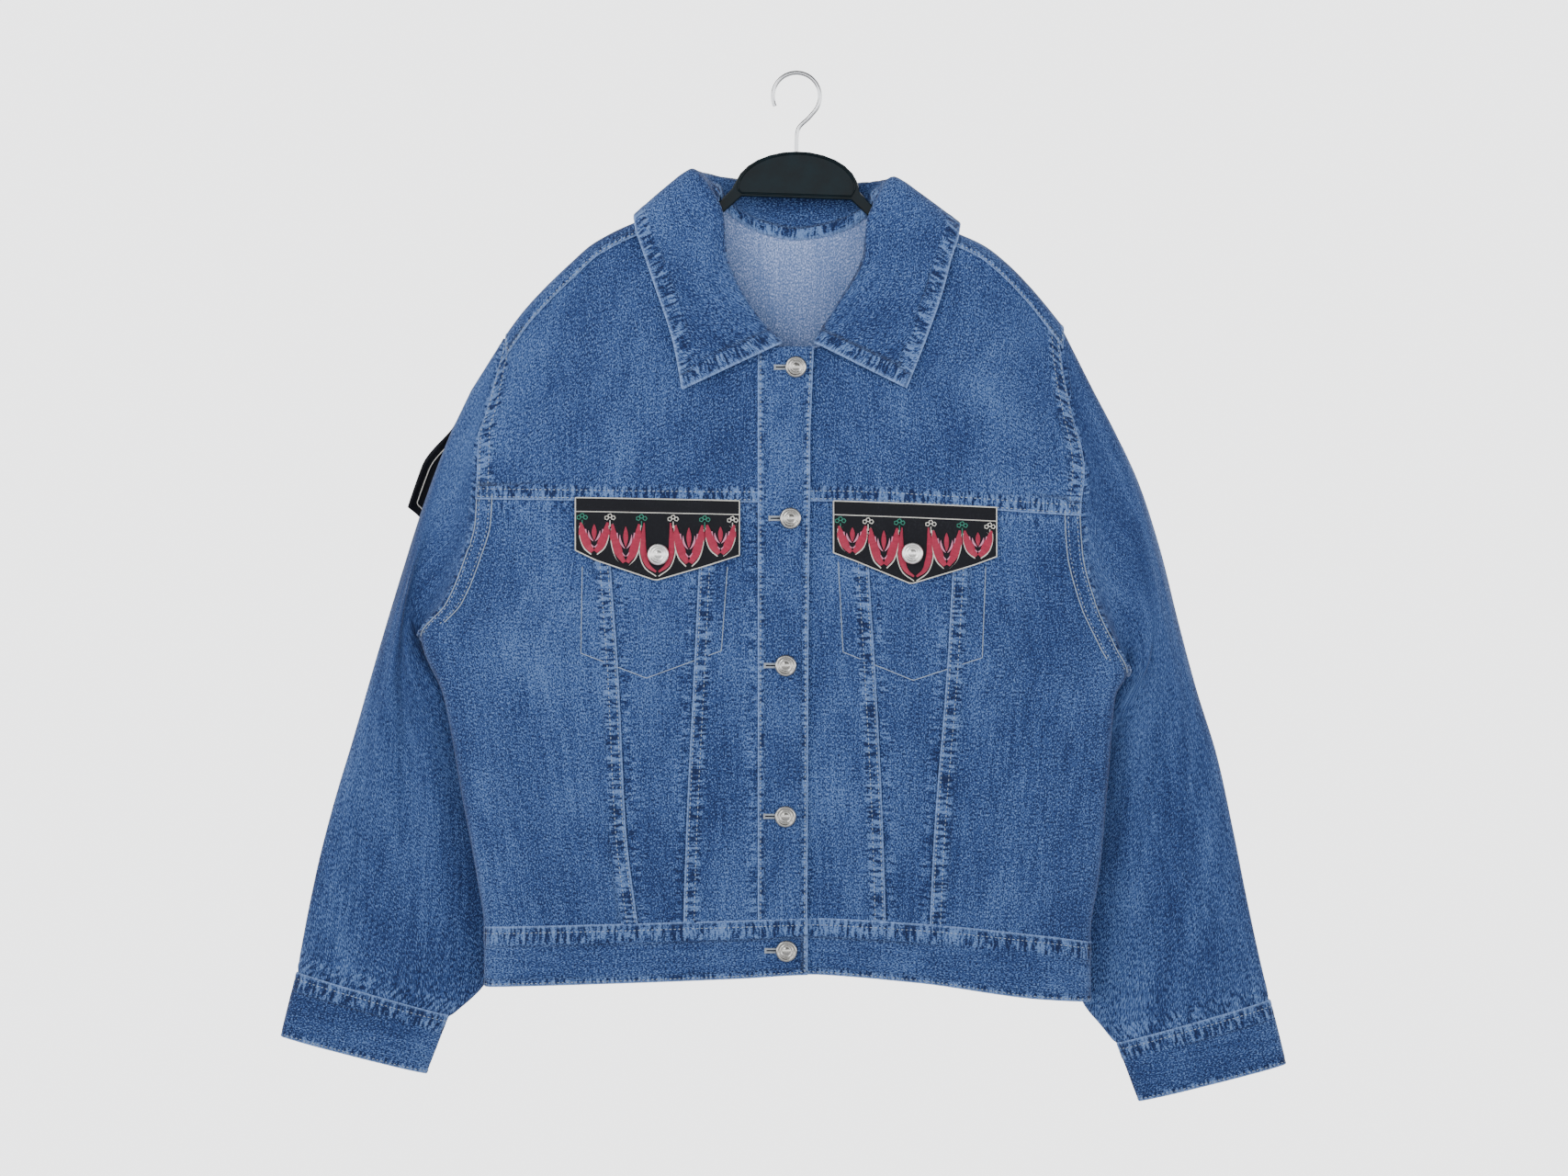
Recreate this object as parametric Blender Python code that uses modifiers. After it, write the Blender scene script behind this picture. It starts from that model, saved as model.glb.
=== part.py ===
"""A denim jacket that hangs on a plastic hanger.

Blender units are metres with +Z up, and the front faces -Y. The origin is inside the crest of the hook.
The tables are in millimetres: x runs to the viewer's right, drop runs down from the origin, y runs back.
"""

import bisect
import math

import bmesh
import bpy
from mathutils import Matrix, Vector

MM = 0.001

# Driving sizes, in millimetres: the gap between pieces, then the thickness of each cloth
GAP = 0.3
CLOTH = 1.6
BAND_CLOTH = 3.0
PLACKET_CLOTH = 2.6
COLLAR_CLOTH = 2.6
TRIM_CLOTH = 1.5
FLAP_CLOTH = 2.0
# How far the trim stands off the cloth below it
LIE = 0.6
# The cloth's rounding over the shoulders and at the folds, and how far down it swells to its full depth
RIDGE_RADIUS = 7.5
RISE_LENGTH = 110.0
# Half of the width of the neck on the shoulder line
NECK_HALF = 66.0
# The shoulder strips, from beside the collar to past the armhole
STRIP_START = 72.0
STRIP_END = {-1: 233.0, 1: 209.0}
BUTTON_DIAMETER = 17.0
BUTTON_HEIGHT = 3.4
# The hanger: half thickness, seat below the shoulder line on its arms and at the neck, and depth of its bar
HANGER_HALF = 3.6
HANGER_SEAT = 4.6
HANGER_NECK_SEAT = 8.0
HANGER_BAR = 9.0
HANGER_REACH = 199.0
DOME_TOP = 62.0
DOME_HALF = 50.0
DOME_RISE = 31.0
HOOK_WIRE = 1.7
HOOK_RADIUS = 19.0

# Colours: red, green, blue, roughness, metallic
DENIM = (0.055, 0.13, 0.36, 0.9, 0.0)
BLACK_CLOTH = (0.012, 0.013, 0.02, 0.7, 0.0)
NICKEL = (0.75, 0.75, 0.76, 0.3, 1.0)
PLASTIC = (0.008, 0.012, 0.016, 0.25, 0.0)
STEEL = (0.6, 0.6, 0.62, 0.25, 1.0)


def curve_at(keys, values, key):
    """A smooth curve through the points that never overshoots them, held level past both ends."""
    if key <= keys[0]:
        return values[0]
    if key >= keys[-1]:
        return values[-1]
    i = bisect.bisect_right(keys, key) - 1
    span = keys[i + 1] - keys[i]
    slope = (values[i + 1] - values[i]) / span
    before = (values[i] - values[i - 1]) / (keys[i] - keys[i - 1]) if i > 0 else slope
    after = slope
    if i + 2 < len(keys):
        after = (values[i + 2] - values[i + 1]) / (keys[i + 2] - keys[i + 1])
    start = 0.0 if before * slope <= 0 else 2 * before * slope / (before + slope)
    end = 0.0 if after * slope <= 0 else 2 * after * slope / (after + slope)
    t = (key - keys[i]) / span
    rise = values[i + 1] - values[i]
    return values[i] + rise * t * t * (3 - 2 * t) + span * t * (1 - t) * (start * (1 - t) - end * t)


class Table:
    """A short table with named columns. read() follows a smooth curve down its first column."""

    def __init__(self, columns, *rows):
        self.keys = [row[0] for row in rows]
        self.columns = dict(zip(columns.split(), zip(*rows)))

    def read(self, column, key):
        return curve_at(self.keys, self.columns[column], key)

    def mix(self, column, place):
        """A smooth value at a place counted in rows."""
        return curve_at(range(len(self.keys)), self.columns[column], place)


# The shoulder line, where the cloth turns over the hanger's arms
RIDGE = Table(
    "x drop",
    (-262, 254), (-246, 230), (-234, 212.5), (-218, 191), (-201, 172.5), (-182, 154.3), (-162, 137),
    (-126, 119.3), (-90, 108.1), (-66, 98.5), (-40, 93), (0, 91), (40, 95),
    (66, 103), (90, 114.3), (126, 128.1), (150, 139), (167, 152), (186, 171), (210, 200), (218, 211),
    (227, 230), (240, 254),
)
# The body's edges: seam is the armhole and, below the armpit, the side seam; fold is where the walls close
SIDE = {
    -1: Table(
        "drop seam fold",
        (212.5, -234, -262), (225, -236.5, -262), (253, -244, -266), (275, -250, -272), (290, -255, -277),
        (330, -256.5, -286), (361, -258, -293), (389, -266, -298), (425, -281, -301), (452.5, -302, -302),
        (501, -284, -284), (577, -270, -270), (653, -256, -256), (686, -251.5, -251.5),
        (760, -251.5, -251.5),
    ),
    1: Table(
        "drop seam fold",
        (200, 210, 250), (229, 212.5, 248), (277, 222, 250), (302, 229, 252), (320, 231, 253),
        (352, 228, 255), (383, 229.5, 258), (428, 241, 263), (460, 256, 266), (482, 266, 266),
        (500, 257, 257), (567, 251, 251), (643, 244, 244), (691, 237, 237), (760, 237, 237),
    ),
}
# How far the front and the back stand off the middle plane
FULLNESS = Table(
    "drop front back",
    (90, 10, 12), (130, 14, 19), (180, 18, 21), (220, 21.5, 22), (300, 25, 24), (450, 28, 25),
    (600, 27, 24), (700, 25, 22), (760, 24, 22),
)
# Soft folds of the body: front is 1 on the front and -1 on the back
FOLDS = Table(
    "front x0 drop0 x1 drop1 width height",
    (1, -222, 330, -208, 560, 13, -4.0),
    (1, -196, 400, -186, 668, 17, 3.5),
    (1, -228, 470, -226, 668, 12, 3.0),
    (1, 200, 300, 176, 600, 15, -3.5),
    (1, 206, 420, 196, 680, 14, 3.5),
    (1, -186, 178, -214, 300, 14, -2.5),
    (1, 172, 200, 196, 300, 14, -2.5),
    (1, -118, 450, -112, 660, 22, 2.0),
    (1, 92, 460, 90, 660, 18, -2.0),
    (1, -20, 590, -60, 670, 18, 1.5),
    (-1, -196, 420, -190, 668, 18, 4.0),
    (-1, 184, 420, 186, 668, 18, 4.0),
    (-1, -172, 460, -170, 660, 12, -2.5),
    (-1, 160, 460, 160, 660, 12, -2.5),
    (-1, -70, 520, -96, 668, 26, 3.0),
    (-1, 40, 540, 76, 668, 26, -3.0),
    (-1, 0, 500, 4, 640, 22, 2.5),
)
# Seams down the lower front; the plackets lie between placket_left and under_edge
FRONT_SEAMS = Table(
    "drop outer_left inner_left placket_left free_edge under_edge inner_right outer_right",
    (330, -152, -75, -31, 11, 3, 56, 128),
    (398, -148, -78, -31, 10, 3, 58, 124.5),
    (482, -142, -82, -31, 9.5, 3, 63, 119.7),
    (605, -136, -88, -31, 9, 3, 69, 110),
    (700, -124, -91, -31, 8.5, 3, 72, 105.5),
)
YOKE_SEAM = Table("x drop", (-258, 336.6), (-30, 339.4), (12, 338.4), (228, 350))
WAIST = Table(
    "x top hem",
    (-251, 685, 733), (-46, 678.6, 725), (11, 677, 722), (93, 681, 728), (193, 691, 742), (236, 697, 745),
)
BACK_HEM_DROP = 4.0
BACK_CENTRE = -7.6
NECK = {
    -1: Table("drop x", (98.5, -66), (122, -69), (145, -67), (170, -60), (192, -48), (204, -39), (214, -31)),
    1: Table("drop x", (103, 66), (128, 67), (147, 64), (172, 54), (192, 43), (206, 34), (218, 24), (224, 3)),
}
NECK_BACK = Table("x drop", (-66, 98.5), (-52, 112), (-34, 122), (0, 130), (34, 124), (52, 116), (66, 103))
PLACKET_TOP = 222.0
BACK_YOKE_DROP = 240.0
BACK_PANEL_HALF = 149.0

# Rings of each sleeve from the first one below the armhole, each through four points from the outer
# fold (o) over p and q to the inner fold (i); y of both folds and half the thickness
SLEEVE = {
    -1: Table(
        "ring ox od px pd qx qd ix id oy iy half",
        (1, -262, 254, -270, 325, -285, 402, -305.8, 455.5, 0, 11, 15),
        (2, -280, 292, -292, 352, -310, 424, -296, 474, 2, 21.5, 16),
        (3, -300, 344, -309, 397, -315, 457, -279, 502, 6, 20, 17),
        (4, -320, 405, -322, 452, -313, 500, -268, 541, 11, 27, 17),
        (5, -340, 470, -332, 512, -305, 549, -257, 583, 15, 31, 17),
        (6, -358, 532, -341, 568, -302, 600, -246, 628, 17, 33, 16.5),
        (7, -374, 585, -347, 614, -298, 640, -238, 662, 18, 34, 16),
        (8, -387, 635, -352, 657, -300, 678, -237, 694, 18, 34, 15),
        (9, -398, 688, -358, 703, -310, 718, -252, 733, 18, 31, 14),
        (10, -405, 727, -366, 738, -326, 750, -283, 763, 18, 25, 12),
    ),
    1: Table(
        "ring ox od px pd qx qd ix id oy iy half",
        (1, 238, 252, 244, 322, 250, 410, 268.5, 485, 0, 11.5, 14),
        (2, 258, 290, 266, 352, 276, 440, 258.5, 500, 2, 22, 15),
        (3, 276, 328, 283, 389, 284, 467, 248, 523, 6, 21, 16),
        (4, 294, 382, 294, 432, 281, 487, 243, 555, 11, 26, 16.5),
        (5, 309, 440, 303, 482, 281, 528, 236, 592, 15, 30, 17),
        (6, 324, 495, 312, 533, 281, 574, 228, 632, 17, 33, 16.5),
        (7, 341, 550, 321, 583, 280, 617, 222, 667, 18, 34, 16),
        (8, 354, 610, 327, 640, 283, 672, 221, 707, 18, 34, 15),
        (9, 366, 670, 335, 696, 290, 722, 232, 748, 18, 31, 14),
        (10, 376, 716, 340, 733, 298, 750, 248, 769, 18, 28, 13),
        (11, 384, 749, 346, 761, 304, 773, 261, 785, 18, 25, 12),
    ),
}
# The first rows of the yokes, 0 on the shoulder line and then in mm below it
RIDGE_ROWS = (0.0, -0.07, -1.3, -4.0, -8.0)
# The armhole's samples, as shares of the way down from the shoulder line to the armpit
ARM_SHARES = (0.0, 0.015, 0.06, 0.15, 0.27, 0.4, 0.52, 0.64, 0.76, 0.87, 0.95, 1.0)
ARMPIT = {-1: (212.5, 452.5), 1: (200.0, 482.0)}
BACK_SLEEVE_SEAM = 0.64
# Soft folds of the sleeves: side is -1 in the front and 1 behind; rings and shares down the ring
SLEEVE_FOLDS = Table(
    "side ring0 share0 ring1 share1 width height",
    (-1, 1.0, 0.45, 6.0, 0.30, 0.09, 3.5),
    (-1, 2.0, 0.62, 7.5, 0.55, 0.07, -4.0),
    (-1, 4.0, 0.78, 8.5, 0.72, 0.07, 3.0),
    (-1, 5.0, 0.15, 9.0, 0.40, 0.07, -2.5),
    (1, 2.5, 0.40, 8.0, 0.35, 0.09, 3.5),
    (1, 4.0, 0.60, 9.0, 0.55, 0.07, -4.0),
    (1, 6.0, 0.20, 9.0, 0.25, 0.08, 3.0),
)
# Cuffs: outer and inner corners of the upper and lower edges
CUFF = {
    -1: Table("row ox od ix id oy iy half", (0, -405.2, 727.8, -283.2, 763.9, 18, 25, 12),
              (1, -417, 775.5, -300, 807, 18, 24, 10.5)),
    1: Table("row ox od ix id oy iy half", (0, 384.3, 750.1, 261.4, 786.3, 18, 25, 12),
             (1, 396, 798, 277.5, 829.5, 18, 24, 10.5)),
}
# How far the cuff's buttoned end laps over the other, as a share of its ring
CUFF_LAP = 0.06

# The collar, from the front end on the left round the back to the front end on the right: its neck seam,
# the roll at its top and its outer edge, with the way in which it rolls over, as an angle from +X
COLLAR = Table(
    "row face seam_x seam_d roll_x roll_y roll_d edge_x edge_y edge_d turn",
    (0, -1, -31, 212, -12, -24.0, 217, -91, -27.0, 254, 270),
    (1, -1, -48, 191, -34, -20.5, 192, -98, -24.3, 217, 268),
    (2, -1, -66.5, 146, -57, -14.5, 145, -113, -17.5, 171, 262),
    (3, -1, -68.5, 123, -59.5, -14, 113, -122, -14.5, 145, 240),
    (4, -1, -65, 101.5, -74, -10.5, 88, -129, -11.5, 124, 215),
    (5, 0, -64, 92.0, -84, -2.0, 77, -131, 0.0, 113, 180),
    (6, 1, -61, 102, -84, 11.0, 75.5, -127, 12.5, 124, 140),
    (7, 1, -48, 114, -72, 21.0, 78, -106, 21.5, 131, 115),
    (8, 1, -24, 125.5, -34, 26.0, 84, -52, 26.0, 132, 98),
    (9, 1, 0, 129.6, 0, 27.0, 87, 0, 27.5, 132, 90),
    (10, 1, 24, 126.3, 34, 26.0, 86, 52, 26.0, 134, 82),
    (11, 1, 48, 117.3, 66, 21.0, 84, 106, 21.5, 136, 65),
    (12, 1, 61, 106, 76, 11.0, 83, 127, 12.5, 132, 40),
    (13, 0, 64, 96, 78, -2.0, 83, 131, 0.0, 121, 0),
    (14, -1, 64.5, 106.5, 71, -10.5, 93, 129, -11.5, 132, -35),
    (15, -1, 66.3, 127, 57.5, -14, 118, 123, -14.5, 151, -60),
    (16, -1, 63.5, 148, 54, -14.8, 146, 117, -17.5, 174, -82),
    (17, -1, 40.8, 191, 29, -20.5, 193, 100, -24.3, 222, -88),
    (18, -1, 30, 206.5, 14, -24.0, 216.5, 87.5, -27.0, 253, -90),
)
# Half of the roll's thickness, how far the seam edge stands in from the neck, and its clearance of the hanger
COLLAR_FOLD = 2.3
COLLAR_SET = 2.7
ARM_CLEAR = 5.7

# Buttons down the front, then on the flaps and cuffs
FRONT_BUTTONS = Table(
    "button x drop", (1, -0.5, 236.8), (2, -4.8, 357.5), (3, -8.6, 474.8), (4, -9, 595), (5, -8, 702.3)
)
FLAP_BUTTONS = {-1: (-110.2, 386.4), 1: (92.2, 385.5)}
# Pocket flaps: x, upper edge and lower edge
FLAPS = {
    -1: Table("x top low", (-176.3, 341, 383), (-159.6, 341.2, 391), (-112, 342.2, 407), (-70, 343, 394.8),
              (-45.5, 343.6, 387)),
    1: Table("x top low", (29.5, 343.6, 385), (47, 344.2, 391.5), (91.2, 345.8, 409.7), (142, 348, 394.5),
             (159.5, 348.8, 388)),
}
# The black cape on the back, measured sideways from the middle of the back
BAND_EDGE = Table("off top", (0, 196), (100, 198), (140, 203), (160, 210), (179, 222))
BAND_LOW = Table("off low", (0, 274.5), (100, 275), (197, 280))
BAND_END = ((179, 222), (197, 280))
ARM_FLAP = Table("drop off", (222, 179.5), (280, 198), (381, 222), (420, 212))
# The arm flap starts and ends at shares of the armhole, slants and bows over it, and reaches down the sleeve
ARM_FLAP_START = 0.3
ARM_FLAP_SLANT = 0.21
ARM_FLAP_BOW = 0.62
ARM_FLAP_END = 0.79
ARM_FLAP_RINGS = {-1: 3.2, 1: 4.2}
PENNANTS = {
    "side": ((106, 276), (194, 281), (217, 381), (186, 461)),
    "centre": ((-100, 275.8), (100, 275.8), (0, 482)),
}


def clamp(value, low=0.0, high=1.0):
    return max(low, min(high, value))


def lerp(a, b, t):
    return a + (b - a) * t


def arc(share):
    """The height of a quarter circle at this share of its radius."""
    return math.sqrt(max(0.0, 1 - (1 - clamp(share)) ** 2))


def ridge_of_segment(x, d, x0, d0, x1, d1, width):
    """How much of a fold shows at a point: 1 on its line, fading sideways and towards its ends."""
    run = (x1 - x0) ** 2 + (d1 - d0) ** 2
    t = clamp(((x - x0) * (x1 - x0) + (d - d0) * (d1 - d0)) / run)
    away = (x - lerp(x0, x1, t)) ** 2 + (d - lerp(d0, d1, t)) ** 2
    return math.exp(-away / width**2) * (0.35 + 0.65 * math.sin(math.pi * clamp(t, 0.05, 0.95)))


def fold_height(front, x, drop):
    """The height that the body's soft folds add at a point."""
    total = 0.0
    columns = FOLDS.columns
    for i, side in enumerate(FOLDS.keys):
        if side == front and drop > 170:
            show = ridge_of_segment(
                x, drop, columns["x0"][i], columns["drop0"][i], columns["x1"][i], columns["drop1"][i],
                columns["width"][i],
            )
            total += columns["height"][i] * show
    return total


def depth(front, x, drop):
    """How far the body's outer face stands off the middle plane."""
    left = SIDE[-1].read("fold", drop)
    right = SIDE[1].read("fold", drop)
    slope = RIDGE.read("drop", x + 1) - RIDGE.read("drop", x - 1)
    below = (drop - RIDGE.read("drop", x)) / math.hypot(1, slope / 2)
    inside = min(x - left, right - x)
    across = clamp(abs(2 * x - left - right) / (right - left))
    bulge = math.sqrt(1 - across**3)
    rise = 1 - (1 - clamp(below / RISE_LENGTH)) ** 2
    full = FULLNESS.read("front" if front == 1 else "back", drop) - RIDGE_RADIUS
    rounding = RIDGE_RADIUS * arc(below / RIDGE_RADIUS) * arc(inside / RIDGE_RADIUS)
    return rounding + rise * bulge * (full + fold_height(front, x, drop) * clamp(inside / 25))


def on_body(front, x, drop):
    """A point of the body's outer face. front is 1 in the front and -1 on the back."""
    return Vector((x, -front * (depth(front, x, drop) + GAP / 2), -drop))


def normal_of(point, u, v, step=0.4):
    """The outward direction of a surface given as a function, by small steps across it."""
    across = point(u + step, v) - point(u - step, v)
    down = point(u, v + step) - point(u, v - step)
    return down.cross(across).normalized()


def off_body(front, x, drop, height):
    """A point moved straight out of the body's outer face."""
    direction = normal_of(lambda a, b: on_body(front, a, b), x, drop) * front
    return on_body(front, x, drop) + direction * height


def material(name, colour):
    """The piece's own material."""
    made = bpy.data.materials.new(name)
    made.use_nodes = True
    shader = made.node_tree.nodes["Principled BSDF"]
    shader.inputs["Base Color"].default_value = (*colour[:3], 1.0)
    shader.inputs["Roughness"].default_value = colour[3]
    shader.inputs["Metallic"].default_value = colour[4]
    made.diffuse_color = (*colour[:3], 1.0)
    return made


def add_object(name, data, colour):
    """Names the piece, gives it its material and puts it in the jacket's collection."""
    piece = bpy.data.objects.new(name, data)
    if not data.materials:
        data.materials.append(material(name, colour))
    bpy.data.collections["denim_jacket"].objects.link(piece)
    return piece


def sheet(name, point, across, down, colour, wall, inward=-1.0, turned=False, joined=False):
    """Cloth with the given wall: a grid through point(u, v), in mm, whose sides may be joined to a tube."""
    columns = len(across) - 1
    rows = len(down) - 1
    bm = bmesh.new()
    bmesh.ops.create_grid(bm, x_segments=columns, y_segments=rows, size=0.5)
    for vert in bm.verts:
        u = across[round((vert.co.x + 0.5) * columns)]
        v = down[round((0.5 - vert.co.y) * rows)]
        vert.co = point(u, v) * MM
    if joined:
        bmesh.ops.remove_doubles(bm, verts=bm.verts, dist=0.00001)
    if turned:
        bmesh.ops.reverse_faces(bm, faces=bm.faces)
    mesh = bpy.data.meshes.new(name)
    bm.to_mesh(mesh)
    bm.free()
    mesh.shade_smooth()
    piece = add_object(name, mesh, colour)
    solidify = piece.modifiers.new("Wall", "SOLIDIFY")
    solidify.thickness = wall * MM
    solidify.offset = inward
    return piece


def even(count):
    return [i / count for i in range(count + 1)]


def with_edge(shares, length, start=False, end=False):
    """Shares with close steps added where the cloth turns round an edge, given the length in mm."""
    steps = [mm / length for mm in (0.07, 1.1, 4.0, 8.5)]
    clear = 2 * steps[-1]
    kept = [s for s in shares if not (start and 0 < s < clear) and not (end and 0 < 1 - s < clear)]
    if start:
        kept += steps
    if end:
        kept += [1 - s for s in steps]
    return sorted(kept)


def coons(left, right, top, bottom):
    """A patch between four edge curves, each a function of 0..1 that gives (x, drop)."""
    corners = (top(0.0), top(1.0), bottom(0.0), bottom(1.0))

    def at(u, v):
        found = []
        for i in (0, 1):
            ruled = lerp(top(u)[i], bottom(u)[i], v) + lerp(left(v)[i], right(v)[i], u)
            twist = lerp(lerp(corners[0][i], corners[1][i], u), lerp(corners[2][i], corners[3][i], u), v)
            found.append(ruled - twist)
        return found

    return at


def down_edge(table, column, start, end, inset):
    """An edge curve that follows a column of a table from one drop to another."""

    def at(t):
        drop = lerp(start, end, t)
        return table.read(column, drop) + inset, drop

    return at


def cross_edge(start_x, end_x, drop_of):
    """An edge curve from one x to another whose drop is a function of x."""

    def at(t):
        x = lerp(start_x, end_x, t)
        return x, drop_of(x)

    return at


def body_panel(
    name, front, patch, across, down, colour=DENIM, wall=CLOTH, rise=lambda x, drop: 0.0, part_edge=0.0,
    near=0.0,
):
    """A panel of the body over a patch. On the back, u runs from the viewer's right to the left."""

    def point(u, v):
        x, drop = patch(u, in_shares(patch, u, v, near))
        raised = rise(x, drop)
        found = off_body(front, x, drop, raised) if raised else on_body(front, x, drop)
        if part_edge:
            inside = min(x - SIDE[-1].read("seam", drop), SIDE[1].read("seam", drop) - x)
            found.y -= front * part_edge * clamp(1 - inside / 6)
        return found

    return sheet(name, point, across, down, colour, wall)


def arm_drops(side):
    """The drops at which the armhole is sampled on this side."""
    top, armpit = ARMPIT[side]
    return [lerp(top, armpit, share) for share in ARM_SHARES]


def yoke_rows(side):
    """Rows of the front yoke that match the armhole's samples, from the shoulder line to the seam."""
    top = ARMPIT[side][0]
    seam = YOKE_SEAM.read("drop", SIDE[side].read("seam", 340))
    start = top - RIDGE_ROWS[-1]
    rows = [(drop - start) / (seam - start) for drop in arm_drops(side) if start + 3 < drop < seam - 6]
    return list(RIDGE_ROWS) + rows + [1.0]


def in_shares(patch, u, v, near):
    """A row's share of the patch. Up to 0 it is a distance in mm, and above 0 a share of what is left."""
    height = patch(u, 1.0)[1] - patch(u, 0.0)[1]
    if v <= 0:
        return -v / height
    return lerp(near / height, 1.0, v)


def right_dip(x):
    """How far the right front dips, so that it passes under the placket."""
    t = clamp((44 - x) / 26)
    return -2.9 * t * t * (3 - 2 * t)


def make_front_yokes():
    for side, name in ((-1, "yoke_front_right"), (1, "yoke_front_left")):
        top, _ = ARMPIT[side]
        neck_drop = NECK[side].keys[0]
        inner_x = NECK[side].columns["x"][0]
        low = FRONT_SEAMS.columns["placket_left" if side == -1 else "under_edge"][0] + side * GAP / 2
        outer_low = YOKE_SEAM.read("drop", SIDE[side].read("seam", 340)) - GAP / 2

        def arm(t, side=side, top=top, outer_low=outer_low):
            drop = lerp(top, outer_low, t)
            return SIDE[side].read("seam", drop) - side * GAP / 2, drop

        def neck(t, side=side, neck_drop=neck_drop, low=low):
            table = NECK[side]
            last = table.keys[-1]
            drop = lerp(neck_drop, YOKE_SEAM.read("drop", low) - GAP / 2, t)
            x = table.read("x", drop) if drop < last else low
            return x, drop

        outer_x = arm(0.0)[0]
        outer_low_x = arm(1.0)[0]
        shoulder = cross_edge(outer_x, inner_x, lambda x: RIDGE.read("drop", x))
        seam = cross_edge(outer_low_x, low, lambda x: YOKE_SEAM.read("drop", x) - GAP / 2)
        columns = even(9)
        if side == -1:
            patch = coons(arm, neck, shoulder, seam)
            rise = None
        else:
            flip_top = cross_edge(inner_x, outer_x, lambda x: RIDGE.read("drop", x))
            flip_low = cross_edge(low, outer_low_x, lambda x: YOKE_SEAM.read("drop", x) - GAP / 2)
            patch = coons(neck, arm, flip_top, flip_low)
            rise = right_dip

        def lift(x, drop, rise=rise):
            return rise(x) * clamp((drop - 175) / 40) if rise else 0.0

        body_panel(name, 1, patch, columns, yoke_rows(side), rise=lift, near=-RIDGE_ROWS[-1])


def lower_rows(side):
    """Rows of a side panel: the armhole's samples below the yoke, then even steps to the waist."""
    seam = YOKE_SEAM.read("drop", SIDE[side].read("seam", 340)) + GAP / 2
    waist = WAIST.read("top", side * 250) - GAP / 2
    drops = [drop for drop in arm_drops(side) if drop > seam + 6]
    below = [drops[-1] + 22, 530, 572, 614, 650]
    return [0.0] + [(drop - seam) / (waist - seam) for drop in drops + below] + [1.0]


def make_lower_fronts():
    seams = (
        ("front_side_right", -1, None, "outer_left"),
        ("front_middle_right", -1, "outer_left", "inner_left"),
        ("front_inner_right", -1, "inner_left", "placket_left"),
        ("front_inner_left", 1, "under_edge", "inner_right"),
        ("front_middle_left", 1, "inner_right", "outer_right"),
        ("front_side_left", 1, "outer_right", None),
    )
    for name, side, first, second in seams:
        top_left = FRONT_SEAMS.read(first, 340) if first else SIDE[-1].read("seam", 337)
        top_right = FRONT_SEAMS.read(second, 340) if second else SIDE[1].read("seam", 350)
        start_l = YOKE_SEAM.read("drop", top_left) + GAP / 2
        start_r = YOKE_SEAM.read("drop", top_right) + GAP / 2
        low_left = FRONT_SEAMS.read(first, 690) if first else SIDE[-1].read("seam", 685)
        low_right = FRONT_SEAMS.read(second, 690) if second else SIDE[1].read("seam", 697)
        end_l = WAIST.read("top", low_left) - GAP / 2
        end_r = WAIST.read("top", low_right) - GAP / 2
        edge_l = down_edge(FRONT_SEAMS if first else SIDE[-1], first or "seam", start_l, end_l, GAP / 2)
        edge_r = down_edge(FRONT_SEAMS if second else SIDE[1], second or "seam", start_r, end_r, -GAP / 2)
        if not first:
            edge_l = side_edge(-1, start_l, end_l)
        if not second:
            edge_r = side_edge(1, start_r, end_r)
        top = cross_edge(edge_l(0)[0], edge_r(0)[0], lambda x: YOKE_SEAM.read("drop", x) + GAP / 2)
        low = cross_edge(edge_l(1)[0], edge_r(1)[0], lambda x: WAIST.read("top", x) - GAP / 2)
        columns = even(4)
        if not first:
            columns = with_edge(even(5), 120, start=True)
        if not second:
            columns = with_edge(even(5), 125, end=True)
        rows = lower_rows(side) if not (first and second) else even(11)

        def lift(x, drop, side=side):
            return right_dip(x) if side == 1 else 0.0

        body_panel(name, 1, coons(edge_l, edge_r, top, low), columns, rows, rise=lift)


def side_edge(side, start, end):
    """The body's edge: inset along the armhole, and exactly on the fold below the armpit."""
    armpit = ARMPIT[side][1]

    def at(t):
        drop = lerp(start, end, t)
        inset = GAP / 2 * clamp((armpit - drop) / 10)
        return SIDE[side].read("seam", drop) - side * inset, drop

    return at


def make_plackets():
    columns = [0.0, 0.33, 0.67, 1.0]
    rows = even(14)

    def over_left(t):
        drop = lerp(PLACKET_TOP, WAIST.read("top", -31) - GAP / 2, t)
        return -31 + GAP / 2, drop

    def over_right(t):
        drop = lerp(PLACKET_TOP, WAIST.read("top", 9) - GAP / 2, t)
        edge = FRONT_SEAMS.read("free_edge", drop)
        return edge + 3.0 * clamp((290 - drop) / 70), drop

    top = cross_edge(over_left(0)[0], over_right(0)[0], lambda x: PLACKET_TOP)
    low = cross_edge(over_left(1)[0], over_right(1)[0], lambda x: WAIST.read("top", x) - GAP / 2)
    body_panel("placket_over", 1, coons(over_left, over_right, top, low), columns, rows,
               wall=PLACKET_CLOTH, rise=lambda x, drop: 0.8)

    def under_left(t):
        return -26.0, lerp(PLACKET_TOP + 2, WAIST.read("top", -26) - 1, t)

    def under_right(t):
        return 3 - GAP / 2, lerp(PLACKET_TOP + 2, WAIST.read("top", 3) - 1, t)

    top = cross_edge(-26.0, 3 - GAP / 2, lambda x: PLACKET_TOP + 2)
    low = cross_edge(-26.0, 3 - GAP / 2, lambda x: WAIST.read("top", x) - 1)
    body_panel("placket_under", 1, coons(under_left, under_right, top, low), columns, rows,
               wall=PLACKET_CLOTH, rise=lambda x, drop: -2.9)


def hem_of(front, column, x):
    """The waistband's edge, which hangs a little lower on the back."""
    if front == 1:
        return WAIST.read(column, x)
    across = clamp(abs(x - BACK_CENTRE) / 244)
    return WAIST.read(column, x) + BACK_HEM_DROP * (1 - across**2)


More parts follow.
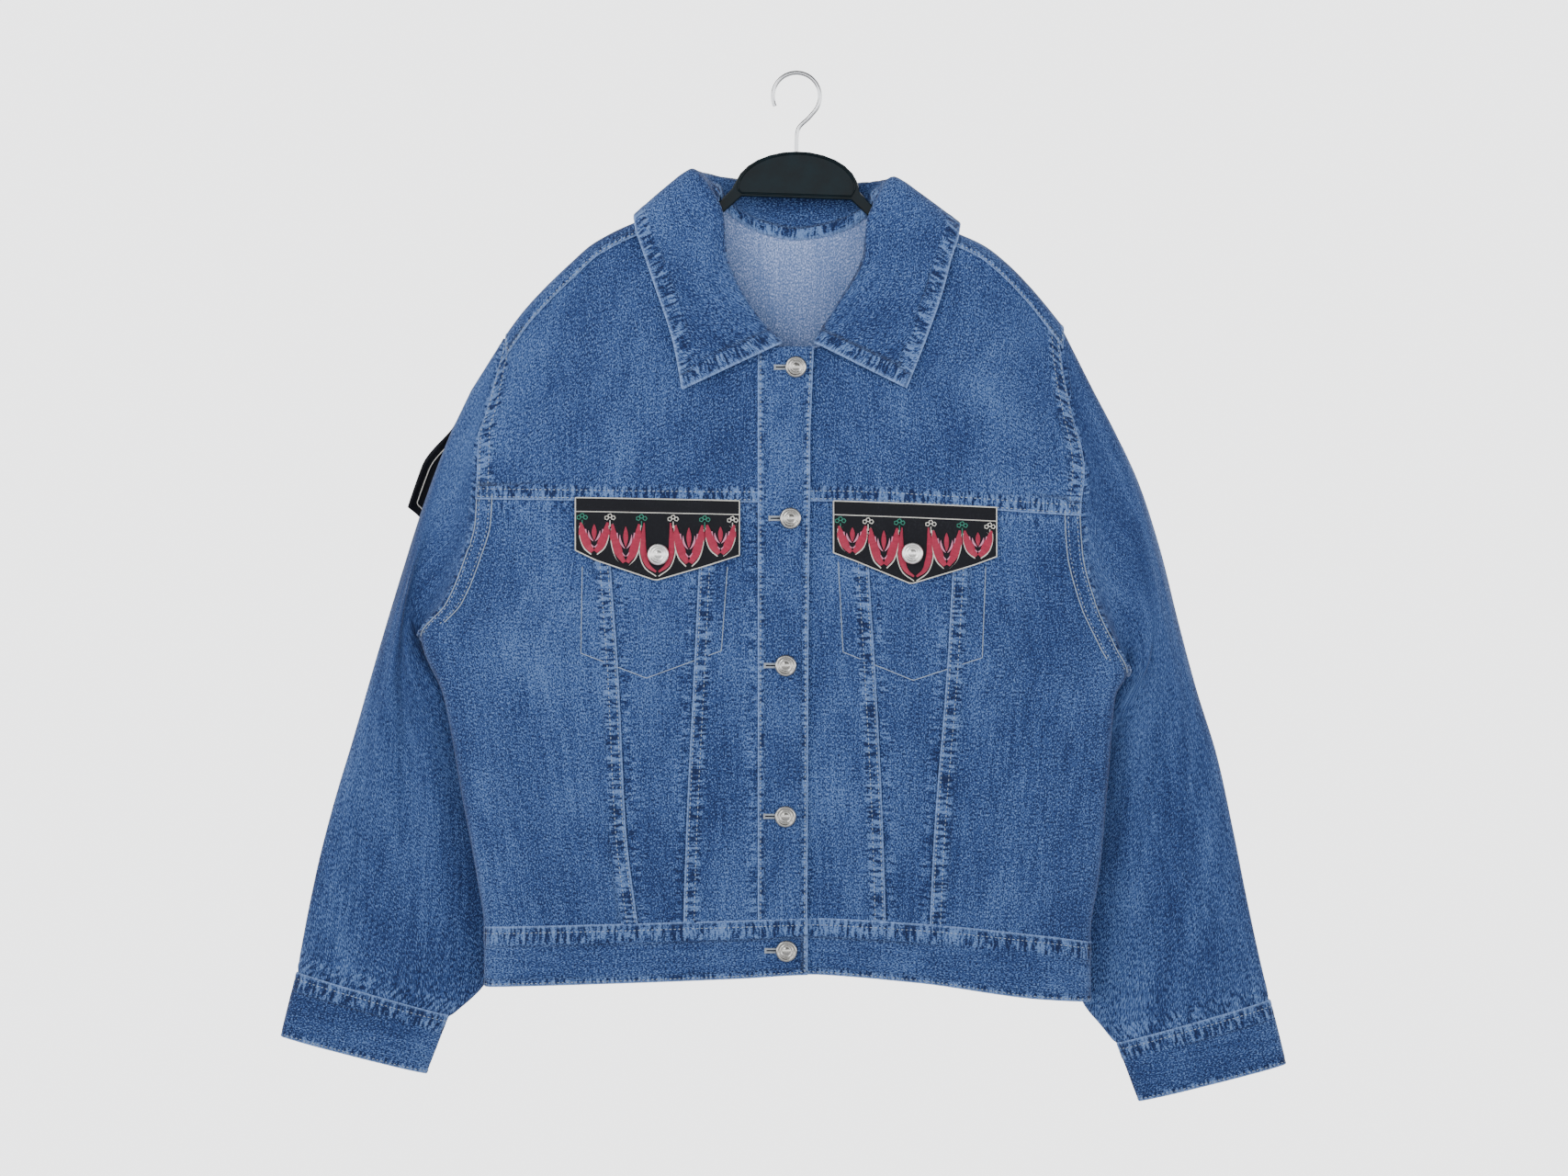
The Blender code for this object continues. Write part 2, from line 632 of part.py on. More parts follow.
def waist_band(name, front, start_x, end_x, columns, lift):
    """A waistband piece from start_x to end_x in the viewer's order for its side."""

    def top_of(x):
        return hem_of(front, "top", x) + GAP / 2

    def low_of(x):
        return hem_of(front, "hem", x)

    def left(t):
        return start_x, lerp(top_of(start_x), low_of(start_x), t)

    def right(t):
        return end_x, lerp(top_of(end_x), low_of(end_x), t)

    patch = coons(left, right, cross_edge(start_x, end_x, top_of), cross_edge(start_x, end_x, low_of))
    body_panel(name, front, patch, columns, [0.0, 0.5, 1.0], wall=BAND_CLOTH, rise=lift, part_edge=0.3)


def make_waist_bands():
    left_x = SIDE[-1].read("seam", 700)
    right_x = SIDE[1].read("seam", 710)
    waist_band("waistband_front_right", 1, left_x, 9, with_edge(even(11), 260, start=True),
               lambda x, drop: 0.5 * clamp((x - left_x) / 12) + 0.3 * clamp((x + 50) / 20))
    waist_band("waistband_front_left", 1, -24, right_x, with_edge(even(11), 260, end=True),
               lambda x, drop: 0.5 * clamp((right_x - x) / 12) - 3.6 * clamp((40 - x) / 26))
    waist_band("waistband_back", -1, right_x, left_x, with_edge(even(14), 487, start=True, end=True),
               lambda x, drop: 0.5 * clamp(min(x - left_x, right_x - x) / 12))


def make_back_yoke():
    left_top = ARMPIT[-1][0]
    right_top = ARMPIT[1][0]
    seam = BACK_YOKE_DROP - GAP / 2

    def left(t):
        drop = lerp(right_top, seam, t)
        return SIDE[1].read("seam", drop) - GAP / 2, drop

    def right(t):
        drop = lerp(left_top, seam, t)
        return SIDE[-1].read("seam", drop) + GAP / 2, drop

    def top_of(x):
        if abs(x) < NECK_HALF:
            return NECK_BACK.read("drop", x)
        return RIDGE.read("drop", x)

    top = cross_edge(left(0)[0], right(0)[0], top_of)
    low = cross_edge(left(1)[0], right(1)[0], lambda x: seam)
    rows = list(RIDGE_ROWS) + [0.2, 0.45, 0.7, 1.0]
    patch = coons(left, right, top, low)
    body_panel("yoke_back", -1, patch, back_columns(), rows, near=-RIDGE_ROWS[-1])


def back_columns():
    """Columns of the back yoke, with one at each end of the neck."""
    right_x = SIDE[1].read("seam", ARMPIT[1][0])
    left_x = SIDE[-1].read("seam", ARMPIT[-1][0])
    stops = [lerp(right_x, NECK_HALF, i / 7) for i in range(7)]
    stops += [NECK_HALF, 60, 51, 34, 12, -12, -34, -51, -60, -NECK_HALF]
    stops += [lerp(-NECK_HALF, left_x, i / 8) for i in range(1, 9)]
    return [(right_x - x) / (right_x - left_x) for x in stops]


def make_lower_back():
    left_x = BACK_CENTRE - BACK_PANEL_HALF
    right_x = BACK_CENTRE + BACK_PANEL_HALF
    top_drop = BACK_YOKE_DROP + GAP / 2
    for side, name in ((1, "back_side_left"), (-1, "back_side_right")):
        inner = (right_x if side == 1 else left_x) + side * GAP / 2
        outer = side_edge(side, top_drop, hem_of(-1, "top", side * 245) - GAP / 2)

        def inner_edge(t, inner=inner):
            return inner, lerp(top_drop, hem_of(-1, "top", inner) - GAP / 2, t)

        waist = outer(1)[1]
        drops = [drop for drop in arm_drops(side) if drop > top_drop + 8]
        drops += [drops[-1] + 22, 530, 572, 614, 650]
        rows = [0.0] + [(drop - top_drop) / (waist - top_drop) for drop in drops] + [1.0]
        if side == 1:
            edges = (outer, inner_edge)
            columns = with_edge(even(5), 105, start=True)
        else:
            edges = (inner_edge, outer)
            columns = with_edge(even(5), 105, end=True)
        top = cross_edge(edges[0](0)[0], edges[1](0)[0], lambda x: top_drop)
        low = cross_edge(edges[0](1)[0], edges[1](1)[0], lambda x: hem_of(-1, "top", x) - GAP / 2)
        body_panel(name, -1, coons(*edges, top, low), columns, rows)

    def panel_left(t):
        x = right_x - GAP / 2
        return x, lerp(top_drop, hem_of(-1, "top", x) - GAP / 2, t)

    def panel_right(t):
        x = left_x + GAP / 2
        return x, lerp(top_drop, hem_of(-1, "top", x) - GAP / 2, t)

    top = cross_edge(panel_left(0)[0], panel_right(0)[0], lambda x: top_drop)
    low = cross_edge(panel_left(1)[0], panel_right(1)[0], lambda x: hem_of(-1, "top", x) - GAP / 2)
    patch = coons(panel_left, panel_right, top, low)
    body_panel("back_panel", -1, patch, even(10), even(12), colour=BLACK_CLOTH)


def arm_ring(side, face, share, outset):
    """A point of the armhole ring: face is 1 in front and -1 behind, share 0 at the top, 1 at the armpit."""
    top, armpit = ARMPIT[side]
    drop = lerp(top, armpit, share)
    x = SIDE[side].read("seam", drop)
    step = SIDE[side].read("seam", min(drop + 1, armpit)) - SIDE[side].read("seam", max(drop - 1, top))
    slope = step / 2
    spread = 1.2 * clamp(1 - share / 0.12) + 2.2 * clamp(1 - (1 - share) / 0.22)
    away = Vector((side, 0, slope * side)).normalized() * (outset + spread)
    standing = depth(face, x, drop) if 0.0 < share < 1.0 else 0.0
    return Vector((x, -face * standing, -drop)) + away


def ring_point(side, face, share, ring):
    """A point of a sleeve ring below the armhole, at a ring number that need not be whole."""
    table = SLEEVE[side]
    place = ring - 1
    keys = (0.0, 0.33, 0.67, 1.0)
    x = catmull(keys, [table.mix(c, place) for c in ("ox", "px", "qx", "ix")], share)
    drop = catmull(keys, [table.mix(c, place) for c in ("od", "pd", "qd", "id")], share)
    middle = lerp(table.mix("oy", place), table.mix("iy", place), share**1.3)
    half = table.mix("half", place) * math.sqrt(max(0.0, 1 - abs(2 * share - 1) ** 2.6))
    swell = sleeve_fold(face, ring, share) * clamp(4 * share) * clamp(4 * (1 - share))
    return Vector((x, middle - face * (half + swell), -drop))


def catmull(keys, values, key):
    """A smooth curve through four values at the given keys, which may overshoot a little."""
    i = 0 if key < keys[1] else 1 if key < keys[2] else 2
    span = keys[i + 1] - keys[i]
    t = (key - keys[i]) / span
    before = values[i - 1] if i > 0 else 2 * values[0] - values[1]
    after = values[i + 2] if i < 2 else 2 * values[3] - values[2]
    start = (values[i + 1] - before) / 2
    end = (after - values[i]) / 2
    t2 = t * t
    t3 = t2 * t
    return (
        (2 * t3 - 3 * t2 + 1) * values[i] + (t3 - 2 * t2 + t) * start
        + (3 * t2 - 2 * t3) * values[i + 1] + (t3 - t2) * end
    )


def sleeve_fold(face, ring, share):
    """The height that the sleeve's soft folds add."""
    total = 0.0
    columns = SLEEVE_FOLDS.columns
    for i, side in enumerate(SLEEVE_FOLDS.keys):
        if side != -face:
            continue
        first, last = columns["ring0"][i], columns["ring1"][i]
        t = (ring - first) / (last - first)
        if not 0 < t < 1:
            continue
        centre = lerp(columns["share0"][i], columns["share1"][i], t)
        away = (share - centre) / columns["width"][i]
        total += columns["height"][i] * math.exp(-away * away) * math.sin(math.pi * t)
    return total


def sleeve_point(side, around, ring):
    """A point of the sleeve: around is 0..1 over the front from the inner to the outer fold, 1..2 behind."""
    around = around % 2
    face = 1 if around <= 1 else -1
    share = clamp(1 - around if around <= 1 else around - 1)
    if ring >= 1:
        found = ring_point(side, face, share, ring)
    else:
        near = arm_ring(side, face, share, 0.6)
        found = near.lerp(ring_point(side, face, share, 1.0), ring)
    return found


def sleeve_rings(side):
    last = len(SLEEVE[side].keys)
    return [0.0, 0.5] + [1 + i * (last - 1) / 11 for i in range(12)]


def make_sleeves():
    """Each sleeve is one tube whose ring starts and ends on the inner fold."""
    around = [1 - share for share in reversed(ARM_SHARES)] + [1 + share for share in ARM_SHARES[1:]]
    for side, name in ((-1, "sleeve_right"), (1, "sleeve_left")):

        def point(u, v, side=side):
            return sleeve_point(side, u, v)

        sheet(name, point, around, sleeve_rings(side), DENIM, CLOTH, turned=side == -1, joined=True)


def cuff_point(side, around, row, out):
    """A point of the cuff, out mm off its plain ring. around wraps at 2."""
    around = around % 2
    face = 1 if around <= 1 else -1
    share = 1 - around if around <= 1 else around - 1
    table = CUFF[side]
    values = {c: lerp(*table.columns[c], row) for c in table.columns}
    half = (values["half"] + out) * math.sqrt(max(0.0, 1 - abs(2 * share - 1) ** 2.6))
    reach = values["ix"] - values["ox"]
    slide = out * (2 * share - 1) * (1 if reach > 0 else -1)
    x = lerp(values["ox"], values["ix"], share) + slide
    drop = lerp(values["od"], values["id"], share)
    middle = lerp(values["oy"], values["iy"], share)
    return Vector((x, middle - face * half, -drop))


def make_cuffs():
    for side, hand in ((-1, "right"), (1, "left")):
        start = 1 + BACK_SLEEVE_SEAM - CUFF_LAP
        length = 2.0 + CUFF_LAP
        lap = 2 * CUFF_LAP / length

        def point(u, v, side=side, start=start, length=length, lap=lap):
            out = (BAND_CLOTH + 0.5) * clamp((u - 1 + 1.9 * lap) / (0.9 * lap))
            return cuff_point(side, start + u * length, v, out)

        sheet("cuff_" + hand, point, even(34), [0.0, 0.5, 1.0], DENIM, BAND_CLOTH, turned=side == -1)


def make_collar():
    rows = len(COLLAR.keys)
    stations = [i / 2 for i in range(2 * rows - 1)]
    sections = [collar_section(place) for place in stations]
    steps = len(sections[0]) - 1

    def point(u, v):
        return sections[round(u * (len(sections) - 1))][round(v * steps)]

    sheet("collar", point, even(len(sections) - 1), even(steps), DENIM, COLLAR_CLOTH, inward=0.0)


def collar_section(place):
    """The middle line of the collar at a place, from the neck seam over the roll to the outer edge."""
    read = {column: COLLAR.mix(column, place) for column in COLLAR.columns}
    face = read["face"]
    front = 1 if face < 0 else -1
    standing = max(depth(front, read["seam_x"], read["seam_d"]) - CLOTH / 2, ARM_CLEAR)
    neck = Vector((read["seam_x"], face * standing, -read["seam_d"]))
    roll = Vector((read["roll_x"], read["roll_y"], -read["roll_d"]))
    edge = Vector((read["edge_x"], read["edge_y"], -read["edge_d"]))
    turn = math.radians(read["turn"])
    out = Vector((math.cos(turn), math.sin(turn), 0.0))
    to_seam = (neck - roll).normalized()
    centre = Vector((0.0, neck.y, -150.0 if face < 0 else -90.0))
    seam = neck + (centre - neck).normalized() * COLLAR_SET
    to_edge = (edge - roll).normalized()
    inner = roll + to_seam * 3.2 - out * COLLAR_FOLD
    outer = roll + to_edge * 3.6 + out * COLLAR_FOLD
    middle = inner.lerp(seam, 0.5) - out * 0.3
    return [
        seam, middle, inner, roll, outer,
        outer.lerp(edge, 0.3) + out * 1.2, outer.lerp(edge, 0.65) + out * 1.0, edge,
    ]


def make_flaps():
    for side, name in ((-1, "pocket_flap_right"), (1, "pocket_flap_left")):
        table = FLAPS[side]
        stops = []
        for first, second in zip(table.keys, table.keys[1:]):
            stops += [lerp(first, second, t) for t in (0.0, 0.5)]
        stops.append(table.keys[-1])

        def point(u, v, table=table):
            x = lerp(table.keys[0], table.keys[-1], u)
            drop = lerp(straight(table, "top", x), straight(table, "low", x), v)
            return off_body(1, x, drop, LIE + FLAP_CLOTH)

        shares = [(x - stops[0]) / (stops[-1] - stops[0]) for x in stops]
        sheet(name, point, shares, even(4), BLACK_CLOTH, FLAP_CLOTH)


def straight(table, column, key):
    """A column of a table read along straight lines between its rows."""
    keys = table.keys
    i = min(max(bisect.bisect_right(keys, key) - 1, 0), len(keys) - 2)
    t = (key - keys[i]) / (keys[i + 1] - keys[i])
    return lerp(table.columns[column][i], table.columns[column][i + 1], t)


def make_shoulder_straps():
    """A narrow strip over each shoulder seam, from the collar to just past the armhole."""
    arcs = (-9.0, -6.0, -3.0, 0.0, 3.0, 6.0, 9.0, 13.5)
    for side, name in ((-1, "shoulder_strip_right"), (1, "shoulder_strip_left")):
        inner = side * STRIP_START
        outer = side * STRIP_END[side]

        def point(u, v, inner=inner, outer=outer):
            x = lerp(inner, outer, u)
            near = over_ridge(x, v)
            across = over_ridge(x + 0.5, v) - over_ridge(x - 0.5, v)
            forward = over_ridge(x, v + 0.3) - over_ridge(x, v - 0.3)
            out = forward.cross(across).normalized()
            return near + out * (LIE + 0.2 + TRIM_CLOTH)

        sheet(name, point, even(12), arcs, DENIM, TRIM_CLOTH, turned=side == -1)


def over_ridge(x, along):
    """A point of the cloth where it turns over the shoulder: along is 0 on top and runs to the front."""
    turn = math.pi / 2 * RIDGE_RADIUS
    reach = abs(along)
    below = RIDGE_RADIUS * (1 - math.cos(min(reach, turn) / RIDGE_RADIUS)) + max(0.0, reach - turn)
    front = 1 if along >= 0 else -1
    slope = RIDGE.read("drop", x + 1) - RIDGE.read("drop", x - 1)
    drop = RIDGE.read("drop", x) + below * math.hypot(1, slope / 2)
    standing = depth(front, x, drop) + GAP / 2 if reach > 0 else 0.0
    return Vector((x, -front * standing, -drop))


def make_cape():
    """The black trim on the back: a band, an arm flap over each sleeve and three pennants."""
    lift = LIE + TRIM_CLOTH

    def band(u, v):
        off = lerp(1.0, -1.0, u)
        low_off = BAND_END[1][0] * off
        top_off = BAND_END[0][0] * off
        top = BAND_EDGE.read("top", abs(top_off))
        low = BAND_LOW.read("low", abs(low_off))
        x = BACK_CENTRE + lerp(top_off, low_off, v)
        return off_body(-1, x, lerp(top, low, v), lift)

    sheet("cape_band", band, even(20), even(4), BLACK_CLOTH, TRIM_CLOTH)
    for side, name in ((-1, "cape_arm_right"), (1, "cape_arm_left")):
        make_arm_flap(name, side, lift)
    for side, name in ((1, "cape_pennant_left"), (-1, "cape_pennant_right")):
        corners = [(BACK_CENTRE + side * off, drop) for off, drop in PENNANTS["side"]]
        make_pennant(name, corners, lift)
    corners = [(BACK_CENTRE + off, drop) for off, drop in PENNANTS["centre"]]
    make_pennant("cape_pennant_middle", [corners[0], corners[1], corners[2], corners[2]], lift)


def make_pennant(name, corners, lift):
    """A hanging point of cloth between a straight top and its tip."""
    first, second, third, tip = corners
    if first[0] < second[0]:
        start, end = second, first
        low_start, low_end = third, tip
    else:
        start, end = first, second
        low_start, low_end = tip, third

    def point(u, v):
        x = lerp(lerp(start[0], end[0], u), lerp(low_start[0], low_end[0], u), v)
        drop = lerp(lerp(start[1], end[1], u), lerp(low_start[1], low_end[1], u), v)
        return off_body(-1, x, drop, lift + 1.5 * v * v)

    if low_start == low_end:
        tip_half = 3.0
        low_start = (tip[0] + tip_half, tip[1])
        low_end = (tip[0] - tip_half, tip[1])
    sheet(name, point, even(8), even(10), BLACK_CLOTH, TRIM_CLOTH)


def make_arm_flap(name, side, lift):
    """The black flap over the back of a shoulder, which crosses the armhole on to the sleeve."""
    top, armpit = ARMPIT[side]

    def base(u, t):
        v = lerp(ARM_FLAP_START + ARM_FLAP_SLANT * u, 1.0, t)
        share = ARM_FLAP_END * v
        if u <= 0:
            drop = lerp(top, armpit, share)
            inner = BACK_CENTRE + side * ARM_FLAP.read("off", drop)
            seam = SIDE[side].read("seam", drop)
            return on_body(-1, lerp(seam, inner, -u), drop)
        share = (share + ARM_FLAP_BOW * v * u) * (1 - u)
        return sleeve_point(side, 1 + share, ARM_FLAP_RINGS[side] * v * u)

    def point(u, v):
        step = 0.02
        across = base(u + step, v) - base(u - step, v)
        down = base(u, min(v + step, 1.0)) - base(u, v - step)
        out = across.cross(down).normalized()
        if out.y < 0 and abs(out.y) > abs(out.x):
            out.negate()
        if out.y < -0.3:
            out.negate()
        return base(u, v) + out * (lift + 0.3 + 2.2 * clamp(3 * u))

    places = [-0.97, -0.6, -0.25, 0.0, 0.3, 0.6, 0.9]
    sheet(name, point, places, even(7), BLACK_CLOTH, TRIM_CLOTH, turned=side == 1)


def make_button(name, place, direction):
    """A round shank button: a turned profile with a raised rim, its back on the cloth."""
    radius = BUTTON_DIAMETER / 2
    profile = (
        (0.0, BUTTON_HEIGHT - 0.9), (radius * 0.55, BUTTON_HEIGHT - 0.7), (radius * 0.82, BUTTON_HEIGHT),
        (radius, BUTTON_HEIGHT * 0.62), (radius * 0.8, 0.9), (radius * 0.5, 0.0), (0.0, 0.0),
    )
    mesh = bpy.data.meshes.new(name)
    edges = [(i, i + 1) for i in range(len(profile) - 1)]
    mesh.from_pydata([(x * MM, 0.0, z * MM) for x, z in profile], edges, [])
    button = add_object(name, mesh, NICKEL)
    turn = button.modifiers.new("Turn", "SCREW")
    turn.steps = 12
    turn.render_steps = 12
    turn.use_merge_vertices = True
    turn.merge_threshold = 0.00001
    turn.use_smooth_shade = True
    button.location = (place + direction * GAP) * MM
    button.rotation_euler = direction.to_track_quat("Z", "X").to_euler()
    return button


def make_buttons():
    for number, x, drop in zip(*(FRONT_BUTTONS.columns[c] for c in ("button", "x", "drop"))):
        out = normal_of(lambda a, b: on_body(1, a, b), x, drop)
        raised = 0.8 if number < 5 else 0.9
        make_button(f"button_front_{number}", off_body(1, x, drop, raised + 0.25), out)
    for side, hand in ((-1, "right"), (1, "left")):
        x, drop = FLAP_BUTTONS[side]
        out = normal_of(lambda a, b: on_body(1, a, b), x, drop)
        make_button(f"button_flap_{hand}", off_body(1, x, drop, LIE + FLAP_CLOTH + 0.1), out)
        around = 1 + BACK_SLEEVE_SEAM - 0.035
        place = cuff_point(side, around, 0.48, BAND_CLOTH + 0.5)
        across = cuff_point(side, around + 0.04, 0.48, 3.5) - cuff_point(side, around - 0.04, 0.48, 3.5)
        down = cuff_point(side, around, 1.0, 3.5) - cuff_point(side, around, 0.0, 3.5)
        out = across.cross(down).normalized()
        if out.y < 0:
            out.negate()
        make_button(f"button_cuff_{hand}", place + out * 0.15, out)


def make_hanger():
    """The plastic body: a flat outline of dome and arms, with rounded edges."""
    reach = HANGER_REACH
    xs = [-reach, -188, -172, -154, -130, -105, -85, -66]
    seats = [HANGER_SEAT] * (len(xs) - 1) + [HANGER_NECK_SEAT]
    left_top = [(x, RIDGE.read("drop", x) + seat) for x, seat in zip(xs, seats)]
    right_top = [(-x, RIDGE.read("drop", -x) + seat) for x, seat in reversed(list(zip(xs, seats)))]
    angles = [math.pi * i / 14 for i in range(1, 14)]
    foot = DOME_TOP + DOME_RISE
    dome = [(-DOME_HALF * math.cos(a), foot - DOME_RISE * math.sin(a)) for a in angles]
    upper = left_top + [(-52, 92)] + dome + [(51, 95)] + right_top
    lower = []
    for x, drop in reversed(right_top):
        lower.append((x - 1.5 if x > 195 else x - 2, drop + HANGER_BAR))
    lower += [(44, 101), (0, 99.5), (-44, 98)]
    for x, drop in reversed(left_top):
        lower.append((x + 1.5 if x < -195 else x + 2, drop + HANGER_BAR))
    curve = bpy.data.curves.new("hanger_outline", "CURVE")
    curve.dimensions = "2D"
    curve.fill_mode = "BOTH"
    curve.extrude = HANGER_HALF * MM
    spline = curve.splines.new("POLY")
    outline = upper + lower
    spline.points.add(len(outline) - 1)
    for knot, (x, drop) in zip(spline.points, outline):
        knot.co = (x * MM, -drop * MM, 0.0, 1.0)
    spline.use_cyclic_u = True
    guide = bpy.data.objects.new("hanger_outline", curve)
    bpy.data.collections["denim_jacket"].objects.link(guide)
    bpy.context.view_layer.update()
    graph = bpy.context.evaluated_depsgraph_get()
    mesh = bpy.data.meshes.new_from_object(guide.evaluated_get(graph))
    bm = bmesh.new()
    bm.from_mesh(mesh)
    bmesh.ops.remove_doubles(bm, verts=bm.verts, dist=0.00001)
    bmesh.ops.rotate(bm, verts=bm.verts, matrix=Matrix.Rotation(math.pi / 2, 3, "X"))
    bm.to_mesh(mesh)
    bm.free()
    bpy.data.objects.remove(guide)
    mesh.name = "hanger"
    piece = add_object("hanger", mesh, PLASTIC)
    soft = piece.modifiers.new("Soft edges", "BEVEL")
    soft.width = 2.2 * MM
    soft.segments = 2
    soft.limit_method = "ANGLE"
    soft.angle_limit = math.radians(60)
    soft.use_clamp_overlap = True
    return piece


def make_hook():
    """The wire hook: a ring open on one side whose stem drops to the dome."""
    centre = HOOK_WIRE - HOOK_RADIUS
    route = []
    for i in range(17):
        angle = math.radians(lerp(205, -38, i / 16))
        route.append((HOOK_RADIUS * math.cos(angle), centre + HOOK_RADIUS * math.sin(angle)))
    route += [(9.5, -35.0), (3.0, -40.5), (0.4, -46.0), (0.0, -52.0), (0.0, -DOME_TOP + GAP)]
    curve = bpy.data.curves.new("hook", "CURVE")
    curve.dimensions = "3D"
    curve.bevel_depth = HOOK_WIRE * MM
    curve.bevel_resolution = 2
    curve.use_fill_caps = True
    spline = curve.splines.new("POLY")
    spline.points.add(len(route) - 1)
    for knot, (x, z) in zip(spline.points, route):
        knot.co = (x * MM, 0.0, z * MM, 1.0)
    spline.use_smooth = True
    add_object("hook", curve, STEEL)


def main():
    for found in list(bpy.data.objects):
        bpy.data.objects.remove(found)
    bpy.context.scene.collection.children.link(bpy.data.collections.new("denim_jacket"))
    make_front_yokes()
    make_lower_fronts()
    make_plackets()
    make_waist_bands()
    make_back_yoke()
    make_lower_back()
    make_sleeves()
    make_cuffs()
    make_collar()
    make_flaps()
    make_shoulder_straps()
    make_cape()
    make_buttons()
    make_hanger()
    make_hook()


main()
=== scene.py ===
"""Denim jacket on a hanger: the cloth, stitching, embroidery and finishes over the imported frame.

Lengths in the tables are millimetres: x runs to the viewer's right, drop runs down from the hook's crest,
y runs back. The frame and every finished mesh are in metres. A side is -1 on the front viewer's left, which
is the wearer's right, and 1 on the other. A front or face is 1 on the front and -1 on the back.
"""

import math
import random

import bpy
import numpy as np
from bpy.props import FloatProperty, FloatVectorProperty, IntProperty
from mathutils import Matrix, Vector
from mathutils.bvhtree import BVHTree


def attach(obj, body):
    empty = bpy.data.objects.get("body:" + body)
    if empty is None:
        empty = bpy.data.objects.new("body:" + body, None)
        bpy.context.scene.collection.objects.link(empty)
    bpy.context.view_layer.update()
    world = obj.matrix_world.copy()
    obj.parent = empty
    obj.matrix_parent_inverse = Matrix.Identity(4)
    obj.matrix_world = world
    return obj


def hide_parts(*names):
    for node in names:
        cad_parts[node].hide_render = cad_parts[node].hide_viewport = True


bl_info = {
    "name": "Denim jacket on a hanger",
    "version": (1, 0, 0),
    "blender": (4, 5, 0),
    "location": "3D View > Sidebar > Jacket",
    "description": "Builds the cloth, trim, embroidery and hanger of a denim jacket over its frame",
    "category": "Object",
}

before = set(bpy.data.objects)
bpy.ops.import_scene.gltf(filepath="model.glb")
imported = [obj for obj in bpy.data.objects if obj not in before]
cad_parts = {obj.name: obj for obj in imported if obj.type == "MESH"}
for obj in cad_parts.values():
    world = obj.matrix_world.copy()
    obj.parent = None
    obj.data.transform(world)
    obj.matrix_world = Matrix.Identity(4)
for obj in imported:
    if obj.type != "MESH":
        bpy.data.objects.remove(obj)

MM = 0.001
SIDES = ((-1, "right"), (1, "left"))
# The body: the gap between its front and back cloth, and how it rounds off below the shoulder line
GAP = 0.3
RIDGE_RADIUS = 7.5
RISE_LENGTH = 110.0
# The back's middle line, how much lower its hem hangs, its yoke's seam, and half the widths of its black
# panel and of its neckline
BACK_CENTRE = -7.6
BACK_HEM_DROP = 4.0
BACK_YOKE_DROP = 240.0
BACK_PANEL_HALF = 149.0
NECK_HALF = 66
PLACKET_TOP = 222.0
PLACKET_LEFT = -31.0
# Drops at which the slanting seams meet the yoke and the waistband
YOKE_LEVEL = 340.0
WAIST_LEVEL = 690.0
# How much longer a step is along x than straight across the slanting armhole seams
ARM_SLANT = math.hypot(1, 0.45)
# Sewn edges: kind and width of the band. A tucked panel runs TUCK mm under its neighbour
HEM = ("hem", 3.0)
ROPE = ("rope", 13.0)
EDGE_LIFT = {"lap": 0.95, "hem": 0.35, "rope": 0.2}
TUCK = 4.0
PLACKET_TUCK = 3.0
BAND_WALL = 2.8
# Stitches: the share of each end that is gap, the sideways waver and the shortest one, in mm
STITCH_GAP = 0.12
STITCH_WAVER = 0.15
SHORTEST_STITCH = 0.4
BLACK = {"outside": "sateen", "inside": "sateen", "slot": "black_cloth"}


class Curve:
    """A smooth curve through points that never overshoots them, level past both ends."""

    def __init__(self, keys, values):
        self.keys = np.array(keys, float)
        self.values = np.array(values, float)
        slope = np.diff(self.values) / np.diff(self.keys)
        before = np.concatenate(([slope[0]], slope))
        after = np.concatenate((slope, [slope[-1]]))
        both = before + after
        self.tangent = np.where(before * after > 0, 2 * before * after / np.where(both == 0, 1, both), 0.0)

    def __call__(self, key):
        key = np.clip(key, self.keys[0], self.keys[-1])
        i = np.clip(np.searchsorted(self.keys, key, side="right") - 1, 0, len(self.keys) - 2)
        span = self.keys[i + 1] - self.keys[i]
        t = (key - self.keys[i]) / span
        start = self.values[i]
        rise = self.values[i + 1] - start
        bend = self.tangent[i] * (1 - t) - self.tangent[i + 1] * t
        return start + rise * t * t * (3 - 2 * t) + span * t * (1 - t) * bend


class Table:
    """Named columns over a first column of keys. at() follows the keys, mix() counts in rows."""

    def __init__(self, columns, *rows):
        names = columns.split()
        self.keys = [row[0] for row in rows]
        self.columns = dict(zip(names, zip(*rows)))
        rising = all(low < high for low, high in zip(self.keys, self.keys[1:]))
        self.by_key = {name: Curve(self.keys, self.columns[name]) for name in names[1:] if rising}
        self.by_row = {name: Curve(range(len(rows)), values) for name, values in self.columns.items()}

    def at(self, column, key):
        return self.by_key[column](key)

    def rule(self, column, more=0.0):
        """The column as a function of the key, with more added."""
        return lambda key: self.by_key[column](key) + more

    def mix(self, column, place):
        return self.by_row[column](place)


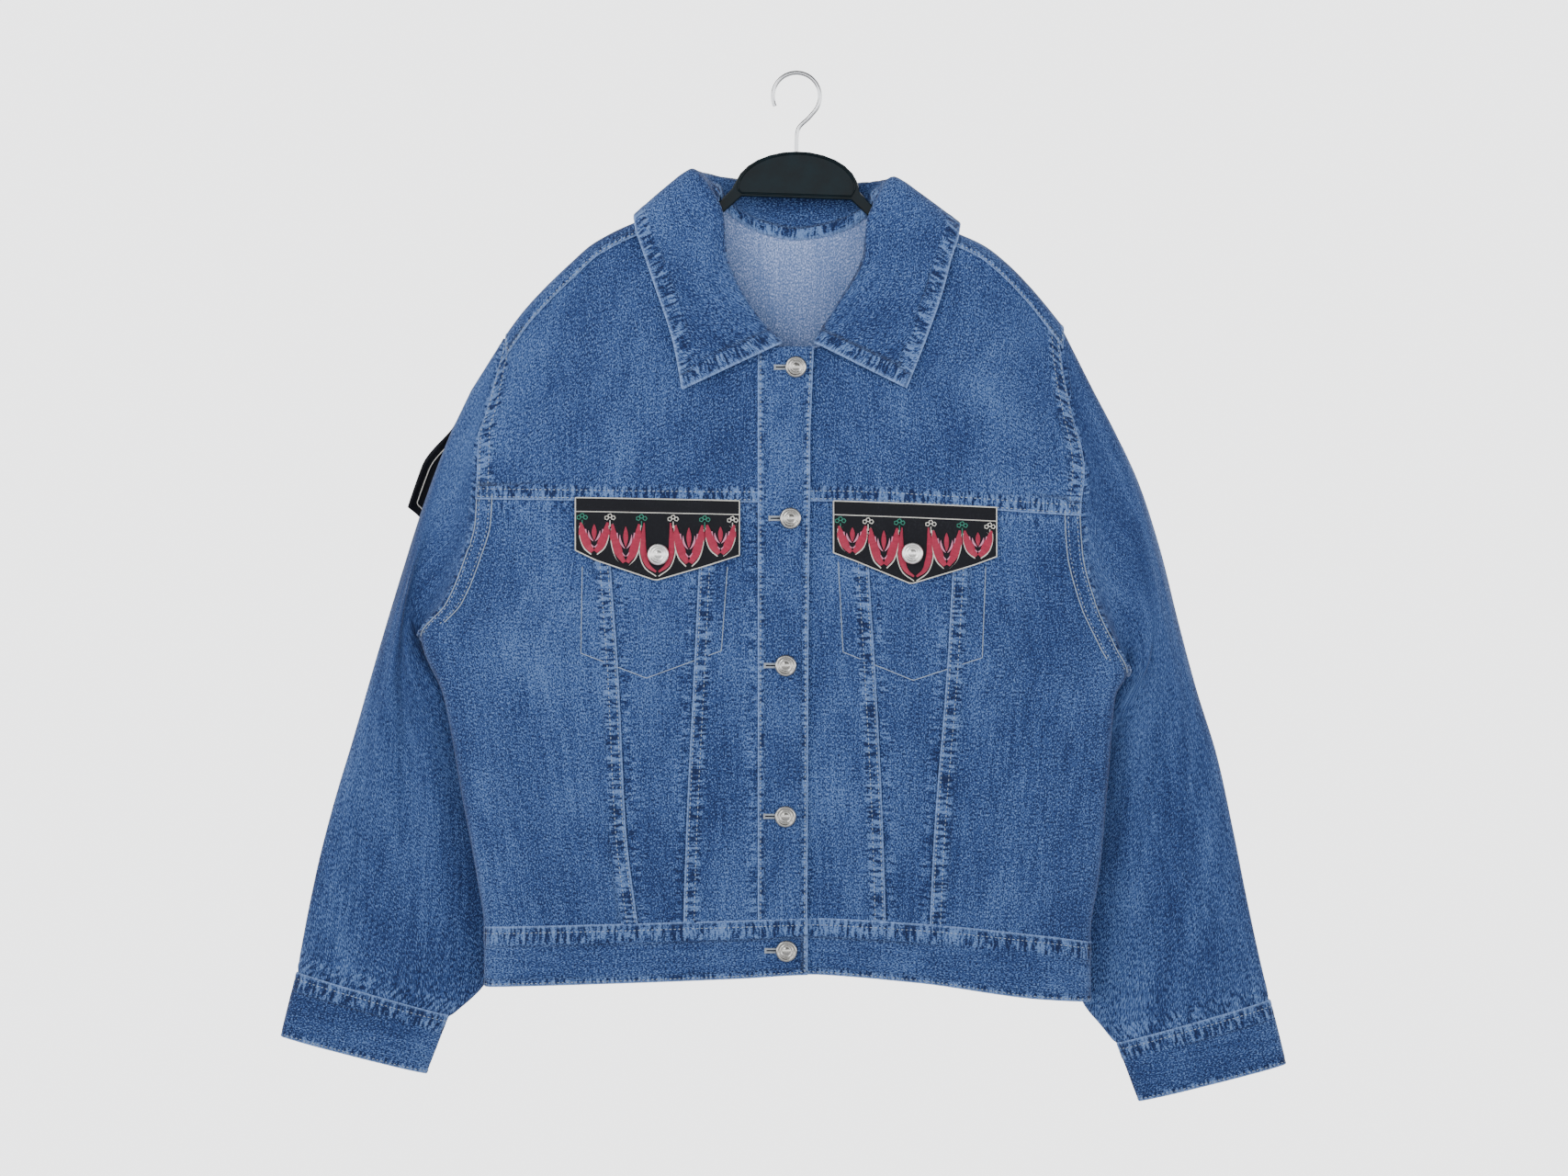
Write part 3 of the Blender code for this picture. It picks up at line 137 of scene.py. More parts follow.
# The shoulder line, the body's edges and its fullness, as the frame has them
RIDGE = Table(
    "x drop",
    (-262, 254), (-246, 230), (-234, 212.5), (-218, 191), (-201, 172.5), (-182, 154.3), (-162, 137),
    (-126, 119.3), (-90, 108.1), (-66, 98.5), (-40, 93), (0, 91), (40, 95),
    (66, 103), (90, 114.3), (126, 128.1), (150, 139), (167, 152), (186, 171), (210, 200), (218, 211),
    (227, 230), (240, 254),
)
SIDE = {
    -1: Table(
        "drop seam fold",
        (212.5, -234, -262), (225, -236.5, -262), (253, -244, -266), (275, -250, -272), (290, -255, -277),
        (330, -256.5, -286), (361, -258, -293), (389, -266, -298), (425, -281, -301), (452.5, -302, -302),
        (501, -284, -284), (577, -270, -270), (653, -256, -256), (686, -251.5, -251.5), (760, -251.5, -251.5),
    ),
    1: Table(
        "drop seam fold",
        (200, 210, 250), (229, 212.5, 248), (277, 222, 250), (302, 229, 252), (320, 231, 253),
        (352, 228, 255), (383, 229.5, 258), (428, 241, 263), (460, 256, 266), (482, 266, 266),
        (500, 257, 257), (567, 251, 251), (643, 244, 244), (691, 237, 237), (760, 237, 237),
    ),
}
FULLNESS = Table(
    "drop front back",
    (90, 10, 12), (130, 14, 19), (180, 18, 21), (220, 21.5, 22), (300, 25, 24), (450, 28, 25),
    (600, 27, 24), (700, 25, 22), (760, 24, 22),
)
# Soft troughs (below 0) and ridges of the body's cloth: front is 1 on the front and -1 on the back
FOLDS = Table(
    "front x0 drop0 x1 drop1 width height",
    (1, -222, 330, -208, 560, 13, -4.0), (1, -196, 400, -186, 668, 17, 3.5),
    (1, -228, 470, -226, 668, 12, 3.0), (1, 200, 300, 176, 600, 15, -3.5), (1, 206, 420, 196, 680, 14, 3.5),
    (1, -186, 178, -214, 300, 14, -2.5), (1, 172, 200, 196, 300, 14, -2.5),
    (1, -118, 450, -112, 660, 22, 2.0), (1, 92, 460, 90, 660, 18, -2.0), (1, -20, 590, -60, 670, 18, 1.5),
    (-1, -196, 420, -190, 668, 18, 4.0), (-1, 184, 420, 186, 668, 18, 4.0),
    (-1, -172, 460, -170, 660, 12, -2.5), (-1, 160, 460, 160, 660, 12, -2.5),
    (-1, -70, 520, -96, 668, 26, 3.0), (-1, 40, 540, 76, 668, 26, -3.0), (-1, 0, 500, 4, 640, 22, 2.5),
    # Smaller creases that only the looks carry
    (1, -268, 440, -214, 500, 7, -1.6), (1, -262, 470, -206, 548, 8, 1.4), (1, 238, 470, 186, 520, 7, -1.6),
    (1, 236, 500, 178, 566, 8, 1.3), (1, -170, 215, -128, 262, 10, 0.9), (1, 150, 222, 118, 268, 10, 0.9),
    (1, -236, 560, -180, 600, 7, 1.0), (1, -232, 640, -170, 652, 6, -1.0), (1, 226, 600, 168, 640, 7, 1.0),
    (1, 214, 650, 150, 664, 6, -1.0), (1, -60, 480, -22, 560, 10, 0.8), (1, 30, 430, 58, 520, 10, -0.8),
    (1, -206, 250, -150, 318, 9, 0.9), (1, 190, 262, 140, 326, 9, 0.9), (1, -100, 250, -40, 300, 12, 0.7),
    (-1, -238, 470, -196, 540, 8, -1.4), (-1, 226, 480, 184, 548, 8, -1.4),
    (-1, -216, 600, -170, 648, 7, 1.1), (-1, 204, 600, 162, 650, 7, 1.1),
    (-1, -120, 150, -60, 178, 10, 0.8), (-1, 60, 152, 120, 184, 10, -0.8),
    (-1, -230, 560, -176, 580, 6, -0.9), (-1, 218, 566, 168, 586, 6, -0.9),
)
FRONT_SEAMS = Table(
    "drop outer_left inner_left placket_left free_edge under_edge inner_right outer_right",
    (330, -152, -75, -31, 11, 3, 56, 128), (398, -148, -78, -31, 10, 3, 58, 124.5),
    (482, -142, -82, -31, 9.5, 3, 63, 119.7), (605, -136, -88, -31, 9, 3, 69, 110),
    (700, -124, -91, -31, 8.5, 3, 72, 105.5),
)
YOKE_SEAM = Table("x drop", (-258, 336.6), (-30, 339.4), (12, 338.4), (228, 350))
WAIST = Table(
    "x top hem",
    (-251, 685, 733), (-46, 678.6, 725), (11, 677, 722), (93, 681, 728), (193, 691, 742), (236, 697, 745),
)
NECK = {
    -1: Table("drop x", (98.5, -66), (122, -69), (145, -67), (170, -60), (192, -48), (204, -39), (214, -31)),
    1: Table("drop x", (103, 66), (128, 67), (147, 64), (172, 54), (192, 43), (206, 34), (218, 24), (224, 3)),
}
NECK_BACK = Table("x drop", (-66, 98.5), (-52, 112), (-34, 122), (0, 130), (34, 124), (52, 116), (66, 103))
ARMPIT = {-1: (212.5, 452.5), 1: (200.0, 482.0)}
# Rings of each sleeve over the outer fold (o), p, q and the inner fold (i)
SLEEVE = {
    -1: Table(
        "ring ox od px pd qx qd ix id oy iy half",
        (1, -262, 254, -270, 325, -285, 402, -305.8, 455.5, 0, 11, 15),
        (2, -280, 292, -292, 352, -310, 424, -296, 474, 2, 21.5, 16),
        (3, -300, 344, -309, 397, -315, 457, -279, 502, 6, 20, 17),
        (4, -320, 405, -322, 452, -313, 500, -268, 541, 11, 27, 17),
        (5, -340, 470, -332, 512, -305, 549, -257, 583, 15, 31, 17),
        (6, -358, 532, -341, 568, -302, 600, -246, 628, 17, 33, 16.5),
        (7, -374, 585, -347, 614, -298, 640, -238, 662, 18, 34, 16),
        (8, -387, 635, -352, 657, -300, 678, -237, 694, 18, 34, 15),
        (9, -398, 688, -358, 703, -310, 718, -252, 733, 18, 31, 14),
        (10, -405, 727, -366, 738, -326, 750, -283, 763, 18, 25, 12),
    ),
    1: Table(
        "ring ox od px pd qx qd ix id oy iy half",
        (1, 238, 252, 244, 322, 250, 410, 266, 485, 0, 12, 14),
        (2, 258, 290, 266, 352, 276, 440, 254.5, 500, 2, 22, 15),
        (3, 276, 328, 283, 389, 284, 467, 245, 523, 6, 22, 16),
        (4, 294, 382, 294, 432, 281, 487, 243, 555, 11, 26, 16.5),
        (5, 309, 440, 303, 482, 281, 528, 236, 592, 15, 30, 17),
        (6, 324, 495, 312, 533, 281, 574, 228, 632, 17, 33, 16.5),
        (7, 341, 550, 321, 583, 280, 617, 222, 667, 18, 34, 16),
        (8, 354, 610, 327, 640, 283, 672, 221, 707, 18, 34, 15),
        (9, 366, 670, 335, 696, 290, 722, 232, 748, 18, 31, 14),
        (10, 376, 716, 340, 733, 298, 750, 248, 769, 18, 28, 13),
        (11, 384, 749, 346, 761, 304, 773, 261, 785, 18, 25, 12),
    ),
}
# Soft folds of the sleeves: face is 1 in front and -1 behind; rings and shares down the ring
SLEEVE_FOLDS = Table(
    "face ring0 share0 ring1 share1 width height",
    (1, 1.0, 0.45, 6.0, 0.30, 0.09, 3.5), (1, 2.0, 0.62, 7.5, 0.55, 0.07, -4.0),
    (1, 4.0, 0.78, 8.5, 0.72, 0.07, 3.0), (1, 5.0, 0.15, 9.0, 0.40, 0.07, -2.5),
    (-1, 2.5, 0.40, 8.0, 0.35, 0.09, 3.5), (-1, 4.0, 0.60, 9.0, 0.55, 0.07, -4.0),
    (-1, 6.0, 0.20, 9.0, 0.25, 0.08, 3.0), (1, 1.5, 0.80, 4.5, 0.55, 0.045, 1.6),
    (1, 2.0, 0.92, 5.5, 0.62, 0.04, -1.5), (1, 7.0, 0.85, 9.5, 0.60, 0.05, 1.4),
    (1, 7.5, 0.30, 10.0, 0.22, 0.05, -1.3), (1, 3.0, 0.22, 5.0, 0.12, 0.05, 1.2),
    (-1, 2.0, 0.85, 5.0, 0.70, 0.045, -1.5), (-1, 6.5, 0.80, 9.5, 0.72, 0.05, 1.4),
    (-1, 7.5, 0.42, 10.0, 0.46, 0.05, 1.2),
)
# Each cuff's upper and lower ring: x and drop of the outer fold and of the inner one, both folds' y, and half
# the depth
CUFF = {
    -1: ((-405.2, 727.8, -283.2, 763.9, 18, 25, 12), (-417, 775.5, -300, 807, 18, 24, 10.5)),
    1: ((384.3, 750.1, 261.4, 786.3, 18, 25, 12), (396, 798, 277.5, 829.5, 18, 24, 10.5)),
}
# Where the back seam lies round the sleeve, the drop where its slit starts, and the cuff's overlap
BACK_SLEEVE_SEAM = 1.64
SLIT_TOP = {-1: 653.0, 1: 670.0}
CUFF_LAP = 0.06
# The shoulder strips' inner and outer ends
STRIP_START = 72.0
STRIP_END = {-1: 233.0, 1: 214.0}
# The collar, from its front end on the left round the back to its front end on the right
COLLAR = Table(
    "row face seam_x seam_d roll_x roll_y roll_d edge_x edge_y edge_d turn",
    (0, -1, -31, 212, -12, -24.0, 217, -91, -27.0, 254, 270),
    (1, -1, -48, 191, -34, -20.5, 192, -98, -24.3, 217, 268),
    (2, -1, -66.5, 146, -57, -14.5, 145, -113, -17.5, 171, 262),
    (3, -1, -68.5, 123, -59.5, -14, 113, -122, -14.5, 145, 240),
    (4, -1, -65, 101.5, -74, -10.5, 88, -129, -11.5, 124, 215),
    (5, 0, -64, 92.0, -84, -2.0, 77, -131, 0.0, 113, 180),
    (6, 1, -61, 102, -84, 11.0, 75.5, -127, 12.5, 124, 140),
    (7, 1, -48, 114, -72, 21.0, 78, -106, 21.5, 131, 115),
    (8, 1, -24, 125.5, -34, 26.0, 84, -52, 26.0, 132, 98),
    (9, 1, 0, 129.6, 0, 27.0, 87, 0, 27.5, 132, 90),
    (10, 1, 24, 126.3, 34, 26.0, 86, 52, 26.0, 134, 82),
    (11, 1, 48, 117.3, 66, 21.0, 84, 106, 21.5, 136, 65),
    (12, 1, 61, 106, 76, 11.0, 83, 127, 12.5, 132, 40),
    (13, 0, 64, 96, 78, -2.0, 83, 131, 0.0, 121, 0),
    (14, -1, 64.5, 106.5, 71, -10.5, 93, 129, -11.5, 132, -35),
    (15, -1, 66.3, 127, 57.5, -14, 118, 123, -14.5, 151, -60),
    (16, -1, 63.5, 148, 54, -14.8, 146, 117, -17.5, 174, -82),
    (17, -1, 40.8, 191, 29, -20.5, 193, 100, -24.3, 222, -88),
    (18, -1, 30, 206.5, 14, -24.0, 216.5, 87.5, -27.0, 253, -90),
)
FRONT_BUTTONS = ((-0.5, 236.8), (-4.8, 357.5), (-8.6, 474.8), (-9.0, 595.0), (-8.0, 702.3))
FLAP_BUTTONS = {-1: (-110.2, 386.4), 1: (92.2, 385.5)}
# Along each pocket flap: x, and the drops of its top and lower edges
FLAPS = {
    -1: (
        (-176.3, 341, 383), (-159.6, 341.2, 391), (-112, 342.2, 407), (-70, 343, 394.8), (-45.5, 343.6, 387),
    ),
    1: ((29.5, 343.6, 385), (47, 344.2, 391.5), (91.2, 345.8, 409.7), (142, 348, 394.5), (159.5, 348.8, 388)),
}
POCKET_BAGS = {
    -1: ((-171, 396), (-172, 465), (-119.7, 484.8), (-59.9, 463), (-55.1, 396)),
    1: ((33.3, 392), (37.1, 464), (93.1, 486.7), (148.2, 468.6), (151, 396)),
}
# The cape's band, its arm flaps and its pennants, off the back's middle line
BAND_EDGE = Table("off top", (0, 196), (100, 198), (140, 203), (160, 210), (179, 222))
BAND_LOW = Table("off low", (0, 274.5), (100, 275), (197, 280))
BAND_HALF = (179, 197)
ARM_FLAP = Table("drop off", (222, 179.5), (280, 191), (381, 207), (423, 188))
# The arm flap's grid: u, from -0.97 to 0.93, lies over the back below 0 and over the sleeve above it, and v
# runs down the armhole from START + SLANT * u to 1. BOW is how far the lower end swings round the sleeve, END
# its share of the armhole, FALL how many mm its inner end drops, and PROUD how far the right one stands out.
# RINGS is how many sleeve rings each one reaches down
ARM_FLAP_SPAN = (-0.97, 0.93)
ARM_FLAP_START = 0.32
ARM_FLAP_SLANT = 0.235
ARM_FLAP_BOW = 0.55
ARM_FLAP_END = 0.74
ARM_FLAP_FALL = 14.0
ARM_FLAP_PROUD = 12.0
ARM_FLAP_RINGS = {-1: 3.05, 1: 4.2}
PENNANTS = {
    "side": ((106, 276), (194, 281), (217, 381), (186, 461)),
    "centre": ((-100, 275.8), (100, 275.8), (0, 482)),
}


# Noise layers of the denim's tone: scale across and along the warp, detail, roughness and weight
WEAVE = (
    (0.42, 0.028, 3.0, 0.6, 0.36), (0.055, 0.9, 2.0, 0.55, 0.14), (0.011, 0.008, 3.0, 0.5, 0.42),
    (0.05, 0.03, 2.0, 0.5, 0.12),
)
TWILL_ANGLE = 1.05
# The dark, middle and pale colours of the denim's inner side
DENIM_INSIDE = ((0.1, 0.165, 0.36), (0.23, 0.32, 0.59), (0.47, 0.57, 0.88))
# Colour, roughness and grain
METALS = {
    "nickel": ((0.46, 0.45, 0.43), 0.26, 700), "pale_nickel": ((0.86, 0.85, 0.83), 0.3, 700),
    "wire": ((0.62, 0.63, 0.65), 0.22, 400),
}
MATT_THREAD = 0.7
# How far the pennants' tips hang off the back, and the radius of the cape's piping
PENNANT_LIFT = 1.8
CAPE_PIPING = 0.45


def clip(value, low=0.0, high=1.0):
    return np.clip(value, low, high)


def lerp(a, b, t):
    return a + (b - a) * t


def resolve(rule, *keys):
    """A rule's value at the keys, or the plain number that stands in for a rule."""
    return rule(*keys) if callable(rule) else rule


def unit(vectors):
    """The vectors at length 1."""
    return vectors / np.maximum(np.linalg.norm(vectors, axis=-1, keepdims=True), 1e-9)


def at_length(run, values, where):
    """Reads rows of values at running lengths."""
    return np.stack([np.interp(where, run, column) for column in values.T], -1)


def tube(share):
    """Half the depth of a flattened tube, from 0 at both folds to 1 between them."""
    return np.sqrt(np.maximum(0.0, 1 - np.abs(2 * share - 1) ** 2.6))


def ease(value):
    """A soft step from 0 to 1."""
    t = clip(value)
    return t * t * (3 - 2 * t)


def arc(share):
    """A quarter circle's rise from 0 to 1."""
    return np.sqrt(np.maximum(0.0, 1 - (1 - clip(share)) ** 2))


def fold_height(front, x, drop):
    """The height of the body's soft folds at each point."""
    total = np.zeros(np.broadcast(x, drop).shape)
    c = FOLDS.columns
    for i, side in enumerate(FOLDS.keys):
        if side != front:
            continue
        x0, d0, x1, d1 = (c[name][i] for name in ("x0", "drop0", "x1", "drop1"))
        run = (x1 - x0) ** 2 + (d1 - d0) ** 2
        t = clip(((x - x0) * (x1 - x0) + (drop - d0) * (d1 - d0)) / run)
        away = (x - lerp(x0, x1, t)) ** 2 + (drop - lerp(d0, d1, t)) ** 2
        show = np.exp(-away / c["width"][i] ** 2) * (0.35 + 0.65 * np.sin(math.pi * clip(t, 0.05, 0.95)))
        total = total + c["height"][i] * show
    return total


def depth(front, x, drop):
    """How far the body's outer face stands off the middle plane."""
    left = SIDE[-1].at("fold", drop)
    right = SIDE[1].at("fold", drop)
    slope = RIDGE.at("drop", x + 1) - RIDGE.at("drop", x - 1)
    below = (drop - RIDGE.at("drop", x)) / np.hypot(1, slope / 2)
    inside = np.minimum(x - left, right - x)
    across = clip(np.abs(2 * x - left - right) / (right - left))
    bulge = np.sqrt(1 - across**3)
    rise = 1 - (1 - clip(below / RISE_LENGTH)) ** 2
    full = FULLNESS.at("front" if front == 1 else "back", drop) - RIDGE_RADIUS
    rounding = RIDGE_RADIUS * arc(below / RIDGE_RADIUS) * arc(inside / RIDGE_RADIUS)
    folds = fold_height(front, x, drop) * clip(inside / 25) * clip((drop - 110) / 70)
    return rounding + rise * bulge * (full + folds)


def on_body(front, x, drop, height=0.0):
    """Points on the body's outer face, moved out by height."""
    x = np.asarray(x, float)
    drop = np.asarray(drop, float)

    def raw(a, b):
        return np.stack(np.broadcast_arrays(a, -front * (depth(front, a, b) + GAP / 2), -b), -1)

    step = 0.5
    across = raw(x + step, drop) - raw(x - step, drop)
    down = raw(x, drop + step) - raw(x, drop - step)
    out = unit(np.cross(down, across)) * front
    return raw(x, drop) + out * np.asarray(height, float)[..., None]


def ring_point(side, face, share, ring):
    """Points of a sleeve ring below the armhole."""
    table = SLEEVE[side]
    place = ring - 1

    def through(names):
        values = [table.mix(name, place) for name in names]
        keys = (0.0, 0.33, 0.67, 1.0)
        i = np.where(share < keys[1], 0, np.where(share < keys[2], 1, 2))
        start_key = np.choose(i, keys[:3])
        span = np.choose(i, (0.33, 0.34, 0.33))
        t = (share - start_key) / span
        a = np.choose(i, np.broadcast_arrays(*values[:3]))
        b = np.choose(i, np.broadcast_arrays(*values[1:]))
        before = np.choose(i, np.broadcast_arrays(2 * values[0] - values[1], values[0], values[1]))
        after = np.choose(i, np.broadcast_arrays(values[2], values[3], 2 * values[3] - values[2]))
        start = (b - before) / 2
        end = (after - a) / 2
        t2 = t * t
        t3 = t2 * t
        return (2 * t3 - 3 * t2 + 1) * a + (t3 - 2 * t2 + t) * start + (3 * t2 - 2 * t3) * b + (t3 - t2) * end

    share, place = np.broadcast_arrays(np.asarray(share, float), np.asarray(place, float))
    ring = place + 1
    x = through(("ox", "px", "qx", "ix"))
    drop = through(("od", "pd", "qd", "id"))
    middle = lerp(table.mix("oy", place), table.mix("iy", place), share**1.3)
    half = table.mix("half", place) * tube(share)
    swell = sleeve_fold(face, ring, share) * clip(4 * share) * clip(4 * (1 - share))
    return np.stack((x, middle - face * (half + swell), -drop), -1)


def sleeve_fold(face, ring, share):
    """The height of a sleeve's soft folds at each point."""
    total = np.zeros(np.shape(ring))
    c = SLEEVE_FOLDS.columns
    for i, side in enumerate(SLEEVE_FOLDS.keys):
        t = (ring - c["ring0"][i]) / (c["ring1"][i] - c["ring0"][i])
        centre = lerp(c["share0"][i], c["share1"][i], t)
        away = (share - centre) / c["width"][i]
        show = np.exp(-away * away) * np.sin(math.pi * clip(t)) * (side == face)
        total = total + c["height"][i] * show
    return total


def arm_ring(side, face, share, outset, sink=0.0):
    """Points of the ring where a sleeve starts, share 0 at the shoulder and 1 at the armpit."""
    top, armpit = ARMPIT[side]
    seam = SIDE[side].rule("seam")
    drop = lerp(top, armpit, share)
    x = seam(drop)
    slope = (seam(np.minimum(drop + 1, armpit)) - seam(np.maximum(drop - 1, top))) / 2
    spread = 1.2 * clip(1 - share / 0.12) + 2.2 * clip(1 - (1 - share) / 0.22)
    away = (outset + spread) / np.hypot(1, slope)
    standing = np.where((share > 0) & (share < 1), depth(face, x, drop), 0.0)
    standing = np.sign(standing) * np.maximum(np.abs(standing) - sink, 0.0)
    return np.stack((x + side * away, -face * standing, -(drop - slope * side * away)), -1)


def sleeve_point(side, around, ring):
    """Points of a sleeve: around runs 0..1 over the front from the inner to the outer fold, 1..2 behind."""
    around, ring = np.broadcast_arrays(np.asarray(around, float) % 2, np.asarray(ring, float))
    found = np.zeros(around.shape + (3,))
    for face in (1, -1):
        here = around <= 1 if face == 1 else around > 1
        share = clip(1 - around if face == 1 else around - 1)
        below = ring_point(side, face, share, np.maximum(ring, 1.0))
        first = arm_ring(side, face, share, 0.6)
        mixed = lerp(first, below, clip(ring)[..., None])
        tucked = arm_ring(side, face, share, -7.0, 2.2)
        mixed = np.where((ring < 0)[..., None], tucked, mixed)
        found[here] = mixed[here]
    return found


def cuff_point(side, around, row, out):
    """Points of a cuff, out mm off its plain ring."""
    around = np.asarray(around, float) % 2
    face = np.where(around <= 1, 1, -1)
    share = np.where(around <= 1, 1 - around, around - 1)
    ox, od, ix, inner_drop, oy, iy, half = (lerp(a, b, row) for a, b in zip(*CUFF[side]))
    x = lerp(ox, ix, share) - side * out * (2 * share - 1)
    y = lerp(oy, iy, share) - face * (half + out) * tube(share)
    return np.stack(np.broadcast_arrays(x, y, -lerp(od, inner_drop, share)), -1)


def over_ridge(x, along):
    """Points of the cloth where it turns over the shoulder: along is 0 on top and runs to the front."""
    turn = math.pi / 2 * RIDGE_RADIUS
    reach = np.abs(along)
    below = RIDGE_RADIUS * (1 - np.cos(np.minimum(reach, turn) / RIDGE_RADIUS))
    below = below + np.maximum(0.0, reach - turn)
    front = np.where(along >= 0, 1, -1)
    slope = RIDGE.at("drop", x + 1) - RIDGE.at("drop", x - 1)
    drop = RIDGE.at("drop", x) + below * np.hypot(1, slope / 2)
    standing = np.where(front == 1, depth(1, x, drop), depth(-1, x, drop)) + GAP / 2
    standing = np.where(reach > 0, standing, 0.0)
    return np.stack(np.broadcast_arrays(x, -front * standing, -drop), -1)


def normals(points, joined=False):
    """Outward directions of a grid of points, from its own rows and columns."""
    if joined:
        wide = np.concatenate((points[:, -2:-1], points, points[:, 1:2]), 1)
        across = np.gradient(wide, axis=1)[:, 1:-1]
    else:
        across = np.gradient(points, axis=1)
    return unit(np.cross(np.gradient(points, axis=0), across))


def lengths(points, axis):
    """Running length of the grid's rows (axis 1) or columns (axis 0)."""
    steps = np.linalg.norm(np.diff(points, axis=axis), axis=-1)
    start = np.zeros_like(np.take(steps, [0], axis=axis))
    return np.cumsum(np.concatenate((start, steps), axis=axis), axis=axis)


NEAR_EDGE = (0.0, 0.5, 1.1, 2.0, 3.4, 5.2, 7.2, 9.2, 10.6, 12.0, 13.4, 15.2)


def spaced(length, pitch, start=False, end=False):
    """Shares from 0 to 1 about pitch apart, with close steps beside an edge that carries a seam."""
    marks = list(np.linspace(0, length, max(2, round(length / pitch)) + 1))
    room = min(NEAR_EDGE[-1], length * 0.45)
    near = [mm for mm in NEAR_EDGE if mm <= room]
    if start:
        marks = near + [m for m in marks if m > room + pitch * 0.6]
    if end:
        marks = [m for m in marks if m < length - room - pitch * 0.6] + [length - mm for mm in near]
    return np.array(sorted(marks)) / length


def coons(left, right, top, bottom):
    """A patch between four edge curves that each give (x, drop) for 0..1."""
    corners = [np.array(f(t)) for f, t in ((top, 0.0), (top, 1.0), (bottom, 0.0), (bottom, 1.0))]

    def at(u, v):
        found = []
        tops, lows, lefts, rights = top(u), bottom(u), left(v), right(v)
        for i in (0, 1):
            ruled = lerp(tops[i], lows[i], v) + lerp(lefts[i], rights[i], u)
            twist = lerp(lerp(corners[0][i], corners[1][i], u), lerp(corners[2][i], corners[3][i], u), v)
            found.append(ruled - twist)
        return found

    return at


def cross_edge(start_x, end_x, drop):
    """An edge that runs across, its drop a number or a rule of x."""
    def at(t):
        x = lerp(start_x, end_x, t)
        return x, resolve(drop, x)

    return at


def down_edge(x, start, end):
    """An edge that runs down from one drop to another, its x a number or a rule of the drop."""
    def at(t):
        drop = lerp(start, end, t)
        return resolve(x, drop), drop

    return at


def body_patch(left, right, top, low):
    """A patch between two down edges, with its top and low drops as numbers or rules of x."""
    upper, lower = ([float(edge(t)[0]) for edge in (left, right)] for t in (0.0, 1.0))
    return coons(left, right, cross_edge(*upper, top), cross_edge(*lower, low))


# Finishes

def new_material(name):
    """An empty material with its Principled shader: (material, nodes, links, shader)."""
    made = bpy.data.materials.get(name)
    if made:
        bpy.data.materials.remove(made)
    made = bpy.data.materials.new(name)
    made.use_nodes = True
    tree = made.node_tree
    return made, tree.nodes, tree.links, tree.nodes["Principled BSDF"]


class Build:
    """Short ways to add shader nodes to one material."""

    def __init__(self, name):
        self.material, self.nodes, self.links, self.shader = new_material(name)

    def put(self, socket, value):
        if isinstance(value, bpy.types.NodeSocket):
            self.links.new(value, socket)
        else:
            socket.default_value = value

    def attribute(self, name):
        node = self.nodes.new("ShaderNodeAttribute")
        node.attribute_name = name
        return node

    def scaled(self, vector, scale):
        node = self.nodes.new("ShaderNodeVectorMath")
        node.operation = "MULTIPLY"
        self.put(node.inputs[0], vector)
        node.inputs[1].default_value = scale
        return node.outputs[0]

    def noise(self, vector, scale=1.0, detail=2.0, rough=0.5, distortion=0.0):
        node = self.nodes.new("ShaderNodeTexNoise")
        self.put(node.inputs["Vector"], vector)
        node.inputs["Scale"].default_value = scale
        node.inputs["Detail"].default_value = detail
        node.inputs["Roughness"].default_value = rough
        node.inputs["Distortion"].default_value = distortion
        return node.outputs["Fac"]

    def wave(self, vector, scale, direction="X", distortion=0.0):
        node = self.nodes.new("ShaderNodeTexWave")
        node.bands_direction = direction
        self.put(node.inputs["Vector"], vector)
        node.inputs["Scale"].default_value = scale
        node.inputs["Distortion"].default_value = distortion
        node.inputs["Detail"].default_value = 1.0
        return node.outputs["Fac"]

    def math(self, operation, a, b=0.0, c=None, clamp=False):
        node = self.nodes.new("ShaderNodeMath")
        node.operation = operation
        node.use_clamp = clamp
        self.put(node.inputs[0], a)
        self.put(node.inputs[1], b)
        if c is not None:
            self.put(node.inputs[2], c)
        return node.outputs[0]

    def remap(self, value, low, high, to_low=0.0, to_high=1.0):
        node = self.nodes.new("ShaderNodeMapRange")
        self.put(node.inputs["Value"], value)
        for socket, number in zip(("From Min", "From Max", "To Min", "To Max"), (low, high, to_low, to_high)):
            node.inputs[socket].default_value = number
        return node.outputs["Result"]

    def mix(self, factor, a, b, blend="MIX"):
        node = self.nodes.new("ShaderNodeMix")
        node.data_type = "RGBA"
        node.blend_type = blend
        self.put(node.inputs["Factor"], factor)
        self.put(node.inputs["A"], a)
        self.put(node.inputs["B"], b)
        return node.outputs["Result"]

    def ramp(self, factor, *stops):
        node = self.nodes.new("ShaderNodeValToRGB")
        self.put(node.inputs["Fac"], factor)
        elements = node.color_ramp.elements
        while len(elements) < len(stops):
            elements.new(0.5)
        for element, (place, colour) in zip(elements, stops):
            element.position = place
            element.color = (*colour, 1.0)
        return node.outputs["Color"]

    def bump(self, height, strength, distance, normal=None):
        node = self.nodes.new("ShaderNodeBump")
        node.inputs["Strength"].default_value = strength
        node.inputs["Distance"].default_value = distance
        self.put(node.inputs["Height"], height)
        if normal is not None:
            self.put(node.inputs["Normal"], normal)
        return node.outputs["Normal"]


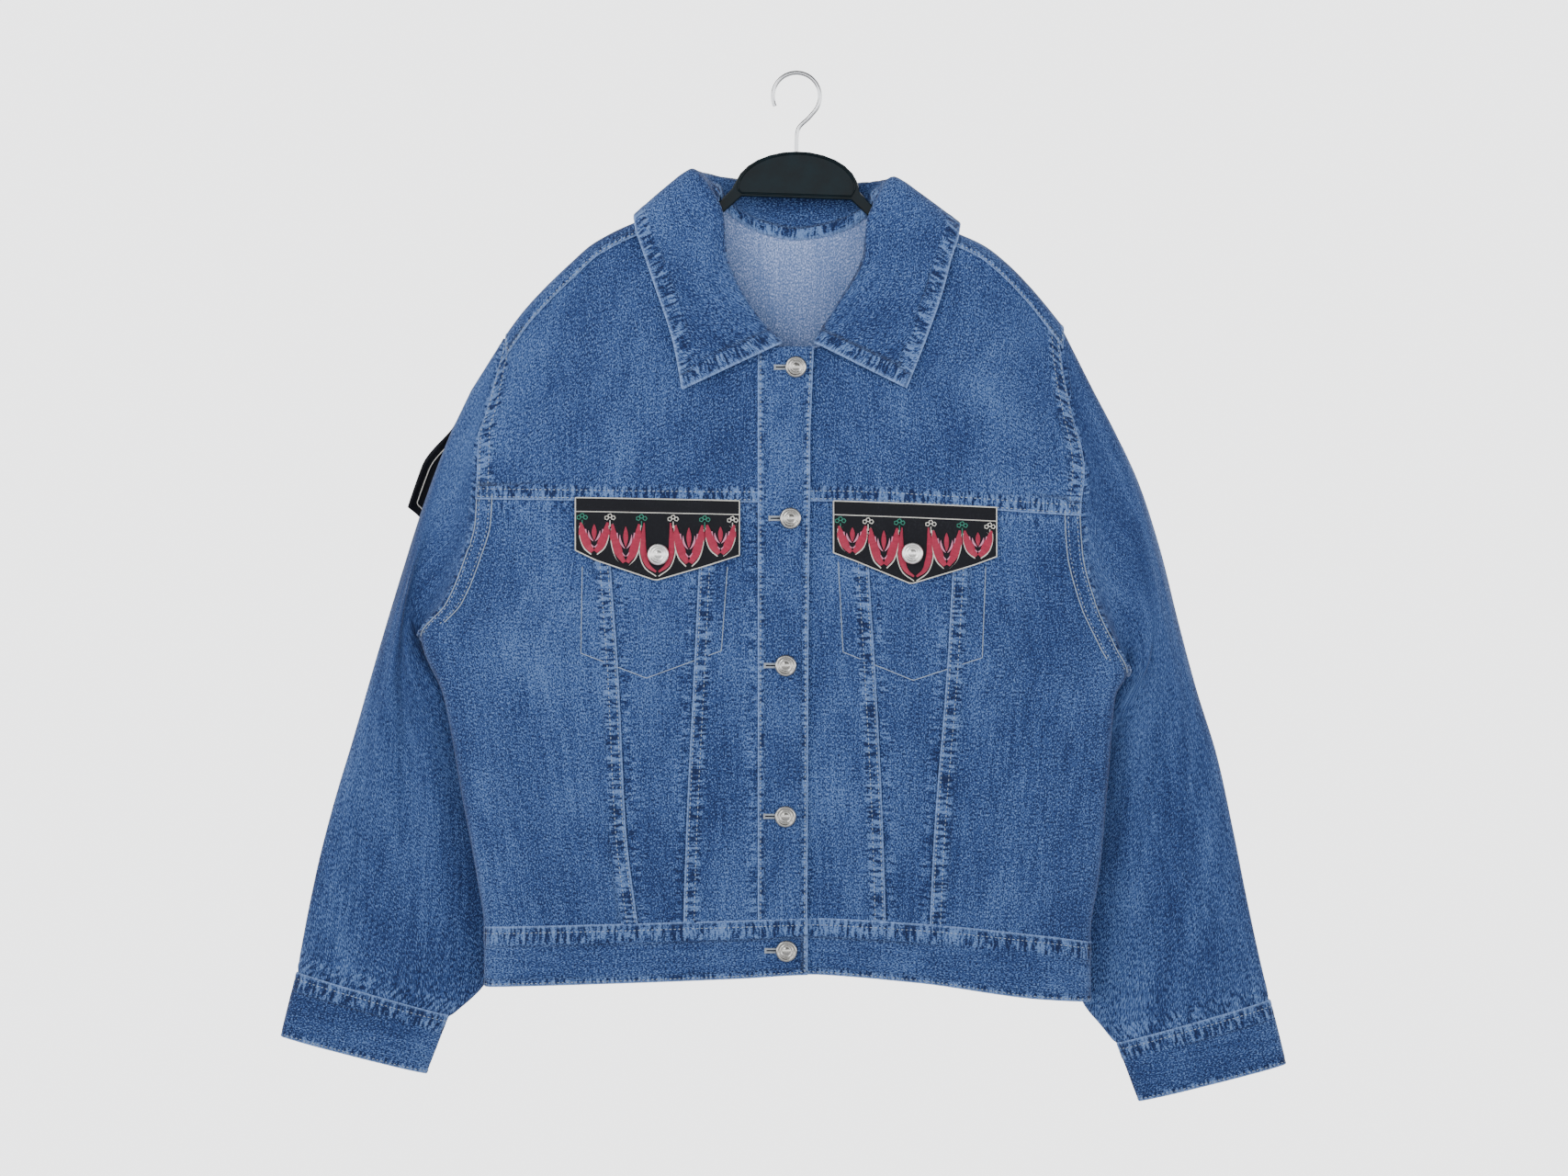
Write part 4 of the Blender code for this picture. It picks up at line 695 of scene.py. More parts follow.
def denim_material(name, dark, middle, pale):
    """Washed twill: streaky warp, fine speckle, faded fields, roping beside the seams and worn edges."""
    b = Build(name)
    cloth = b.attribute("cloth").outputs["Vector"]
    seam = b.attribute("seam").outputs["Vector"]
    worn = b.attribute("worn").outputs["Fac"]
    split = b.nodes.new("ShaderNodeSeparateXYZ")
    b.put(split.inputs[0], seam)
    speck = b.noise(b.scaled(cloth, (1.0, 0.58, 1.0)), 1.0, 2.0, 0.8)
    tone = b.math("MULTIPLY", speck, 2.2)
    for across, along, detail, rough, weight in WEAVE:
        layer = b.noise(b.scaled(cloth, (across, along, across)), 1.0, detail, rough)
        tone = b.math("MULTIPLY_ADD", layer, weight, tone)
    rope = b.noise(b.scaled(seam, (0.34, 0.075, 0.0)), 1.0, 2.5, 0.6, 0.4)
    puckers = b.math("MULTIPLY", b.remap(rope, 0.36, 0.64, -0.5, 0.62), split.outputs["Z"])
    tone = b.math("MULTIPLY_ADD", puckers, 0.62, tone)
    tone = b.remap(tone, 1.5, 1.86)
    faded = [lerp(m, p, 0.28) for m, p in zip(middle, pale)]
    colour = b.ramp(tone, (0.0, dark), (0.42, middle), (0.62, faded), (1.0, pale))
    frayed = b.noise(b.scaled(cloth, (0.9, 0.9, 0.9)), 1.0, 2.0, 0.6)
    worn = b.math("MULTIPLY", worn, b.remap(frayed, 0.3, 0.56, 0.25, 1.0), clamp=True)
    bare = [min(1.0, p * 1.55 + 0.04) for p in pale]
    b.put(b.shader.inputs["Base Color"], b.mix(worn, colour, (*bare, 1.0)))
    b.shader.inputs["Roughness"].default_value = 0.86
    b.shader.inputs["Specular IOR Level"].default_value = 0.25
    b.shader.inputs["Sheen Weight"].default_value = 0.12
    b.shader.inputs["Sheen Roughness"].default_value = 0.5
    twill = b.nodes.new("ShaderNodeVectorRotate")
    b.put(twill.inputs["Vector"], cloth)
    twill.inputs["Axis"].default_value = (0, 0, 1)
    twill.inputs["Angle"].default_value = TWILL_ANGLE
    lines = b.wave(twill.outputs[0], 0.3, "X", 0.6)
    weave = b.math("MULTIPLY_ADD", lines, 0.35, b.math("MULTIPLY", speck, 0.8))
    first = b.bump(weave, 0.34, 0.0005)
    b.put(b.shader.inputs["Normal"], b.bump(puckers, 0.75, 0.0011, first))
    return b.material


def sateen_material(name, colour, pale):
    """Black close-woven cloth with fine cross threads; painted shade and painted sheen patch its colour at
    random.
    """
    b = Build(name)
    cloth = b.attribute("cloth").outputs["Vector"]
    worn = b.attribute("worn").outputs["Fac"]
    fine = b.noise(b.scaled(cloth, (0.9, 0.5, 0.9)), 1.0, 2.0, 0.6)
    soft = b.noise(b.scaled(cloth, (0.03, 0.03, 0.03)), 1.0, 2.0, 0.5)
    tone = b.math("MULTIPLY_ADD", fine, 0.6, b.math("MULTIPLY", soft, 0.5))
    tone = b.remap(tone, 0.35, 0.8)
    # Shaded and lit copies of the black, spread by the noise: painted shade and painted sheen
    shade, painted_highlight = [c * 0.7 for c in colour], [c * 2.1 + 0.006 for c in colour]
    base = b.ramp(tone, (0.0, shade), (0.6, colour), (1.0, painted_highlight))
    b.put(b.shader.inputs["Base Color"], b.mix(worn, base, (*pale, 1.0)))
    b.shader.inputs["Roughness"].default_value = 0.66
    b.shader.inputs["Specular IOR Level"].default_value = 0.18
    b.shader.inputs["Sheen Weight"].default_value = 0.03
    b.put(b.shader.inputs["Normal"], b.bump(fine, 0.35, 0.0004))
    return b.material


def thread_material(name, colour, shine=0.45, across=0.85):
    """Silky floss or sewing thread: uneven dye, painted shade between its strands, a painted highlight on
    each.
    """
    b = Build(name)
    thread = b.attribute("thread").outputs["Vector"]
    strands = b.wave(thread, across, "X", 0.5)
    uneven = b.noise(b.scaled(thread, (0.5, 0.2, 0.5)), 1.0, 2.0, 0.6)
    tone = b.math("MULTIPLY_ADD", strands, 0.55, b.math("MULTIPLY", uneven, 0.6))
    tone = b.remap(tone, 0.2, 0.95)
    # Shaded and lit copies of the thread's colour laid across the strands: painted shade and painted
    # highlight
    shade, painted_highlight = [c * 0.5 for c in colour], [min(1.0, c * 1.35 + 0.02) for c in colour]
    base = b.ramp(tone, (0.0, shade), (0.55, colour), (1.0, painted_highlight))
    b.put(b.shader.inputs["Base Color"], base)
    b.shader.inputs["Roughness"].default_value = shine
    b.shader.inputs["Sheen Weight"].default_value = 0.2
    b.put(b.shader.inputs["Normal"], b.bump(strands, 0.5, 0.0004))
    return b.material


def metal_material(name, colour, rough, speckle):
    """Metal with a fine grain in its colour and roughness."""
    b = Build(name)
    place = b.nodes.new("ShaderNodeTexCoord").outputs["Object"]
    grain = b.noise(b.scaled(place, (speckle, speckle, speckle)), 1.0, 3.0, 0.6)
    b.put(b.shader.inputs["Base Color"], b.ramp(grain, (0.25, [c * 0.8 for c in colour]), (0.7, colour)))
    b.shader.inputs["Metallic"].default_value = 1.0
    b.put(b.shader.inputs["Roughness"], b.remap(grain, 0.3, 0.7, rough * 0.8, rough * 1.3))
    b.put(b.shader.inputs["Normal"], b.bump(grain, 0.12, 0.0002))
    return b.material


def plastic_material(name, colour):
    """Moulded plastic with an uneven roughness; painted shade and painted sheen patch its colour."""
    b = Build(name)
    place = b.nodes.new("ShaderNodeTexCoord").outputs["Object"]
    mould = b.noise(b.scaled(place, (60, 60, 60)), 1.0, 3.0, 0.5)
    fine = b.noise(b.scaled(place, (900, 900, 900)), 1.0, 2.0, 0.5)
    # Shaded and lit copies of the plastic's colour, spread by the mould noise: painted shade and painted
    # sheen
    shade, painted_highlight = [c * 0.7 for c in colour], [c * 1.5 for c in colour]
    b.put(b.shader.inputs["Base Color"], b.ramp(mould, (0.3, shade), (0.75, painted_highlight)))
    b.put(b.shader.inputs["Roughness"], b.remap(mould, 0.3, 0.7, 0.12, 0.24))
    b.shader.inputs["Specular IOR Level"].default_value = 0.1
    b.put(b.shader.inputs["Normal"], b.bump(fine, 0.05, 0.0003))
    return b.material


THREADS = {
    "crimson": (0.4, 0.008, 0.05),
    "wine": (0.16, 0.006, 0.03),
    "pink": (0.72, 0.27, 0.42),
    "turquoise": (0.075, 0.47, 0.56),
    "gold": (0.66, 0.38, 0.055),
    "mauve": (0.13, 0.085, 0.14),
    "teal": (0.012, 0.23, 0.15),
    "white": (0.78, 0.75, 0.68),
    "tan": (0.5, 0.31, 0.16),
    "sky": (0.3, 0.62, 0.68),
}
FINISH = {}


def finish(name):
    """The named finish, made once."""
    if name not in FINISH:
        look = bpy.context.scene.jacket_look
        if name == "denim":
            FINISH[name] = denim_material(name, look.denim_dark, look.denim_middle, look.denim_pale)
        elif name == "denim_inside":
            FINISH[name] = denim_material(name, *DENIM_INSIDE)
        elif name == "sateen":
            FINISH[name] = sateen_material(name, (0.0045, 0.005, 0.0085), (0.55, 0.54, 0.52))
        elif name == "seam_thread":
            FINISH[name] = thread_material(name, look.seam_thread, MATT_THREAD)
        elif name == "buttonhole_thread":
            FINISH[name] = thread_material(name, (0.36, 0.4, 0.46), MATT_THREAD)
        elif name in METALS:
            FINISH[name] = metal_material(name, *METALS[name])
        elif name == "hanger_plastic":
            FINISH[name] = plastic_material(name, look.hanger_colour)
        else:
            FINISH[name] = thread_material(name, THREADS[name])
    return FINISH[name]


class JacketLook(bpy.types.PropertyGroup):
    """Colours and sizes that a user would change."""

    denim_dark: FloatVectorProperty(
        name="Dark denim", description="Colour of the unfaded denim", subtype="COLOR",
        default=(0.004, 0.013, 0.06), min=0.0, max=1.0,
    )
    denim_middle: FloatVectorProperty(
        name="Denim", description="Main colour of the denim", subtype="COLOR", default=(0.0145, 0.049, 0.19),
        min=0.0, max=1.0,
    )
    denim_pale: FloatVectorProperty(
        name="Faded denim", description="Colour where the denim is worn", subtype="COLOR",
        default=(0.13, 0.225, 0.46), min=0.0, max=1.0,
    )
    seam_thread: FloatVectorProperty(
        name="Seam thread", description="Colour of the seams' sewing thread", subtype="COLOR",
        default=(0.36, 0.44, 0.55), min=0.0, max=1.0,
    )
    hanger_colour: FloatVectorProperty(
        name="Hanger", description="Colour of the hanger's plastic", subtype="COLOR",
        default=(0.0025, 0.0075, 0.0105), min=0.0, max=1.0,
    )
    pitch: FloatProperty(
        name="Cloth mesh pitch", description="Distance between the mesh points of the cloth, in millimetres",
        default=3.4, min=2.0, max=12.0,
    )
    stitch_length: FloatProperty(
        name="Stitch", description="Length of one stitch with its gap, in millimetres", default=3.6,
        min=2.0, max=8.0,
    )
    stitch_width: FloatProperty(
        name="Thread width", description="Width of a stitch, in millimetres", default=0.8, min=0.3, max=2.0
    )
    seed: IntProperty(name="Seed", description="Start number for the uneven stitches", default=7, min=0)


# Meshes

def mesh_object(name, verts, faces, materials, smooth=True):
    mesh = bpy.data.meshes.new(name)
    mesh.from_pydata([tuple(v) for v in verts], [], faces)
    mesh.validate(clean_customdata=False)
    for material in materials:
        mesh.materials.append(material)
    if smooth:
        mesh.shade_smooth()
    piece = bpy.data.objects.new(name, mesh)
    bpy.context.scene.collection.objects.link(piece)
    return piece


def settle(piece, slot, *nodes):
    """Rides the piece on the jacket and hides the frame's parts that it stands in for. slot is not used."""
    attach(piece, "root")
    if nodes:
        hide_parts(*nodes)
    return piece


def set_attribute(mesh, name, kind, values):
    layer = mesh.attributes.new(name, kind, "POINT")
    field = "vector" if kind == "FLOAT_VECTOR" else "value"
    layer.data.foreach_set(field, np.asarray(values, np.float32).ravel())


def cloth_grid(name, points, cloth, seam=None, worn=None, wall=1.4, joined=False, turned=False,
               outside="denim", inside="denim_inside", offset=-1.0):
    """A cloth piece from a grid of points in mm, with the fields that its finish reads."""
    rows, columns = points.shape[:2]
    last = columns - 1 if joined else columns
    index = np.arange(rows * last).reshape(rows, last)
    right = np.roll(index, -1, axis=1) if joined else index[:, 1:]
    left = index if joined else index[:, :-1]
    quads = np.stack((left[:-1], left[1:], right[1:], right[:-1]), -1).reshape(-1, 4)
    if turned:
        quads = quads[:, ::-1]
    verts = points[:, :last].reshape(-1, 3) * MM
    piece = mesh_object(name, verts, quads.tolist(), [finish(outside), finish(inside)])
    mesh = piece.data
    seam = np.zeros(points.shape) if seam is None else seam
    worn = np.zeros(points.shape[:2]) if worn is None else worn
    set_attribute(mesh, "cloth", "FLOAT_VECTOR", cloth[:, :last])
    set_attribute(mesh, "seam", "FLOAT_VECTOR", seam[:, :last])
    set_attribute(mesh, "worn", "FLOAT", worn[:, :last])
    solid = piece.modifiers.new("Wall", "SOLIDIFY")
    solid.thickness = wall * MM
    solid.offset = offset
    solid.material_offset = 1
    solid.material_offset_rim = 0
    return piece


def grain(points, turn=False, seed=0.0):
    """Cloth coordinates in mm for a grid: along its rows and down its columns, or turned on the cross."""
    across = lengths(points, 1)
    down = lengths(points, 0)
    u = across - across[:, across.shape[1] // 2][:, None]
    if turn:
        u, down = down, u
    return np.stack((u + seed * 37.0, down + seed * 91.0, np.full_like(u, seed * 13.0)), -1)


# The stitch rows and pipings of each group so far: vertices, faces and thread coordinates
STITCHES = {}


def stitch_row(group, path, out):
    """Adds a row of stitches along a path of points in mm that lies on cloth facing out."""
    look = bpy.context.scene.jacket_look
    verts, faces, threads = STITCHES.setdefault(group, ([], [], []))
    rng = random.Random(look.seed + len(verts))
    path, out = np.asarray(path, float), np.asarray(out, float)
    run = lengths(path, 0)
    count = max(1, int(run[-1] / look.stitch_length))
    marks = np.linspace(0, run[-1], count + 1)
    half = look.stitch_width / 2
    for first, second in zip(marks, marks[1:]):
        gap = STITCH_GAP * (second - first)
        a, c = (at_length(run, path, mark) for mark in (first + gap, second - gap))
        n = unit(at_length(run, out, (first + second) / 2))
        along = c - a
        long = np.linalg.norm(along)
        if long < SHORTEST_STITCH:
            continue
        side = np.cross(n, along / long)
        middle = (a + c) / 2 + side * rng.uniform(-STITCH_WAVER, STITCH_WAVER)
        base = len(verts)
        verts.extend((
            a - n * 0.1, middle - side * half + n * 0.12, middle + n * (0.5 + half * 0.3),
            middle + side * half + n * 0.12, c - n * 0.1,
        ))
        faces.extend((
            (base, base + 1, base + 2), (base, base + 2, base + 3), (base + 4, base + 2, base + 1),
            (base + 4, base + 3, base + 2),
        ))
        threads.extend((
            (0, 0, base), (long / 2, 0, base), (long / 2, 0.5, base), (long / 2, 1, base), (long, 0, base),
        ))


def make_stitches(group, colour="seam_thread"):
    """The mesh of all the stitch rows gathered under one name."""
    if group not in STITCHES:
        return None
    verts, faces, threads = STITCHES.pop(group)
    piece = mesh_object(group, np.array(verts) * MM, faces, [finish(colour)])
    set_attribute(piece.data, "thread", "FLOAT_VECTOR", np.array(threads) % 500)
    return settle(piece, "denim")


def inset_row(points, out, side, distance, trim=0.0):
    """The path that runs beside one edge of a grid, distance mm in, with its outward directions."""
    if side in ("top", "bottom"):
        points, out = points.transpose(1, 0, 2), out.transpose(1, 0, 2)
    if side in ("right", "bottom"):
        points, out = points[:, ::-1], out[:, ::-1]
    across = lengths(points, 1)
    path, facing = (
        np.array([at_length(run, row, distance) for run, row in zip(across, grid)]) for grid in (points, out)
    )
    if trim:
        total = lengths(path, 0)
        keep = (total >= trim) & (total <= total[-1] - trim)
        path, facing = path[keep], facing[keep]
    return path, facing


def stitch_rows(kind, width):
    """How far in from a sewn edge its rows of stitches run."""
    return {"tuck": (), "lap": (2.6, width - 2.2), "hem": (2.6,), "rope": (5.8,)}[kind]


def dress(name, node, points, edges=None, group=None, seed=0.0, wall=1.4, turned=False, outside="denim",
          slot="denim", turn=False, inside="denim_inside", relief=None, offset=-1.0):
    """Turns a grid into sewn cloth and gives back its points, shaped by their seams.

    edges gives each side's kind and the width of its sewn band, in mm.
    lap: a folded edge on top, felled with two rows of stitches. tuck: lies under its neighbour.
    hem: a folded edge with one row of stitches. rope: a hem whose cloth has shrunk to cross ridges.
    """
    edges = edges or {}
    out = -normals(points) if turned else normals(points)
    across, down = lengths(points, 1), lengths(points, 0)
    away = {
        "left": (across, down[:, :1]), "right": (across[:, -1:] - across, down[:, -1:]),
        "top": (down, across[:1]), "bottom": (down[-1:] - down, across[-1:]),
    }
    height = np.zeros(points.shape[:2]) if relief is None else relief
    seam = np.zeros(points.shape)
    worn = np.zeros(points.shape[:2])
    for side, (kind, width) in edges.items():
        distance, run = away[side]
        if kind == "tuck":
            height = height - 1.5 * (1 - ease((distance - width) / 2.5))
            band = 0.55 * np.exp(-(((distance - width - 5) / 4.5) ** 2)) * (distance > width)
        else:
            height = height + EDGE_LIFT[kind] * (1 - ease((distance - width + 0.6) / 1.6))
            height = height - 0.85 * clip(1 - distance / 1.5) ** 2
            for row in stitch_rows(kind, width):
                height = height - 0.28 * np.exp(-(((distance - row) / 0.8) ** 2))
            worn = np.maximum(worn, np.exp(-((distance / 1.15) ** 2)))
            band = 1 - ease((distance - width) / 3.5)
        field = np.stack(np.broadcast_arrays(run + seed * 50, distance, band), -1)
        seam = np.where((band > seam[..., 2])[..., None], field, seam)
    ridges = np.sin(seam[..., 0] / 0.95 + 1.7 * np.sin(seam[..., 0] / 9.0 + seed))
    height = height + 0.32 * seam[..., 2] * ridges
    shaped = points + out * height[..., None]
    for side, (kind, width) in edges.items():
        for row in stitch_rows(kind, width):
            path, facing = inset_row(shaped, out, side, row, 1.5)
            if len(path) > 2:
                stitch_row(group, path, facing)
    made = cloth_grid(name, shaped, grain(points, turn, seed), seam, worn, wall, False, turned, outside,
                      inside, offset)
    settle(made, slot, node)
    return shaped


def patch_grid(front, patch, us, vs, height=0.0):
    """Points that stand height over the body for a patch in (x, drop). On the back, u runs towards -x."""
    u, v = np.meshgrid(us, vs)
    x, drop = patch(u, v)
    return on_body(front, x, drop, resolve(height, x, drop)), x, drop


def ridge_rows(length, pitch, end):
    """Rows that start on the shoulder line, with close steps where the cloth turns over it."""
    marks = [0.0, 0.02, 0.25, 0.8, 1.7, 3.0, 4.6, 6.5, 8.8, 11.5]
    rest = spaced(length - marks[-1], pitch, False, end) * (length - marks[-1]) + marks[-1]
    return np.array(marks + list(rest[1:])) / length


def right_dip(x):
    """How far the wearer's left front dips to pass under the placket."""
    return -2.9 * ease((44 - x) / 26)


def placket_dip(x, drop):
    return right_dip(x)


def yoke_dip(x, drop):
    """The same dip, which grows in below the neck."""
    return right_dip(x) * clip((drop - 175) / 40)


def pitch():
    return bpy.context.scene.jacket_look.pitch


# The front of the body

def front_yokes():
    seam = YOKE_SEAM.rule("drop", 5.5)
    for side, hand in SIDES:
        neck_line = NECK[side]
        middle_x = -28.5 if side == -1 else 3.0

        def neck_x(drop, neck_line=neck_line, middle_x=middle_x):
            return np.where(drop < neck_line.keys[-1], neck_line.at("x", drop), middle_x)

        arm_x = SIDE[side].rule("seam")
        arm = down_edge(arm_x, ARMPIT[side][0], float(seam(arm_x(YOKE_LEVEL))))
        neck = down_edge(neck_x, neck_line.keys[0], float(seam(middle_x)))
        patch = body_patch(*((arm, neck) if side == -1 else (neck, arm)), RIDGE.rule("drop"), seam)
        us = spaced(205, pitch(), start=side == -1, end=side == 1)
        height = yoke_dip if side == 1 else 0.0
        points = patch_grid(1, patch, us, ridge_rows(205, pitch(), True), height)[0]
        edges = {"bottom": ("lap", 11.0), "left" if side == -1 else "right": ("lap", 12.5)}
        dress("front_yoke_" + hand, "yoke_front_" + hand, points, edges, "stitches_front", seed=1.0 + side)


# Each lower front's side, and the seam and kind of its left and right edges. No seam is the armhole's side
LOWER_FRONTS = (
    ("front_side_right", -1, (None, "lap"), ("outer_left", "lap")),
    ("front_middle_right", -1, ("outer_left", "tuck"), ("inner_left", "tuck")),
    ("front_inner_right", -1, ("inner_left", "lap"), ("placket_left", "tuck")),
    ("front_inner_left", 1, ("under_edge", "tuck"), ("inner_right", "lap")),
    ("front_middle_left", 1, ("inner_right", "tuck"), ("outer_right", "tuck")),
    ("front_side_left", 1, ("outer_right", "lap"), (None, "lap")),
)


def lower_fronts():
    top, low = YOKE_SEAM.rule("drop", -2.0), WAIST.rule("top", 3.0)
    for number, (name, side, *joins) in enumerate(LOWER_FRONTS):
        rules, ends = [], []
        edges = {"top": ("tuck", 7.0)}
        for way, place, (seam, kind) in zip((-1, 1), ("left", "right"), joins):
            more = way * TUCK if kind == "tuck" else 0.0
            x = FRONT_SEAMS.rule(seam, more) if seam else SIDE[way].rule("seam", more)
            rules.append(x)
            ends.append(down_edge(x, float(top(x(YOKE_LEVEL))), float(low(x(WAIST_LEVEL)))))
            if seam:
                tuck = PLACKET_TUCK if seam in ("placket_left", "under_edge") else TUCK
                edges[place] = (kind, 11.0 if kind == "lap" else tuck)
        width = float(rules[1](500.0) - rules[0](500.0))
        us, vs = spaced(width, pitch(), True, True), spaced(345, pitch(), True, False)
        height = placket_dip if side == 1 else 0.0
        points, x, drop = patch_grid(1, body_patch(*ends, top, low), us, vs, height)
        relief = arm_band(side, points, x, drop, "stitches_front") if len(edges) < 3 else None
        dress(name, name, points, edges, "stitches_front", seed=3.0 + number, relief=relief)


def arm_band(side, points, x, drop, group):
    """The height of the felled band that a side panel carries beside the armhole."""
    seam = SIDE[side].rule("seam")
    top, armpit = ARMPIT[side]
    distance = np.abs(x - seam(drop)) / ARM_SLANT
    over = ease((armpit - 2 - drop) / 14)
    band = (1 - ease((distance - 11.9) / 1.6)) * over
    height = 0.95 * band - 0.85 * clip(1 - distance / 1.5) ** 2 * over
    front = -1 if points[..., 1].mean() > 0 else 1
    start = max(float(drop.min()) + 3, top + 6)
    for inset, sewn in ((0.9, False), (2.9, True), (10.1, True), (12.2, False)):
        drops = np.linspace(start, min(float(drop.max()) - 3, armpit - inset), 60)
        xs = seam(drops) - side * inset * ARM_SLANT
        path = on_body(front, xs, drops, 0.9 if sewn else 0.7)
        facing = path - on_body(front, xs, drops, 0.0)
        if sewn:
            stitch_row(group, path, facing)
        else:
            edge_cord(group, path, facing, 0.4)
    return height


def plackets():
    def free_x(drop):
        return FRONT_SEAMS.at("free_edge", drop) + 3.0 * clip((290 - drop) / 70)

    start, low = PLACKET_TOP - 2, WAIST.rule("top", 3)
    left = down_edge(PLACKET_LEFT, start, float(low(PLACKET_LEFT)))
    free = down_edge(free_x, start, float(low(9)))
    us, vs = spaced(41, 2.6, True, True), spaced(459, pitch())
    points = patch_grid(1, body_patch(left, free, start, low), us, vs, 0.9)[0]
    edges = {"left": HEM, "right": HEM}
    dress("placket", "placket_over", points, edges, "stitches_front", seed=11.0, wall=2.2)
    start, low = PLACKET_TOP + 2, WAIST.rule("top", -1)
    left, right = down_edge(-26.0, start, float(low(-26))), down_edge(4.0, start, float(low(3)))
    points = patch_grid(1, body_patch(left, right, start, low), spaced(30, 6), spaced(455, 8), -2.7)[0]
    dress("placket_backing", "placket_under", points, seed=12.0, wall=2.0)


def hem_of(front, column, more=0.0):
    """The waistband's edge as a rule of x. It hangs a little lower on the back."""
    def at(x):
        level = WAIST.at(column, x)
        if front == -1:
            level = level + BACK_HEM_DROP * (1 - clip(np.abs(x - BACK_CENTRE) / 244) ** 2)
        return level + more

    return at


def waistbands():
    left_x = float(SIDE[-1].at("seam", 700))
    right_x = float(SIDE[1].at("seam", 710))

    def lift_right(x, drop):
        return 0.9 * clip((x - left_x) / 12) + 0.3 * clip((x + 50) / 20)

    def lift_left(x, drop):
        return 0.9 * clip((right_x - x) / 12) - 3.8 * clip((40 - x) / 26)

    def lift_back(x, drop):
        return 0.9 * clip(np.minimum(x - left_x, right_x - x) / 12)

    pieces = (
        ("waistband_right", "waistband_front_right", 1, left_x, 9.0, lift_right),
        ("waistband_left", "waistband_front_left", 1, -24.0, right_x, lift_left),
        ("waistband_rear", "waistband_back", -1, right_x, left_x, lift_back),
    )
    for number, (name, node, front, start_x, end_x, lift) in enumerate(pieces):
        upper, lower = hem_of(front, "top", -0.5), hem_of(front, "hem")
        ends = [down_edge(x, float(upper(x)), float(lower(x))) for x in (start_x, end_x)]
        at_side = [x in (left_x, right_x) for x in (start_x, end_x)]
        us, vs = spaced(abs(end_x - start_x), pitch(), *at_side), spaced(48, 2.7, True, True)
        points, x, drop = patch_grid(front, body_patch(*ends, upper, lower), us, vs, lift)
        inside = np.minimum(x - SIDE[-1].at("seam", drop), SIDE[1].at("seam", drop) - x)
        points[..., 1] -= front * 0.3 * clip(1 - inside / 6)
        edges = {"top": ROPE, "bottom": HEM}
        edges.update({place: HEM for place, sewn_on in zip(("left", "right"), at_side) if not sewn_on})
        dress(name, node, points, edges, "stitches_waist", seed=14.0 + number, wall=BAND_WALL, turn=True)


# The back of the body

def back_yoke():
    seam = BACK_YOKE_DROP + 4.0
    ends = [down_edge(SIDE[side].rule("seam"), ARMPIT[side][0], seam) for side in (1, -1)]

    def top_of(x):
        return np.where(np.abs(x) < NECK_HALF, NECK_BACK.at("drop", x), RIDGE.at("drop", x))

    start, end = (float(edge(0.0)[0]) for edge in ends)
    us = np.concatenate((
        spaced(start - NECK_HALF, pitch(), True, False) * (start - NECK_HALF),
        (start - NECK_HALF) + spaced(2 * NECK_HALF, pitch(), True, True)[1:] * 2 * NECK_HALF,
        (start + NECK_HALF) + spaced(-NECK_HALF - end, pitch(), False, True)[1:] * (-NECK_HALF - end),
    )) / (start - end)
    vs = ridge_rows(seam - 105, pitch(), False)
    points, x, drop = patch_grid(-1, body_patch(*ends, top_of, seam), us, vs)
    relief = np.zeros(x.shape)
    for side in (-1, 1):
        band = arm_band(side, points, x, drop, "stitches_back")
        relief = relief + np.where(x * side > 100, band, 0.0)
    dress("rear_yoke", "yoke_back", points, seed=21.0, relief=relief)


def lower_back():
    left_x = BACK_CENTRE - BACK_PANEL_HALF
    right_x = BACK_CENTRE + BACK_PANEL_HALF
    start, low = BACK_YOKE_DROP - 2.0, hem_of(-1, "top", 3)
    for number, (side, name, inner_x) in enumerate(((1, "left", right_x), (-1, "right", left_x))):
        outer = down_edge(SIDE[side].rule("seam"), start, float(low(side * 245.0)))
        inner = down_edge(inner_x, start, float(low(inner_x)))
        patch = body_patch(*((outer, inner) if side == 1 else (inner, outer)), start, low)
        points, x, drop = patch_grid(-1, patch, spaced(98, pitch(), True, True), spaced(450, pitch()))
        relief = arm_band(side, points, x, drop, "stitches_back")
        sewn = {"right" if side == 1 else "left": ("lap", 10.0)}
        node = "back_side_" + name
        dress("rear_" + node, node, points, sewn, "stitches_back", seed=23.0 + number, relief=relief)
    ends = [down_edge(x, start, float(low(x))) for x in (right_x + TUCK, left_x - TUCK)]
    us, vs = spaced(306, 4.2, True, True), spaced(450, 4.2)
    points = patch_grid(-1, body_patch(*ends, start, low), us, vs)[0]
    sewn = {"left": ("tuck", TUCK), "right": ("tuck", TUCK)}
    dress("rear_panel", "back_panel", points, sewn, seed=26.0, **BLACK)


# Sleeves, cuffs and collar

def round_shares(count):
    """Shares that crowd towards both ends, where a flattened tube turns."""
    even = np.linspace(0, 1, count + 1)
    return lerp(even, 0.5 * (1 - np.cos(math.pi * even)), 0.85)


